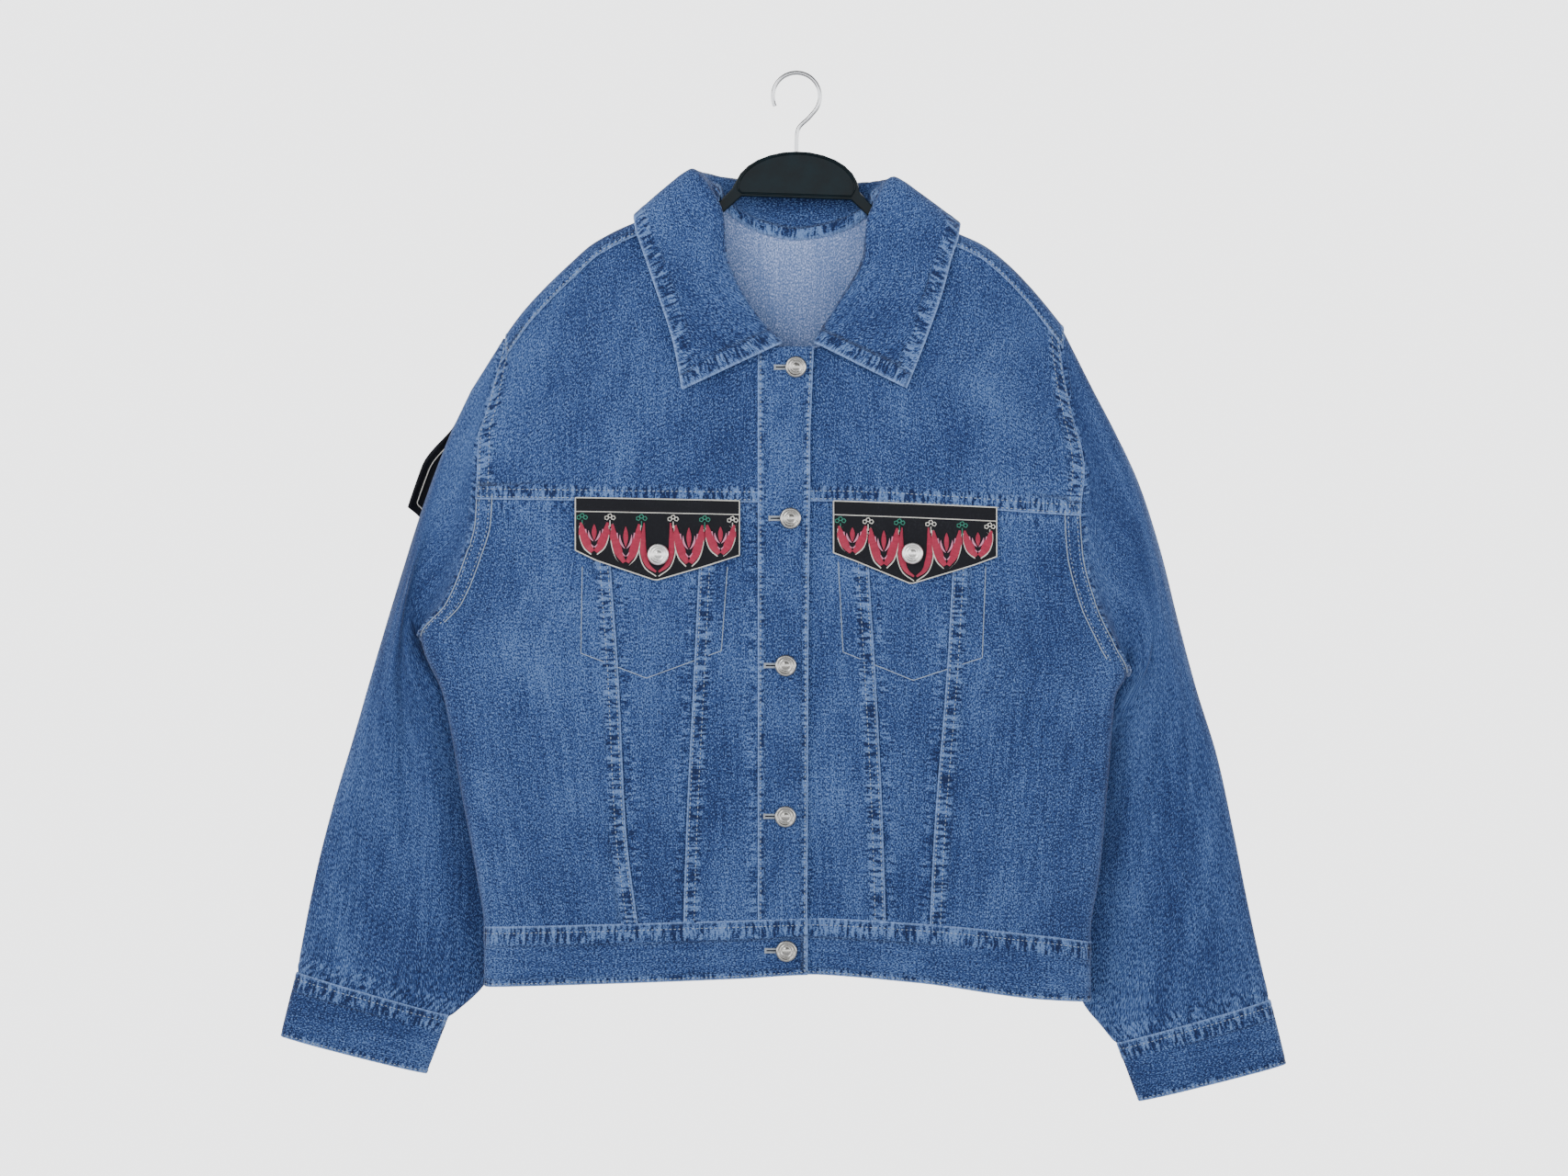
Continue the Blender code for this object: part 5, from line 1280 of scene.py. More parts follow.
def sleeves():
    for side, hand in SIDES:
        share = round_shares(40)
        around = np.concatenate((share, 1 + share[1:]))
        at = int(np.argmin(np.abs(around - BACK_SLEEVE_SEAM)))
        rings = np.concatenate(([-1.0], np.linspace(0, len(SLEEVE[side].keys), int(520 / pitch()))))
        points = sleeve_point(side, *np.meshgrid(around, rings))
        points[:, -1] = points[:, 0]
        run, across = lengths(points, 0), lengths(points, 1)
        low_end = run[-1] - run
        off = side * (across - across[:, at][:, None])
        band = ease((off + 1) / 1.5) * (1 - ease((off - 10.5) / 2.0)) * (rings > 0)[:, None]
        edge = np.exp(-((off / 2.0) ** 2)) * ease((-points[..., 2] - SLIT_TOP[side]) / 4)
        near_arm = (1 - ease((run - 12) / 6)) * 0.8
        roped = (1 - ease((low_end - 14) / 8)) * 0.6
        crosswise = near_arm + roped > band
        strength = np.maximum(band * 0.8, np.maximum(near_arm, roped))
        along = np.where(crosswise, across, run)
        seam = np.stack((along, np.where(crosswise, run, off), strength), -1)
        height = 0.8 * band + 0.3 * strength * np.sin(along / 1.3 + 1.3 * np.sin(along / 11.0))
        height[0] = 0.0
        height = height - 0.9 * (1 - ease((low_end - 3) / 4))
        out = normals(points, True) * side
        out[:, -1] = out[:, 0]
        height[:, -1] = height[:, 0]
        shaped = points + out * height[..., None]
        for inset in (2.4, 8.4):
            target = across[:, at] + side * inset
            stitch_row("stitches_sleeves", *(
                [at_length(across[r], grid[r], target[r]) for r in range(3, len(rings) - 2, 2)]
                for grid in (shaped, out)
            ))
        # The slit's pale edge, and a bar tack across its top
        row = int(np.argmin(np.abs(-points[:, at, 2] - SLIT_TOP[side])))
        marks = across[row, at] + side * np.linspace(-0.5, 10.5, 8)
        tack, facing = (at_length(across[row], grid[row], marks) for grid in (shaped, out))
        edge_cord("stitches_sleeves", tack, facing, 0.9)
        edge_cord("stitches_sleeves", shaped[row:-2, at], out[row:-2, at], 0.8)
        cloth = grain(points, seed=30.0 + side)
        piece = cloth_grid("arm_" + hand, shaped, cloth, seam, edge * 0.3, 1.5, True, side == -1)
        settle(piece, "denim", "sleeve_" + hand)


def cuff_buttonholes():
    for side in (-1, 1):
        for level in (0.445, 0.515):
            marks = np.linspace(BACK_SLEEVE_SEAM - 0.075, BACK_SLEEVE_SEAM + 0.045, 10)
            path = cuff_point(side, marks, level, 4.7)
            edge_cord("stitches_sleeves", path, path - cuff_point(side, marks, level, 3.7), 0.6)


def cuffs():
    start = BACK_SLEEVE_SEAM - CUFF_LAP
    length = 2.0 + CUFF_LAP
    lap = 2 * CUFF_LAP / length
    u, v = np.meshgrid(np.linspace(0, 1, 97), lerp(-0.1, 1.0, spaced(48, 2.6, True, True)))
    out = 1.2 + 3.4 * clip((u - 1 + 1.9 * lap) / (0.9 * lap))
    edges = {"top": ROPE, "bottom": HEM, "right": HEM, "left": HEM}
    for side, hand in SIDES:
        points = cuff_point(side, start + u * length, v, out)
        dress("cuff_band_" + hand, "cuff_" + hand, points, edges, "stitches_sleeves", seed=34.0 + side,
              wall=BAND_WALL, turned=side == -1, turn=True)


def collar_section(place):
    """Points of the collar at each place, from the neck seam over the roll to the outer edge."""
    read = {column: COLLAR.mix(column, place) for column in COLLAR.columns}
    face = read["face"]
    seams = read["seam_x"], read["seam_d"]
    standing = np.maximum(np.where(face < 0, depth(1, *seams), depth(-1, *seams)) - 0.8, 5.7)
    neck = np.stack((read["seam_x"], face * standing, -read["seam_d"]), -1)
    roll = np.stack((read["roll_x"], read["roll_y"], -read["roll_d"]), -1)
    edge = np.stack((read["edge_x"], read["edge_y"], -read["edge_d"]), -1)
    turn = np.radians(read["turn"])
    out = np.stack((np.cos(turn), np.sin(turn), 0 * turn), -1)
    centre = np.stack((0 * turn, neck[..., 1], np.where(face < 0, -150.0, -90.0)), -1)
    seam = neck + unit(centre - neck) * 2.7
    inner = roll + unit(neck - roll) * 3.2 - out * 2.3
    outer = roll + unit(edge - roll) * 3.6 + out * 2.3
    middle = (inner + seam) / 2 - out * 0.3
    # Behind the neck, the edge is felled down over the inside of the yoke
    felled = seam + np.stack((0 * face, -0.3 - 0 * face, -5.0 * clip((face + 1) / 2)), -1)
    return np.stack((felled, seam, middle, inner, roll, outer, lerp(outer, edge, 0.3) + out * 1.2,
                     lerp(outer, edge, 0.65) + out, edge), -2)


def collar():
    places = spaced(690, pitch(), True, True) * (len(COLLAR.keys) - 1)
    shares = spaced(95, 3.0, False, True)
    rows = []
    for section in collar_section(places):
        run = lengths(section, 0)
        rows.append(np.stack([Curve(run, section[:, i])(shares * run[-1]) for i in range(3)], -1))
    points = np.array(rows).transpose(1, 0, 2)
    across, down = lengths(points, 1), lengths(points, 0)
    fall = clip((down[-1:] - down) / 60)
    wave = 0.8 * np.sin(across / 31.0) * (1 - fall)
    points = points - normals(points) * wave[..., None]
    rope = ("rope", 11.0)
    edges = {"left": rope, "right": rope, "bottom": rope, "top": ("hem", 8.0)}
    dress("collar_cloth", "collar", points, edges, "stitches_collar", seed=41.0, wall=2.3, turned=True,
          offset=0.0, turn=True, inside="denim")


# Trim

def straight(rows, column, key):
    """Reads one column of rows in straight lines between their first column's keys."""
    return np.interp(key, [row[0] for row in rows], [row[column] for row in rows])


def edge_cord(group, path, out, radius):
    """A thin piping along a path of points in mm, standing on the cloth."""
    path = np.asarray(path, float)
    out = unit(np.asarray(out, float))
    side = np.cross(out, unit(np.gradient(path, axis=0)))
    verts, faces, threads = STITCHES.setdefault(group, ([], [], []))
    base = len(verts)
    run = lengths(path, 0)
    for i in range(len(path)):
        for j, angle in enumerate((-100, -45, 0, 45, 100)):
            turn = math.radians(angle)
            sideways, up = radius * math.sin(turn), radius * (0.1 + math.cos(turn))
            verts.append(path[i] + side[i] * sideways + out[i] * up)
            threads.append((run[i], j * 0.6, 0))
    for i in range(len(path) - 1):
        for j in range(4):
            a = base + i * 5 + j
            faces.append((a, a + 5, a + 6, a + 1))


def pocket_flaps():
    for side, hand in SIDES:
        rows = FLAPS[side]
        x0, x1 = rows[0][0], rows[-1][0]
        u, v = np.meshgrid(spaced(x1 - x0, 3.0, True, True), spaced(55, 3.0, True, True))
        x = lerp(x0, x1, u)
        drop = lerp(straight(rows, 1, x), straight(rows, 2, x), v)
        points = on_body(1, x, drop, 2.5 + 0.5 * v + 0.5 * np.sin(u * 9.0 + side) * v)
        shaped = dress("flap_" + hand, "pocket_flap_" + hand, points, seed=50.0 + side, wall=1.8, **BLACK)
        out = normals(shaped)
        for cells in (np.s_[:, 0], np.s_[-1], np.s_[::-1, -1], np.s_[0]):
            edge_cord("flap_piping", shaped[cells], out[cells], 0.5)
        edge_cord("flap_piping", *inset_row(shaped, out, "top", 11.0), 0.4)


def shoulder_strips():
    for side, hand in SIDES:
        outer = STRIP_END[side]
        us = spaced(outer - STRIP_START, 3.2, False, True)
        u, along = np.meshgrid(us, np.linspace(-9.5, 14.0, 13))
        points = over_ridge(lerp(side * STRIP_START, side * outer, u), along)
        points = points + normals(points) * side * 1.9
        edges = {"top": HEM, "bottom": HEM, "right": HEM}
        dress("strap_" + hand, "shoulder_strip_" + hand, points, edges, "stitches_front", seed=55.0 + side,
              wall=1.5, turned=side == -1, turn=True)


def band_place(off, v):
    """(x, drop) on the cape band: off is -1..1 across the back and v runs from its top to its lower edge."""
    top_off, low_off = (half * off for half in BAND_HALF)
    top = BAND_EDGE.at("top", np.abs(top_off))
    low = BAND_LOW.at("low", np.abs(low_off))
    return BACK_CENTRE + lerp(top_off, low_off, v), lerp(top, low, v)


def pennant_corners(side):
    """A pennant's corners as (x, drop), round from its upper one at +x. Side 0 is the middle pennant."""
    if side == 0:
        (a, d), (b, e), (c, f) = PENNANTS["centre"]
        return (BACK_CENTRE + b, e), (BACK_CENTRE + a, d), (BACK_CENTRE + c - 3, f), (BACK_CENTRE + c + 3, f)
    corners = [(BACK_CENTRE + side * off, drop) for off, drop in PENNANTS["side"]]
    first, second, third, tip = corners
    return (first, second, third, tip) if side == -1 else (second, first, tip, third)


def pennant_place(side, u, v):
    start, end, low_end, low_start = pennant_corners(side)
    x = lerp(lerp(start[0], end[0], u), lerp(low_start[0], low_end[0], u), v)
    drop = lerp(lerp(start[1], end[1], u), lerp(low_start[1], low_end[1], u), v)
    return x, drop


def arm_flap_base(side, u, t):
    """Points under the arm flap: u is -1..0 on the back and 0..1 on the sleeve, and t runs down."""
    top, armpit = ARMPIT[side]
    v = lerp(ARM_FLAP_START + ARM_FLAP_SLANT * u, 1.0, t)
    share = ARM_FLAP_END * v
    drop = lerp(top, armpit, share) + ARM_FLAP_FALL * v * v * clip(-u)
    inner = BACK_CENTRE + side * ARM_FLAP.at("off", drop)
    seam = SIDE[side].at("seam", drop)
    on_back = on_body(-1, lerp(seam, inner, clip(-u)), drop)
    on = clip(u)
    bowed = share + ARM_FLAP_BOW * v * v * on
    on_arm = sleeve_point(side, 1 + bowed * (1 - on), ARM_FLAP_RINGS[side] * v * on)
    return np.where((u <= 0)[..., None], on_back, on_arm)


def arm_flap_grid(side):
    """The arm flap's points and outward directions, smoothed where it crosses the armhole."""
    u, v = np.meshgrid(np.linspace(*ARM_FLAP_SPAN, 48), np.linspace(0, 1, 56))
    base = arm_flap_base(side, u, v)
    out = normals(base)
    out = out * np.where(out[..., 1:2] + side * out[..., 0:1] * 0.8 < 0, -1, 1)
    for _ in range(3):
        out[:, 1:-1] = out[:, :-2] + out[:, 1:-1] + out[:, 2:]
        out = unit(out)
    # Its inner edge dips below the pennant's
    points = base + out * (0.6 + 1.6 * clip((u - ARM_FLAP_SPAN[0]) / 0.3) + 2.4 * clip(3 * u))[..., None]
    for _ in range(6):
        points[:, 1:-1] = (points[:, :-2] + 2 * points[:, 1:-1] + points[:, 2:]) / 4
    if side == -1:
        # On the wearer's right its outer edge stands proud of the sleeve's fold
        points[..., 0] -= ARM_FLAP_PROUD * ease((u - 0.35) / 0.58) * ease((v - 0.02) / 0.55)
    return points, out


def cape():
    off, v = np.meshgrid(np.linspace(1, -1, 110), np.linspace(0, 1, 24))
    x, drop = band_place(off, v)
    shaped = dress("cape_yoke", "cape_band", on_body(-1, x, drop, 2.2), seed=60.0, **BLACK)
    out = normals(shaped)
    for share in (0.065, 0.218, 1.0):
        level = share * (len(shaped) - 1)
        row = min(int(level), len(shaped) - 2)
        path, facing = (lerp(grid[row], grid[row + 1], level - row) for grid in (shaped, out))
        edge_cord("cape_piping", path, facing, CAPE_PIPING)
    for side, name in ((1, "left"), (-1, "right"), (0, "middle")):
        u, v = np.meshgrid(np.linspace(0, 1, 31 if side else 61), np.linspace(0, 1, 60))
        points = on_body(-1, *pennant_place(side, u, v), 2.0 + PENNANT_LIFT * v * v)
        dress("pennant_" + name, "cape_pennant_" + name, points, seed=62.0 + side, **BLACK)
    for side, hand in SIDES:
        points, out = arm_flap_grid(side)
        piece = cloth_grid("arm_flap_" + hand, points, grain(points, seed=66 + side), turned=side == 1,
                           outside="sateen", inside="sateen")
        settle(piece, "black_cloth", "cape_arm_" + hand)
        for margin, closed in ((5.0, True), (17.0, False)):
            edge_cord("cape_piping", *arm_flap_line(points, out, margin, closed), CAPE_PIPING)
        if side == -1:
            # Its underside shows beside the sleeve in the front view, so that is piped too
            path, facing = (np.array(line) for line in arm_flap_line(points, out, 7.0, True))
            edge_cord("cape_piping", path - 1.6 * facing, -facing, CAPE_PIPING)


def arm_flap_line(points, out, margin, closed):
    """A path margin mm in from the arm flap's upper and outer edges, and its lower edge when closed."""
    rows, columns = points.shape[:2]
    down, across = lengths(points, 0), lengths(points, 1)
    low, outer = down[-1] - down, across[:, -1:] - across
    every_row, every_column = np.arange(rows), np.arange(columns)
    upper = [(np.interp(margin, down[:, c], every_row), c) for c in every_column]
    beside = [(r, np.interp(-margin, -outer[r], every_column)) for r in every_row]
    below = [(np.interp(-margin, -low[:, c], every_row), c) for c in every_column[::-1]]

    def read(grid, r, c):
        i, j = min(int(r), rows - 2), min(int(c), columns - 2)
        s, t = r - i, c - j
        return lerp(lerp(grid[i, j], grid[i, j + 1], t), lerp(grid[i + 1, j], grid[i + 1, j + 1], t), s)

    path = [spot for spot in upper if read(outer, *spot) > margin]
    path += [spot for spot in beside if read(down, *spot) > margin and read(low, *spot) > margin]
    path += [spot for spot in below if read(outer, *spot) > margin] if closed else []
    return [read(points, *spot) for spot in path], [read(out, *spot) for spot in path]


# Embroidery

class Needlework:
    """Raised satin stitches on one piece. place(across, down, height) turns plan mm into points."""

    def __init__(self, name, place):
        self.name = name
        self.place = place
        self.made = {}
        self.count = {}

    def satin(self, colour, line, widths, height=0.9, mirror=None):
        """A satin-stitched stroke along a plan line, and its twin beyond mirror, a middle line's across."""
        line = np.asarray(line, float)
        if mirror is not None:
            twin = line.copy()
            twin[:, 0] = 2 * mirror - twin[:, 0]
            self.satin(colour, twin, widths, height)
        run = lengths(line, 0)
        count = max(2, int(run[-1] / 2.0) + 1)
        marks = np.linspace(0, run[-1], count)
        middle = at_length(run, line, marks)
        if np.ndim(widths):
            widths = np.interp(marks / run[-1], np.linspace(0, 1, len(widths)), widths)
        widths = np.ones(count) * widths
        along = unit(np.gradient(middle, axis=0))
        side = np.stack((-along[:, 1], along[:, 0]), -1) * widths[:, None] / 2
        left, right = middle - side, middle + side
        top = height * np.minimum(1.0, widths / 2.2)
        plan = np.stack((left, middle, right), 1).reshape(-1, 2)
        heights = np.stack((0.0 * marks, top, 0.0 * marks), 1).ravel()
        verts, faces, threads = self.made.setdefault(colour, ([], [], []))
        base = 3 * self.count.get(colour, 0)
        self.count[colour] = self.count.get(colour, 0) + count
        verts.append((plan, heights))
        seed = 11.0 * len(verts)
        threads.append(np.stack((
            np.repeat(marks, 3) + seed, np.tile((0.0, 1.0, 2.0), count), np.full(count * 3, seed),
        ), -1))
        cells = base + 3 * np.arange(count - 1)[:, None] + np.array([[0, 1]])
        faces.append(np.stack((cells, cells + 1, cells + 4, cells + 3), -1).reshape(-1, 4))

    def leaf(self, colour, start, end, width, bend=0.0, height=1.1, mirror=None):
        """A pointed leaf between two plan points, bowed sideways by bend."""
        start, end = np.array(start, float), np.array(end, float)
        t = np.linspace(0, 1, 13)
        across = np.array((-(end - start)[1], (end - start)[0]))
        line = start + (end - start) * t[:, None] + across * (4 * bend * t * (1 - t))[:, None]
        self.satin(colour, line, width * np.sin(math.pi * clip(t, 0.03, 0.985)) ** 0.75, height, mirror)

    def vine(self, colour, knots, widths, height=0.8, mirror=None):
        """A stroke that flows smoothly through plan points."""
        self.satin(colour, flow(knots), widths, height, mirror)

    def curl(self, colour, centre, radius, start, sweep, widths, height=0.8, mirror=None):
        """A spiral that winds in to its centre, angles in degrees."""
        t = np.linspace(0, 1, 40)
        angle = np.radians(start + sweep * t)
        reach = radius * (1 - 0.86 * t)
        line = np.stack((centre[0] + reach * np.cos(angle), centre[1] + reach * np.sin(angle)), -1)
        self.satin(colour, line, widths, height, mirror)

    def rays(self, colour, centre, inner, outer, count, width, first=0.0, height=1.0, mirror=None):
        """A star or flower of leaves round a centre."""
        for i in range(count):
            angle = math.radians(first + 360 * i / count)
            way = np.array((math.cos(angle), math.sin(angle)))
            root, tip = (np.array(centre) + way * reach for reach in (inner, outer))
            self.leaf(colour, root, tip, width, 0.0, height, mirror)

    def ring(self, colour, centre, radius, width, height=0.8, scallops=0, depth_of=0.0, mirror=None):
        angle = np.linspace(0, 2 * math.pi, 73)
        reach = radius + depth_of * np.abs(np.sin(angle * scallops / 2))
        line = np.stack((centre[0] + reach * np.cos(angle), centre[1] + reach * np.sin(angle)), -1)
        self.satin(colour, line, width, height, mirror)

    def spray(self, colour, start, end, count, length, width, mirror=None):
        """A stem with paired leaves."""
        start, end = np.array(start, float), np.array(end, float)
        self.satin(colour, [start, end], (1.4, 1.0), 0.7, mirror)
        way = (end - start) / np.linalg.norm(end - start)
        side = np.array((-way[1], way[0]))
        for i in range(count):
            t = (i + 0.6) / count
            root = lerp(start, end, t)
            reach = length * (1 - 0.45 * t)
            for hand in (-1, 1):
                tip = root + way * reach * 0.62 + side * hand * reach * 0.8
                self.leaf(colour, root, tip, width, 0.08 * hand, 0.9, mirror)
        self.leaf(colour, end - way, end + way * length * 0.75, width, 0.0, 0.9, mirror)

    def sew(self):
        """One mesh for each colour of thread."""
        for colour, (verts, faces, threads) in self.made.items():
            plan = np.concatenate([part[0] for part in verts])
            heights = np.concatenate([part[1] for part in verts])
            points = self.place(plan[:, 0], plan[:, 1], heights)
            quads = np.concatenate(faces).tolist()
            piece = mesh_object(f"{self.name}_{colour}", points * MM, quads, [finish(colour)])
            set_attribute(piece.data, "thread", "FLOAT_VECTOR", np.concatenate(threads))
            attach(piece, "root")


def flow(knots, pitch_mm=2.0):
    """A smooth plan line through the knots (Catmull-Rom)."""
    knots = np.asarray(knots, float)
    wide = np.vstack((2 * knots[0] - knots[1], knots, 2 * knots[-1] - knots[-2]))
    found = []
    for i in range(len(knots) - 1):
        a, b, c, d = wide[i:i + 4]
        count = max(2, int(np.linalg.norm(c - b) / pitch_mm))
        for t in np.linspace(0, 1, count, endpoint=False):
            found.append(0.5 * (2 * b + (c - a) * t + (2 * a - 5 * b + 4 * c - d) * t * t
                                + (3 * b - a - 3 * c + d) * t ** 3))
    found.append(knots[-1])
    return np.array(found)


def inside(points, corners, margin):
    """Which plan points lie within convex corners (clockwise on the page), margin mm in from each side."""
    points = np.asarray(points, float)
    keep = np.ones(len(points), bool)
    for a, b in zip(corners, corners[1:] + corners[:1]):
        edge = np.array(b, float) - np.array(a, float)
        normal = np.array((-edge[1], edge[0])) / np.linalg.norm(edge)
        keep &= (points - np.array(a, float)) @ normal > margin
    return keep


def trimmed(work, colour, start, end, width, corners, margin, height=0.6):
    """The part of a straight plan line that lies within the corners."""
    t = np.linspace(0, 1, 160)
    line = lerp(np.array(start, float), np.array(end, float), t[:, None])
    keep = np.flatnonzero(inside(line, corners, margin))
    if len(keep) > 2:
        work.satin(colour, line[[keep[0], keep[-1]]], width, height)


def inset_corners(corners, margin):
    """The corners of a convex plan shape moved in by margin on every side."""
    moved = []
    count = len(corners)
    for i in range(count):
        lines = []
        for a, b in ((corners[i - 1], corners[i]), (corners[i], corners[(i + 1) % count])):
            a, b = np.array(a, float), np.array(b, float)
            normal = np.array((-(b - a)[1], (b - a)[0])) / np.linalg.norm(b - a)
            lines.append((normal, normal @ a + margin))
        moved.append(tuple(np.linalg.solve([line[0] for line in lines], [line[1] for line in lines])))
    return moved


def border(work, colour, corners, margin, width, height=0.7):
    loop = inset_corners(corners, margin)
    for a, b in zip(loop, loop[1:] + loop[:1]):
        work.satin(colour, [a, b], width, height)


def diamond(work, colour, centre, wide, tall, width, filled=None):
    """A diamond's outline from its half width and half height, over satin when filled names a colour."""
    x, y = centre
    loop = [(x - wide, y), (x, y - tall), (x + wide, y), (x, y + tall), (x - wide, y)]
    if filled:
        work.satin(filled, [(x, y - tall), (x, y + tall)], (0.2, 2 * wide * 0.9, 0.2), 0.8)
    work.satin(colour, loop, width, 0.7)


def tulip(work, x, top, low, size):
    """The repeat of the borders: a crimson tulip between two curved leaves, with pale outlines."""
    tall = low - top
    for hand in (-1, 1):
        leaf_line = flow([
            (x + hand * 0.46 * size, top + 0.10 * tall), (x + hand * 0.40 * size, top + 0.42 * tall),
            (x + hand * 0.24 * size, top + 0.76 * tall), (x + hand * 0.05 * size, top + 0.98 * tall),
        ])
        work.satin("crimson", leaf_line, (0.07 * size, 0.28 * size, 0.32 * size, 0.15 * size), 1.1)
        rim = flow([
            (x + hand * 0.30 * size, top + 0.30 * tall), (x + hand * 0.25 * size, top + 0.54 * tall),
            (x + hand * 0.12 * size, top + 0.76 * tall), (x + hand * 0.02 * size, top + 0.84 * tall),
        ])
        work.satin("pink", rim, 0.045 * size, 0.5)
        outer = flow([
            (x + hand * 0.50 * size, top + 0.2 * tall), (x + hand * 0.50 * size, top + 0.5 * tall),
            (x + hand * 0.36 * size, top + 0.86 * tall), (x + hand * 0.1 * size, top + 1.06 * tall),
        ])
        work.satin("white", outer, 0.04 * size, 0.5)
    work.leaf("crimson", (x, top + 0.62 * tall), (x, top + 0.16 * tall), 0.17 * size)
    for hand in (-1, 1):
        root, tip = (x + hand * 0.03 * size, top + 0.66 * tall), (x + hand * 0.2 * size, top + 0.34 * tall)
        work.leaf("pink", root, tip, 0.07 * size, 0.12 * hand, 0.6)


def sprig(work, colour, x, top, size):
    """A three-leaved sprig with a knot, which stands between the tulips."""
    work.satin(colour, [(x, top + 0.62 * size), (x, top + 0.28 * size)], 0.05 * size, 0.5)
    for turn in (-62, 0, 62):
        angle = math.radians(turn)
        middle = (x + 0.2 * size * math.sin(angle), top + 0.24 * size - 0.2 * size * math.cos(angle))
        loop = [(middle[0] + 0.11 * size * math.cos(a), middle[1] + 0.11 * size * math.sin(a))
                for a in np.linspace(0, 2 * math.pi, 11)]
        work.satin(colour, loop, 0.05 * size, 0.55)
    for hand in (-1, 1):
        tip = (x + hand * 0.17 * size, top + 0.44 * size)
        work.leaf(colour, (x, top + 0.6 * size), tip, 0.06 * size, 0.1, 0.5)


def flap_needlework():
    crimson = ((10.5, 3), (11.5, 22), (8, 36), (1.0, 42))
    white = ((13.2, 5), (14.6, 24), (10.5, 38), (1.0, 45.5))
    for side, hand in SIDES:
        rows = FLAPS[side]
        work = Needlework("flap_stitching_" + hand, lambda a, b, h: on_body(1, a, b, 3.2 + h))
        x0, x1 = rows[0][0], rows[-1][0]
        step = (x1 - x0 - 5) / 5
        for i in range(5):
            x = x0 + 2.5 + (i + 0.5) * step
            low = float(straight(rows, 2, x)) - 5.5
            top = float(straight(rows, 1, x)) + 16.0
            if i != 2:
                tulip(work, x, top + 1.0, low, step * 0.92)
                continue
            # Two pairs of curved stems frame the button
            for turn in (-1, 1):
                for colour, line, widths, height in (
                    ("crimson", crimson, (1.0, 4.6, 5.0, 1.5), 1.1), ("white", white, 0.8, 0.5),
                ):
                    knots = [(x + turn * off, top + down) for off, down in line]
                    work.vine(colour, knots, widths, height)
        for i in range(6):
            x = min(max(x0 + 2.5 + i * step, x0 + 5.5), x1 - 5.5)
            top = float(straight(rows, 1, x)) + 12.5
            sprig(work, ("teal", "white")[i % 2], x, top + 1.0, 15.0)
        work.sew()


def band_needlework():
    def place(across, down, height):
        x, drop = band_place(across, down)
        return on_body(-1, x, drop, 2.3 + height)

    def plan(across, down, height):
        return place(across / 190.0, down / 78.0, height)

    work = Needlework("band_stitching", plan)
    count = 12
    step = 370.0 / count
    for i in range(count):
        tulip(work, -185 + (i + 0.5) * step, 28.0, 61.0, step * 0.94)
    for i in range(count + 1):
        x = min(max(-185 + i * step, -181), 181)
        sprig(work, ("white", "teal")[i % 2], x, 19.0, 20.0)
    for i in range(4 * count):
        x = -184 + (i + 0.5) * 368 / (4 * count)
        work.satin("white", [(x - 1.6, 72.6), (x + 1.6, 72.6)], 0.8, 0.4)
    work.sew()


def side_pennant_needlework():
    for side, name in ((1, "left"), (-1, "right")):
        corners = np.array([(side * off, drop) for off, drop in PENNANTS["side"]])

        def place(across, down, height, corners=corners):
            share = clip((corners[2, 0] - across) / (corners[2, 0] - corners[3, 0]))
            low = lerp(corners[2, 1], corners[3, 1], share)
            share = clip((down - 278) / (low - 278))
            return on_body(-1, BACK_CENTRE + across, down, 2.3 + PENNANT_LIFT * share**2 + height)

        work = Needlework("pennant_stitching_" + name, place)
        # The stitched field is smaller than the black cloth, which shows as a wide edge outside and below
        field = [(side * off, drop) for off, drop in ((108, 280), (195, 284), (207, 356), (186, 441))]
        if side == -1:
            field = [field[1], field[0], field[3], field[2]]
        border(work, "white", field, 1.0, 1.4)
        border(work, "white", field, 4.0, 1.0)
        for drop in (290.0, 306.0):
            trimmed(work, "white", (side * 90, drop), (side * 215, drop), 1.1, field, 5.0)
        zig = 7.0
        for i in range(20):
            x = side * (100 + i * zig)
            start, peak, end = (x, 291.5), (x + side * zig / 2, 304.5), (x + side * zig, 291.5)
            for a, b in ((start, peak), (peak, end)):
                if inside([a, b], field, 5.5).all():
                    work.satin("white", [a, b], 0.9, 0.6)
        for i in range(4):
            centre = (side * (145 + i * 22.5), 330.0)
            if inside([centre], field, 10.0).all():
                work.rays("wine" if i % 2 else "crimson", centre, 0.6, 11.0, 8, 5.4, 22.5)
                diamond(work, "white", centre, 13.0, 17.5, 1.0)
            for drop in (317.5, 342.5):
                between = (side * (133.75 + i * 22.5), drop)
                if inside([between], field, 7.0).all():
                    diamond(work, "white", between, 5.0, 5.6, 0.8, ("mauve", "turquoise")[i % 2])
        for drop in (311.5, 350.0):
            trimmed(work, "white", (side * 90, drop), (side * 215, drop), 1.1, field, 5.0)
        for row in range(10):
            for column in range(-3, 6):
                centre = (side * (172 + (column + 0.5 * (row % 2)) * 12.5), 358.0 + row * 8.6)
                if not inside([centre], field, 7.0).all():
                    continue
                edge = not inside([centre], field, 15.0).all()
                fill = "turquoise" if edge else ("wine", "crimson", "mauve")[(row + column) % 3]
                diamond(work, "white", centre, 5.6, 7.8, 0.9, fill)
                work.satin("white", [(centre[0] - 1.6, centre[1]), (centre[0] + 1.6, centre[1])], 0.8, 0.95)
        work.sew()


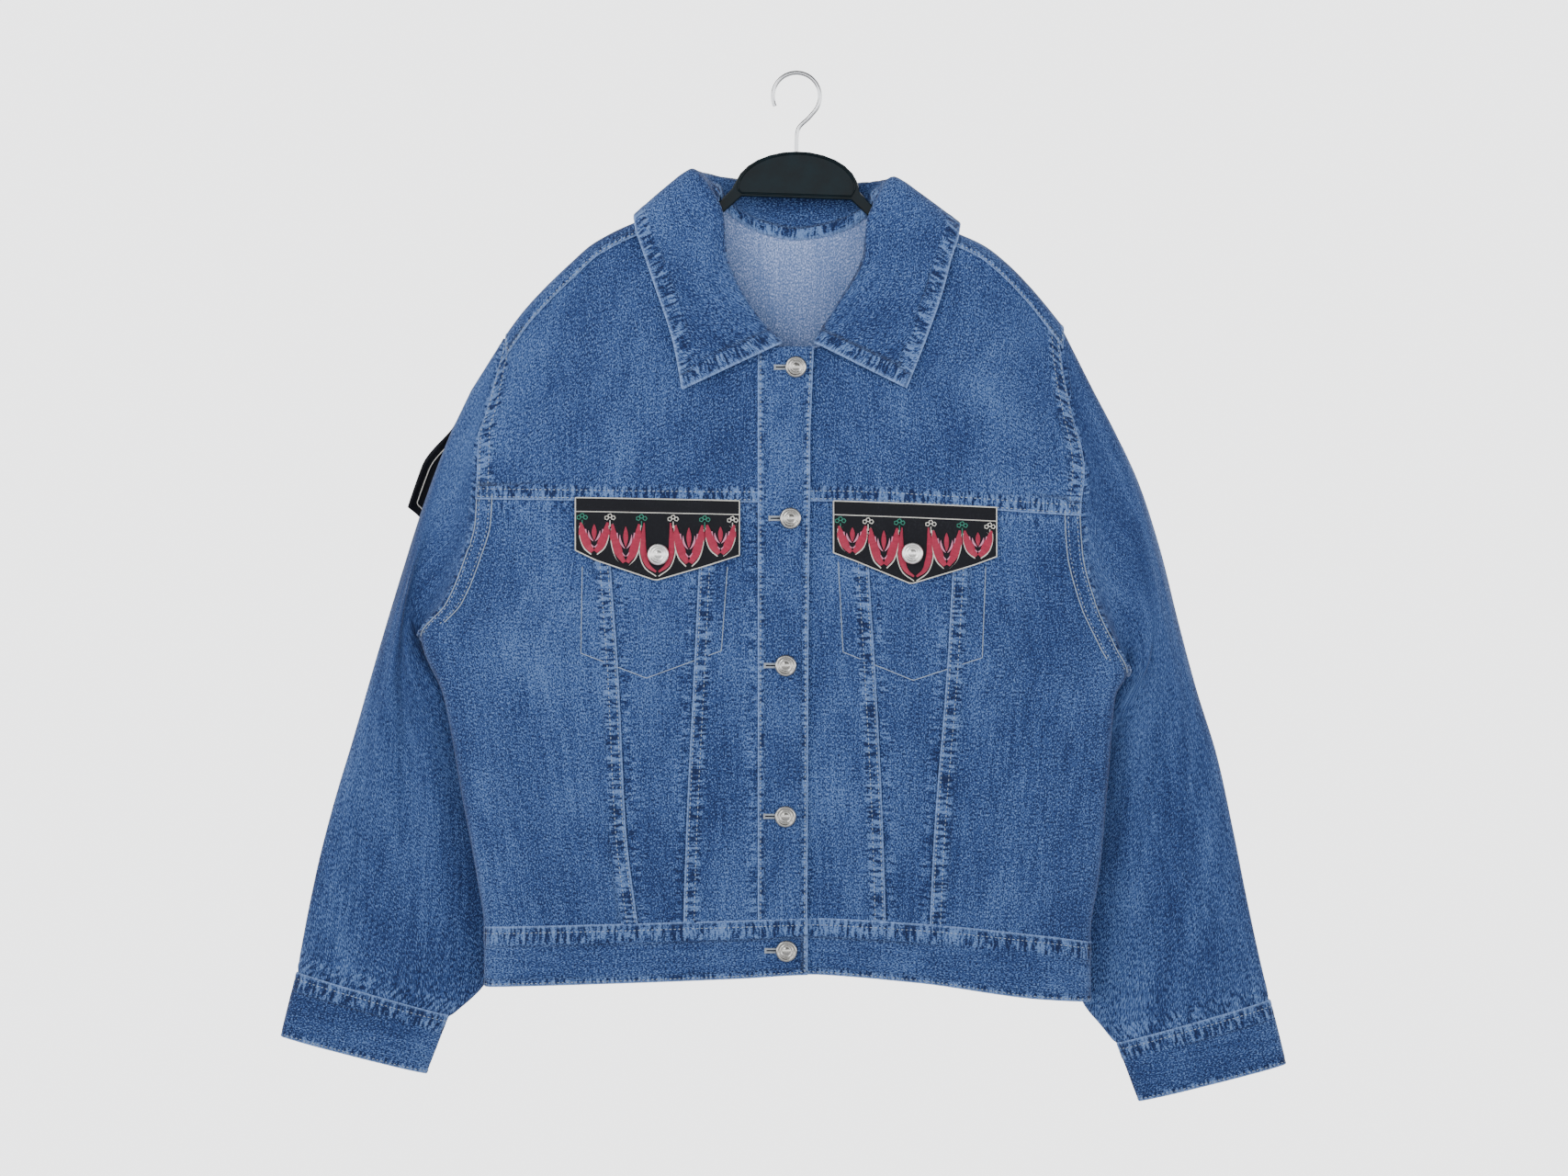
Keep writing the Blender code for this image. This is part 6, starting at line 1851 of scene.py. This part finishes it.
def centre_pennant_needlework():
    low = 482.0

    def place(across, down, height):
        share = clip((down - 275.8) / (low - 275.8))
        return on_body(-1, BACK_CENTRE + across, down, 2.1 + PENNANT_LIFT * share**2 + height)

    work = Needlework("pennant_stitching_middle", place)
    field = [(-91, 280), (91, 280), (0, 466)]
    border(work, "white", field, 0.5, 1.5)
    border(work, "white", field, 3.4, 0.8)
    reach = 260
    for i in range(-34, 35):
        x = i * 6.2
        for lean in (-0.62, 0.62):
            trimmed(work, "tan", (x, 303), (x + lean * reach, 303 + reach), 0.8, field, 4.5, 0.35)
    for drop in (283.5, 302.0):
        trimmed(work, "white", (-110, drop), (110, drop), 1.4, field, 3.0)
    for i in range(-4, 5):
        centre = (i * 17.5, 292.8)
        if inside([centre], field, 9.0).all():
            work.ring("white", centre, 6.8, 1.0)
            work.rays("white", centre, 0.4, 6.4, 6, 1.6)
    shapes = (
        (0, 330, 17, 21, "pink"), (-38, 328, 10, 13, "turquoise"), (38, 328, 10, 13, "turquoise"),
        (-19, 354, 11, 14, "turquoise"), (19, 354, 11, 14, "turquoise"), (0, 378, 17, 21, "pink"),
        (-30, 378, 7, 9, "pink"), (30, 378, 7, 9, "pink"), (0, 414, 9, 12, "turquoise"),
        (-60, 316, 7, 9, "pink"), (60, 316, 7, 9, "pink"), (0, 438, 5, 7, "pink"),
    )
    for x, drop, wide, tall, colour in shapes:
        diamond(work, colour, (x, drop), wide, tall, 2.4)
        inner = "sky" if colour == "pink" else "pink"
        diamond(work, "white", (x, drop), wide * 0.62, tall * 0.62, 0.9, inner)
        for hand in (-1, 1):
            root, tip_x = (x + hand * wide * 0.9, drop), x + hand * (wide + 7.5)
            work.leaf(colour, root, (tip_x, drop - 6), 2.0, 0.1 * hand, 0.7)
            work.leaf(colour, root, (tip_x, drop + 6), 2.0, -0.1 * hand, 0.7)
    work.sew()


def arm_flap_strip(side):
    """Places a strip on the arm flap: across runs along its upper and outer edges, down goes in from them."""
    points = arm_flap_grid(side)[0]
    rows, columns = points.shape[:2]
    first = (np.arange(rows - 1)[:, None] * columns + np.arange(columns - 1)).ravel()
    quads = np.stack((first, first + 1, first + columns + 1, first + columns), -1)
    tree = BVHTree.FromPolygons(points.reshape(-1, 3).tolist(), quads.tolist())
    edge = np.concatenate((points[0], points[1:, -1]))
    edge = np.stack((side * (edge[:, 0] - BACK_CENTRE), -edge[:, 2]), -1)
    run = lengths(edge, 0)
    marks = np.arange(0.0, run[-1], 2.0)
    line = at_length(run, edge, marks)
    for _ in range(40):
        line[1:-1] = (line[:-2] + 2 * line[1:-1] + line[2:]) / 4
    way = unit(np.gradient(line, axis=0))

    def place(across, down, height):
        off, drop, way_off, way_drop = (np.interp(across, marks, field) for field in (*line.T, *way.T))
        found = []
        for x, z, lift in zip(BACK_CENTRE + side * (off - way_drop * down), -drop - way_off * down, height):
            # Rays come from behind; a spot that misses takes the nearest point
            spot, out, *_ = tree.ray_cast(Vector((x, 300.0, z)), Vector((0, -1, 0)))
            if spot is None:
                spot, out, *_ = tree.find_nearest(Vector((x, 20.0, z)))
            found.append(tuple(spot + out * (lift + 0.1) * (1 if out.y > 0 else -1)))
        return np.array(found)

    return place, run[-1]


def arm_flap_needlework():
    """The band's repeat again, its tulips' tops towards the arm flap's outer edge."""
    for side, hand in SIDES:
        place, length = arm_flap_strip(side)
        work = Needlework("arm_flap_stitching_" + hand, place)
        step = 33.0
        count = int((length - 45) / step)
        for i in range(count):
            middle = length - 27 - i * step
            tulip(work, middle, 25.0, 56.0, step * 0.94)
            sprig(work, ("teal", "white")[i % 2], middle + step / 2, 20.0, 18.0)
        sprig(work, ("teal", "white")[count % 2], length - 27 - (count - 0.5) * step, 20.0, 18.0)
        work.sew()


def panel_needlework():
    """The back panel: a round flower, side vines, plumes, asters and corner sprigs."""

    def place(across, down, height):
        # The lowest motifs are moved closer together, to end above the waistband
        down = np.where(down > 600, lerp(600.0, down, 0.88), down)
        return on_body(-1, BACK_CENTRE + across, down, 0.15 + height)

    work = Needlework("panel_stitching", place)
    heart = (0.0, 546.0)

    def around(radius, degrees):
        angle = math.radians(degrees)
        return heart[0] + radius * math.cos(angle), heart[1] + radius * math.sin(angle)

    for i in range(8):
        turn = 22.5 + 45 * i
        base, tip = around(20, turn), around(73, turn)
        work.leaf("gold", base, tip, 30.0, 0.0, 1.0)
        work.leaf("crimson", around(22, turn), around(65, turn), 20.0, 0.0, 2.0)
        work.leaf("wine", around(30, turn), around(56, turn), 3.0, 0.0, 2.6)
        for hand in (-1, 1):
            for reach, off in ((38, 9.2), (46, 8.8), (54, 7.0)):
                spread = hand * math.degrees(off / reach)
                root, tip = around(reach + 3, turn + spread * 1.3), around(reach - 2, turn + spread * 0.62)
                work.leaf("gold", root, tip, 1.8, 0.0, 2.0)
    work.ring("mauve", heart, 25.0, 9.0, 2.2, 8, 3.0)
    work.ring("pink", heart, 30.0, 1.6, 2.4, 8, 3.0)
    work.rays("turquoise", heart, 2.0, 25.0, 16, 6.5, 0.0, 3.0)
    work.rays("gold", heart, 0.2, 8.0, 10, 3.4, 0.0, 3.6)
    for i in range(8):
        turn = 45 * i
        if 225 < turn < 315:
            continue
        for hand, reach in ((-1, 96), (0, 99), (1, 96)):
            start = around(60, turn + hand * 3)
            work.leaf("pink", start, around(reach, turn + hand * 9.5), 4.4, 0.12 * hand, 1.2)
    # A motif that is given mirror is worked on both sides of the middle line
    mirror = 0.0
    # Side vines that climb from the lower corners
    work.vine("turquoise", [(118, 640), (126, 610), (122, 580), (110, 556), (116, 530), (130, 516)],
              (0.8, 4.6, 5.4, 4.2, 2.8, 1.2), 1.2, mirror)
    work.vine("pink", [(58, 662), (86, 652), (104, 626), (106, 596), (94, 574)], (0.8, 4.8, 5.4, 4.0, 1.4),
              1.2, mirror)
    work.vine("pink", [(64, 655), (86, 644), (98, 624), (99, 600)], (0.6, 2.2, 2.2, 1.0), 0.9, mirror)
    work.curl("pink", (101, 572), 8.0, 120, -520, (3.0, 2.4, 1.4), 1.0, mirror)
    work.curl("turquoise", (131, 508), 7.0, 90, 500, (2.8, 2.2, 1.2), 1.0, mirror)
    work.curl("turquoise", (106, 640), 9.0, -20, 540, (3.2, 2.4, 1.4), 1.0, mirror)
    for x, drop, way in ((124, 600, 1), (122, 584, -1), (113, 562, -1), (114, 540, 1), (121, 622, -1)):
        work.leaf("turquoise", (x, drop), (x + way * 12, drop - 13), 5.0, 0.12 * way, 1.1, mirror)
    for x, drop, way in ((104, 622, -1), (106, 604, 1), (96, 640, -1), (84, 650, 1)):
        work.leaf("pink", (x, drop), (x + way * 9, drop - 15), 4.4, 0.12 * way, 1.1, mirror)
    # Upper gaps between the pennants
    work.vine("pink", [(96, 430), (100, 400), (106, 372), (103, 350)], (1.0, 4.4, 4.6, 1.2), 1.1, mirror)
    work.vine("turquoise", [(108, 440), (114, 410), (113, 384), (105, 362)], (1.0, 4.4, 5.0, 1.2),
              1.1, mirror)
    work.curl("pink", (91, 432), 7.5, 20, 480, (3.0, 2.2, 1.2), 1.0, mirror)
    work.curl("turquoise", (114, 447), 7.0, 160, -480, (3.0, 2.2, 1.2), 1.0, mirror)
    for x, drop, way in ((98, 412, -1), (101, 394, -1), (104, 376, -1)):
        work.leaf("pink", (x, drop), (x + way * 9, drop - 14), 3.8, 0.12 * way, 1.0, mirror)
    for x, drop, way in ((113, 420, 1), (114, 402, 1), (112, 386, 1)):
        work.leaf("turquoise", (x, drop), (x + way * 9, drop - 13), 3.8, 0.12 * way, 1.0, mirror)
    work.rays("gold", (102, 330), 0.5, 10.0, 4, 3.0, 0.0, 1.2, mirror)
    work.rays("white", (102, 310), 0.4, 5.0, 6, 1.6, 0.0, 0.8, mirror)
    # Sprigs beside the pennant's tip
    work.spray("pink", (62, 486), (50, 446), 4, 15.0, 3.2, mirror)
    # Stars and asters
    work.rays("gold", (129, 471), 2.0, 15.5, 14, 4.2, 0.0, 1.4, mirror)
    work.rays("gold", (134, 566), 1.5, 11.8, 12, 3.6, 8.0, 1.3, mirror)
    work.rays("mauve", (104, 514), 1.5, 15.0, 14, 3.8, 0.0, 1.2, mirror)
    work.rays("mauve", (133, 660), 1.5, 12.8, 12, 3.8, 0.0, 1.2, mirror)
    work.rays("turquoise", (61, 640), 1.0, 10.8, 10, 4.2, 0.0, 1.3, mirror)
    work.rays("gold", (32, 668), 0.6, 8.5, 4, 2.8, 45.0, 1.1, mirror)
    work.rays("pink", (88, 676), 0.5, 8.0, 6, 3.2, 0.0, 1.1, mirror)
    work.rays("mauve", (0, 676), 1.5, 11.0, 14, 2.8, 0.0, 1.2)
    work.rays("white", (0, 676), 0.4, 4.0, 7, 1.8, 0.0, 1.5)
    # Fans that fill the sides
    for turn in (-70, -44, -18):
        angle = math.radians(turn)
        tip = (118 + 27 * math.cos(angle), 500 + 27 * math.sin(angle))
        work.leaf("turquoise", (118, 500), tip, 3.6, 0.1, 1.0, mirror)
    for turn in (150, 176, 202):
        angle = math.radians(turn)
        tip = (96 + 24 * math.cos(angle), 470 + 24 * math.sin(angle))
        work.leaf("pink", (96, 470), tip, 3.6, -0.1, 1.0, mirror)
    work.rays("turquoise", (80, 523), 0.5, 7.0, 7, 3.0, 10.0, 1.1, mirror)
    work.rays("pink", (126, 548), 0.5, 9.0, 4, 3.2, 20.0, 1.1, mirror)
    work.spray("mauve", (96, 668), (78, 640), 3, 9.0, 2.8, mirror)
    work.vine("turquoise", [(78, 604), (90, 618), (90, 636)], (0.8, 3.4, 1.0), 1.0, mirror)
    work.rays("pink", (74, 600), 0.4, 6.5, 6, 2.6, 0.0, 1.0, mirror)
    work.vine("pink", [(118, 690), (132, 684), (139, 670)], (0.8, 3.0, 1.0), 1.0, mirror)
    work.leaf("gold", (122, 652), (116, 664), 3.0, 0.1, 1.0, mirror)
    # Plumes at the upper sides and sprigs in the lower corners
    work.spray("turquoise", (126, 452), (132, 398), 5, 11.0, 3.4, mirror)
    work.spray("pink", (76, 440), (86, 392), 5, 10.5, 3.2, mirror)
    work.spray("mauve", (126, 694), (133, 676), 3, 8.0, 2.8, mirror)
    work.spray("mauve", (112, 588), (118, 606), 2, 7.0, 2.4, mirror)
    work.rays("gold", (118, 348), 0.5, 6.5, 9, 2.2, 0.0, 1.0, mirror)
    work.rays("white", (66, 512), 0.4, 5.0, 6, 1.7, 0.0, 0.8, mirror)
    # Lower garland
    work.vine("pink", [(4, 650), (20, 656), (38, 652), (50, 638)], (1.0, 4.2, 4.4, 1.2), 1.1, mirror)
    work.curl("pink", (45, 632), 6.5, 60, -450, (2.8, 2.2, 1.2), 1.0, mirror)
    work.spray("turquoise", (10, 640), (34, 634), 4, 9.5, 3.0, mirror)
    work.vine("turquoise", [(46, 682), (66, 668), (88, 660), (110, 668)], (0.8, 3.0, 3.4, 1.2), 1.0, mirror)
    work.curl("turquoise", (113, 675), 6.5, -90, 450, (2.6, 2.0, 1.0), 0.9, mirror)
    work.vine("mauve", [(140, 640), (137, 622), (141, 604), (138, 590)], (0.8, 2.6, 2.6, 0.9), 0.9, mirror)
    for drop, way in ((630, -1), (618, 1), (604, -1)):
        work.leaf("mauve", (139, drop), (139 + way * 7, drop - 9), 3.0, 0.1 * way, 0.9, mirror)
    work.sew()


# Buttons, hanger and hook

def turned(name, profile, steps, material, place, direction):
    """A lathe-turned part on its axis: profile is (radius, height) in mm."""
    angles = np.linspace(0, 2 * math.pi, steps, endpoint=False)
    verts, faces = [], []
    for radius, height in profile:
        for angle in angles:
            verts.append((radius * math.cos(angle), radius * math.sin(angle), height))
    for i in range(len(profile) - 1):
        for j in range(steps):
            a, b = i * steps + j, i * steps + (j + 1) % steps
            faces.append((a, b, b + steps, a + steps))
    faces.append(tuple(range(steps))[::-1])
    piece = mesh_object(name, np.array(verts) * MM, faces, [material])
    turn = Vector(direction).to_track_quat("Z", "X")
    piece.matrix_world = Matrix.LocRotScale(Vector(place) * MM, turn, None)
    return piece


def cloth_top(front, x, drop, height):
    """A point over the body's cloth, and the way that the cloth faces there."""
    place = on_body(front, x, drop, height)
    ahead = on_body(front, x, drop, height + 1.0)
    return place, (ahead - place) / np.linalg.norm(ahead - place)


BUTTON_PROFILE = (
    (6.2, 0.0), (7.4, 0.5), (8.5, 1.2), (8.65, 1.9), (8.2, 2.8), (7.4, 3.3), (6.8, 3.25), (6.3, 2.6),
    (5.9, 2.2), (5.4, 2.3), (5.0, 2.75), (4.6, 2.75), (4.2, 2.25), (3.3, 2.2), (2.9, 2.6), (1.8, 3.1),
    (0.7, 3.3), (0.05, 3.3),
)


def buttons():
    spots = []
    for number, (x, drop) in enumerate(FRONT_BUTTONS, 1):
        # The last one is on the waistband, whose cloth stands out further
        raised = 2.2 if number < len(FRONT_BUTTONS) else 2.8
        spots.append((f"button_front_{number}", *cloth_top(1, x, drop, raised)))
    for side, hand in SIDES:
        spots.append((f"button_flap_{hand}", *cloth_top(1, *FLAP_BUTTONS[side], 3.6)))
        around = BACK_SLEEVE_SEAM - 0.035
        across = cuff_point(side, around + 0.04, 0.48, 3.5) - cuff_point(side, around - 0.04, 0.48, 3.5)
        down = cuff_point(side, around, 1.0, 3.5) - cuff_point(side, around, 0.0, 3.5)
        out = unit(np.cross(across, down))
        place = cuff_point(side, around, 0.48, 4.9)
        spots.append((f"button_cuff_{hand}", place, out if out[1] > 0 else -out))
    for name, place, out in spots:
        metal = finish("pale_nickel" if "flap" in name else "nickel")
        button = turned("turned_" + name, BUTTON_PROFILE, 36, metal, place, out)
        settle(button, "nickel", name)


def hanger():
    """The frame's hanger has the right outline: it keeps it, with a finer finish and a moulded rim."""
    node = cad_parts["hanger"]
    node.data.materials.clear()
    node.data.materials.append(finish("hanger_plastic"))
    angles = [math.pi * i / 40 for i in range(41)]
    dome = [(-47.0 * math.cos(a), 92.5 - 28.5 * math.sin(a)) for a in angles]
    lower = [(44.0, 98.2), (22.0, 97.6), (0.0, 96.8), (-22.0, 96.2), (-44.0, 95.4)]
    loop = dome + lower
    for face in (-1, 1):
        path = np.array([(x, face * 3.5, -drop) for x, drop in loop + loop[:1]])
        out = np.tile((0.0, float(face), 0.0), (len(path), 1))
        edge_cord("hanger_rim", path, out, 0.9)
    verts, faces, _ = STITCHES.pop("hanger_rim")
    rim = mesh_object("hanger_rim", np.array(verts) * MM, faces, [finish("hanger_plastic")])
    settle(rim, "hanger_plastic")


def hook():
    wire = 1.7
    radius = 19.0
    centre = wire - radius
    route = []
    for i in range(41):
        angle = math.radians(lerp(205, -38, i / 40))
        route.append((radius * math.cos(angle), centre + radius * math.sin(angle)))
    route += [
        (11.8, -32.6), (9.2, -35.6), (5.8, -38.4), (3.0, -41.0), (1.2, -44.0), (0.3, -48.0), (0.0, -53.0),
        (0.0, -61.4),
    ]
    curve = bpy.data.curves.new("hook_wire", "CURVE")
    curve.dimensions = "3D"
    curve.bevel_depth = wire * MM
    curve.bevel_resolution = 6
    curve.use_fill_caps = True
    spline = curve.splines.new("NURBS")
    spline.points.add(len(route) - 1)
    for knot, (x, z) in zip(spline.points, route):
        knot.co = (x * MM, 0.0, z * MM, 1.0)
    spline.use_endpoint_u = True
    spline.order_u = 3
    spline.resolution_u = 2
    curve.materials.append(finish("wire"))
    piece = bpy.data.objects.new("hook_wire", curve)
    bpy.context.scene.collection.objects.link(piece)
    settle(piece, "hook_wire", "hook")


def pocket_bags():
    """The single rows of stitches that hold the pocket bags behind the lower fronts."""
    for side in (-1, 1):
        line = []
        for (x0, d0), (x1, d1) in zip(POCKET_BAGS[side], POCKET_BAGS[side][1:]):
            count = max(2, int(math.hypot(x1 - x0, d1 - d0) / 3))
            line += [(lerp(x0, x1, t), lerp(d0, d1, t)) for t in np.linspace(0, 1, count, endpoint=False)]
        line = np.array(line + [POCKET_BAGS[side][-1]])
        height = 0.1 + (right_dip(line[:, 0]) if side == 1 else 0.0)
        path = on_body(1, line[:, 0], line[:, 1], height)
        facing = path - on_body(1, line[:, 0], line[:, 1], height - 1.0)
        stitch_row("stitches_front", path, facing)
        edge_cord("stitches_front", path, facing, 0.3)


def buttonholes():
    """A corded slit beside each front button, and a short bar across its outer end; its gap is a black
    strand, a painted shadow.
    """
    rims = Needlework("buttonholes", lambda a, b, h: on_body(1, a, b, 1.4 + h))
    for x, drop in FRONT_BUTTONS:
        low, high = x - 16.5, x + 6.0
        rims.satin("buttonhole_thread", [(low, drop - 1.3), (high, drop - 1.3)], 1.5, 0.7)
        rims.satin("buttonhole_thread", [(low, drop + 1.3), (high, drop + 1.3)], 1.5, 0.7)
        rims.satin("buttonhole_thread", [(low - 0.3, drop - 2.2), (low - 0.3, drop + 2.2)], 1.5, 0.8)
        # A strand of black sateen in the slit: painted shadow where the gap shows only shade
        rims.satin("sateen", [(low + 0.6, drop), (high, drop)], 0.9, 0.3)
    rims.sew()


def gathered_stitches():
    """Turns the stitch rows and pipings gathered so far into meshes."""
    for group in ("stitches_front", "stitches_back", "stitches_waist", "stitches_sleeves", "stitches_collar"):
        make_stitches(group)
    for group in ("flap_piping", "cape_piping"):
        make_stitches(group, "white")


# Stage

def lamp(name, place, target, size, power, colour=(1.0, 1.0, 1.0)):
    light = bpy.data.lights.new(name, "AREA")
    light.shape = "RECTANGLE"
    light.size, light.size_y = size
    light.energy = power
    light.color = colour
    lamp_object = bpy.data.objects.new(name, light)
    bpy.context.scene.collection.objects.link(lamp_object)
    lamp_object.location = place
    lamp_object.rotation_euler = (Vector(target) - Vector(place)).to_track_quat("-Z", "Y").to_euler()


def stage():
    # The floor is level under the jacket and slopes gently away behind it
    corners = [(x, y, z) for y, z in ((-4.5, -1.0), (0.45, -1.0), (7.0, -2.15)) for x in (-4.0, 4.0)]
    floor = mesh_object("floor", corners, [(0, 1, 3, 2), (2, 3, 5, 4)], [], False)
    paper = Build("floor_paper")
    place = paper.nodes.new("ShaderNodeTexCoord").outputs["Object"]
    mottle = paper.noise(place, 3.0, 2.0)
    tone = paper.ramp(mottle, (0.3, (0.91, 0.91, 0.91)), (0.7, (0.94, 0.94, 0.94)))
    paper.put(paper.shader.inputs["Base Color"], tone)
    paper.shader.inputs["Roughness"].default_value = 0.9
    floor.data.materials.append(paper.material)
    world = bpy.data.worlds.new("studio")
    world.use_nodes = True
    nodes, links = world.node_tree.nodes, world.node_tree.links
    background = nodes["Background"]
    background.inputs["Color"].default_value = (0.965, 0.97, 0.98, 1.0)
    # A bright band round the horizon, softer above and below
    split = nodes.new("ShaderNodeSeparateXYZ")
    links.new(nodes.new("ShaderNodeTexCoord").outputs["Generated"], split.inputs[0])
    level = nodes.new("ShaderNodeMath")
    level.operation = "ABSOLUTE"
    links.new(split.outputs["Z"], level.inputs[0])
    band = nodes.new("ShaderNodeMapRange")
    band.interpolation_type = "SMOOTHSTEP"
    links.new(level.outputs[0], band.inputs["Value"])
    for socket, number in (("From Min", 0.17), ("From Max", 0.36), ("To Min", 3.3), ("To Max", 0.28)):
        band.inputs[socket].default_value = number
    links.new(band.outputs["Result"], background.inputs["Strength"])
    bpy.context.scene.world = world
    middle = (0.0, 0.0, -0.42)
    lamp("key", (-1.7, -2.0, 1.3), middle, (1.2, 1.2), 34.0)
    lamp("fill", (1.9, -2.2, 0.1), middle, (1.6, 1.6), 7.0)
    lamp("rear_key", (1.7, 2.0, 1.2), middle, (1.3, 1.3), 30.0)
    data = bpy.data.cameras.new("camera")
    data.lens = 85.0
    data.sensor_width = 36.0
    camera = bpy.data.objects.new("camera", data)
    bpy.context.scene.collection.objects.link(camera)
    camera.location = (-0.010, -2.98, -0.413)
    camera.rotation_euler = (math.radians(90), 0.0, 0.0)
    bpy.context.scene.camera = camera


# The add-on

class JACKET_OT_fronts(bpy.types.Operator):
    """Builds the front yokes, the lower front panels and the button placket"""

    bl_idname = "jacket.fronts"
    bl_label = "Fronts"

    def execute(self, context):
        front_yokes()
        lower_fronts()
        plackets()
        return {"FINISHED"}


class JACKET_OT_backs(bpy.types.Operator):
    """Builds the back yoke, the back sides and the black back panel"""

    bl_idname = "jacket.backs"
    bl_label = "Back"

    def execute(self, context):
        back_yoke()
        lower_back()
        return {"FINISHED"}


class JACKET_OT_waistbands(bpy.types.Operator):
    """Builds the waistband"""

    bl_idname = "jacket.waistbands"
    bl_label = "Waistband"

    def execute(self, context):
        waistbands()
        return {"FINISHED"}


class JACKET_OT_sleeves(bpy.types.Operator):
    """Builds the sleeves and their cuffs"""

    bl_idname = "jacket.sleeves"
    bl_label = "Sleeves"

    def execute(self, context):
        sleeves()
        cuffs()
        return {"FINISHED"}


class JACKET_OT_collar(bpy.types.Operator):
    """Builds the collar"""

    bl_idname = "jacket.collar"
    bl_label = "Collar"

    def execute(self, context):
        collar()
        return {"FINISHED"}


class JACKET_OT_trim(bpy.types.Operator):
    """Builds the pocket flaps, the shoulder strips and the black trim on the back"""

    bl_idname = "jacket.trim"
    bl_label = "Flaps and trim"

    def execute(self, context):
        pocket_bags()
        pocket_flaps()
        shoulder_strips()
        cape()
        gathered_stitches()
        return {"FINISHED"}


class JACKET_OT_embroidery(bpy.types.Operator):
    """Works the embroidery of the flaps and of the back's black cloth"""

    bl_idname = "jacket.embroidery"
    bl_label = "Embroidery"

    def execute(self, context):
        flap_needlework()
        band_needlework()
        side_pennant_needlework()
        centre_pennant_needlework()
        arm_flap_needlework()
        panel_needlework()
        return {"FINISHED"}


class JACKET_OT_buttons(bpy.types.Operator):
    """Builds the buttons"""

    bl_idname = "jacket.buttons"
    bl_label = "Buttons"

    def execute(self, context):
        buttons()
        buttonholes()
        cuff_buttonholes()
        return {"FINISHED"}


class JACKET_OT_hanger(bpy.types.Operator):
    """Finishes the hanger and builds its wire hook"""

    bl_idname = "jacket.hanger"
    bl_label = "Hanger and hook"

    def execute(self, context):
        hanger()
        hook()
        return {"FINISHED"}


class JACKET_OT_stage(bpy.types.Operator):
    """Builds the floor, the studio light and the camera"""

    bl_idname = "jacket.stage"
    bl_label = "Stage"

    def execute(self, context):
        stage()
        return {"FINISHED"}


STEPS = (
    JACKET_OT_fronts, JACKET_OT_backs, JACKET_OT_waistbands, JACKET_OT_sleeves, JACKET_OT_collar,
    JACKET_OT_trim, JACKET_OT_embroidery, JACKET_OT_buttons, JACKET_OT_hanger, JACKET_OT_stage,
)


class JACKET_PT_panel(bpy.types.Panel):
    """Lists the jacket's look settings and its building steps"""

    bl_idname = "JACKET_PT_panel"
    bl_label = "Denim jacket"
    bl_space_type = "VIEW_3D"
    bl_region_type = "UI"
    bl_category = "Jacket"

    def draw(self, context):
        look = context.scene.jacket_look
        for name in ("denim_dark", "denim_middle", "denim_pale", "seam_thread", "hanger_colour", "pitch",
                     "stitch_length", "stitch_width", "seed"):
            self.layout.prop(look, name)
        for step in STEPS:
            self.layout.operator(step.bl_idname)


CLASSES = (JacketLook, *STEPS, JACKET_PT_panel)


def register():
    for made in CLASSES:
        bpy.utils.register_class(made)
    bpy.types.Scene.jacket_look = bpy.props.PointerProperty(type=JacketLook)


def unregister():
    del bpy.types.Scene.jacket_look
    for made in reversed(CLASSES):
        bpy.utils.unregister_class(made)


def main():
    register()
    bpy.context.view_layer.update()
    for step in STEPS:
        group, name = step.bl_idname.split(".")
        getattr(getattr(bpy.ops, group), name)()


if __name__ == "__main__":
    main()
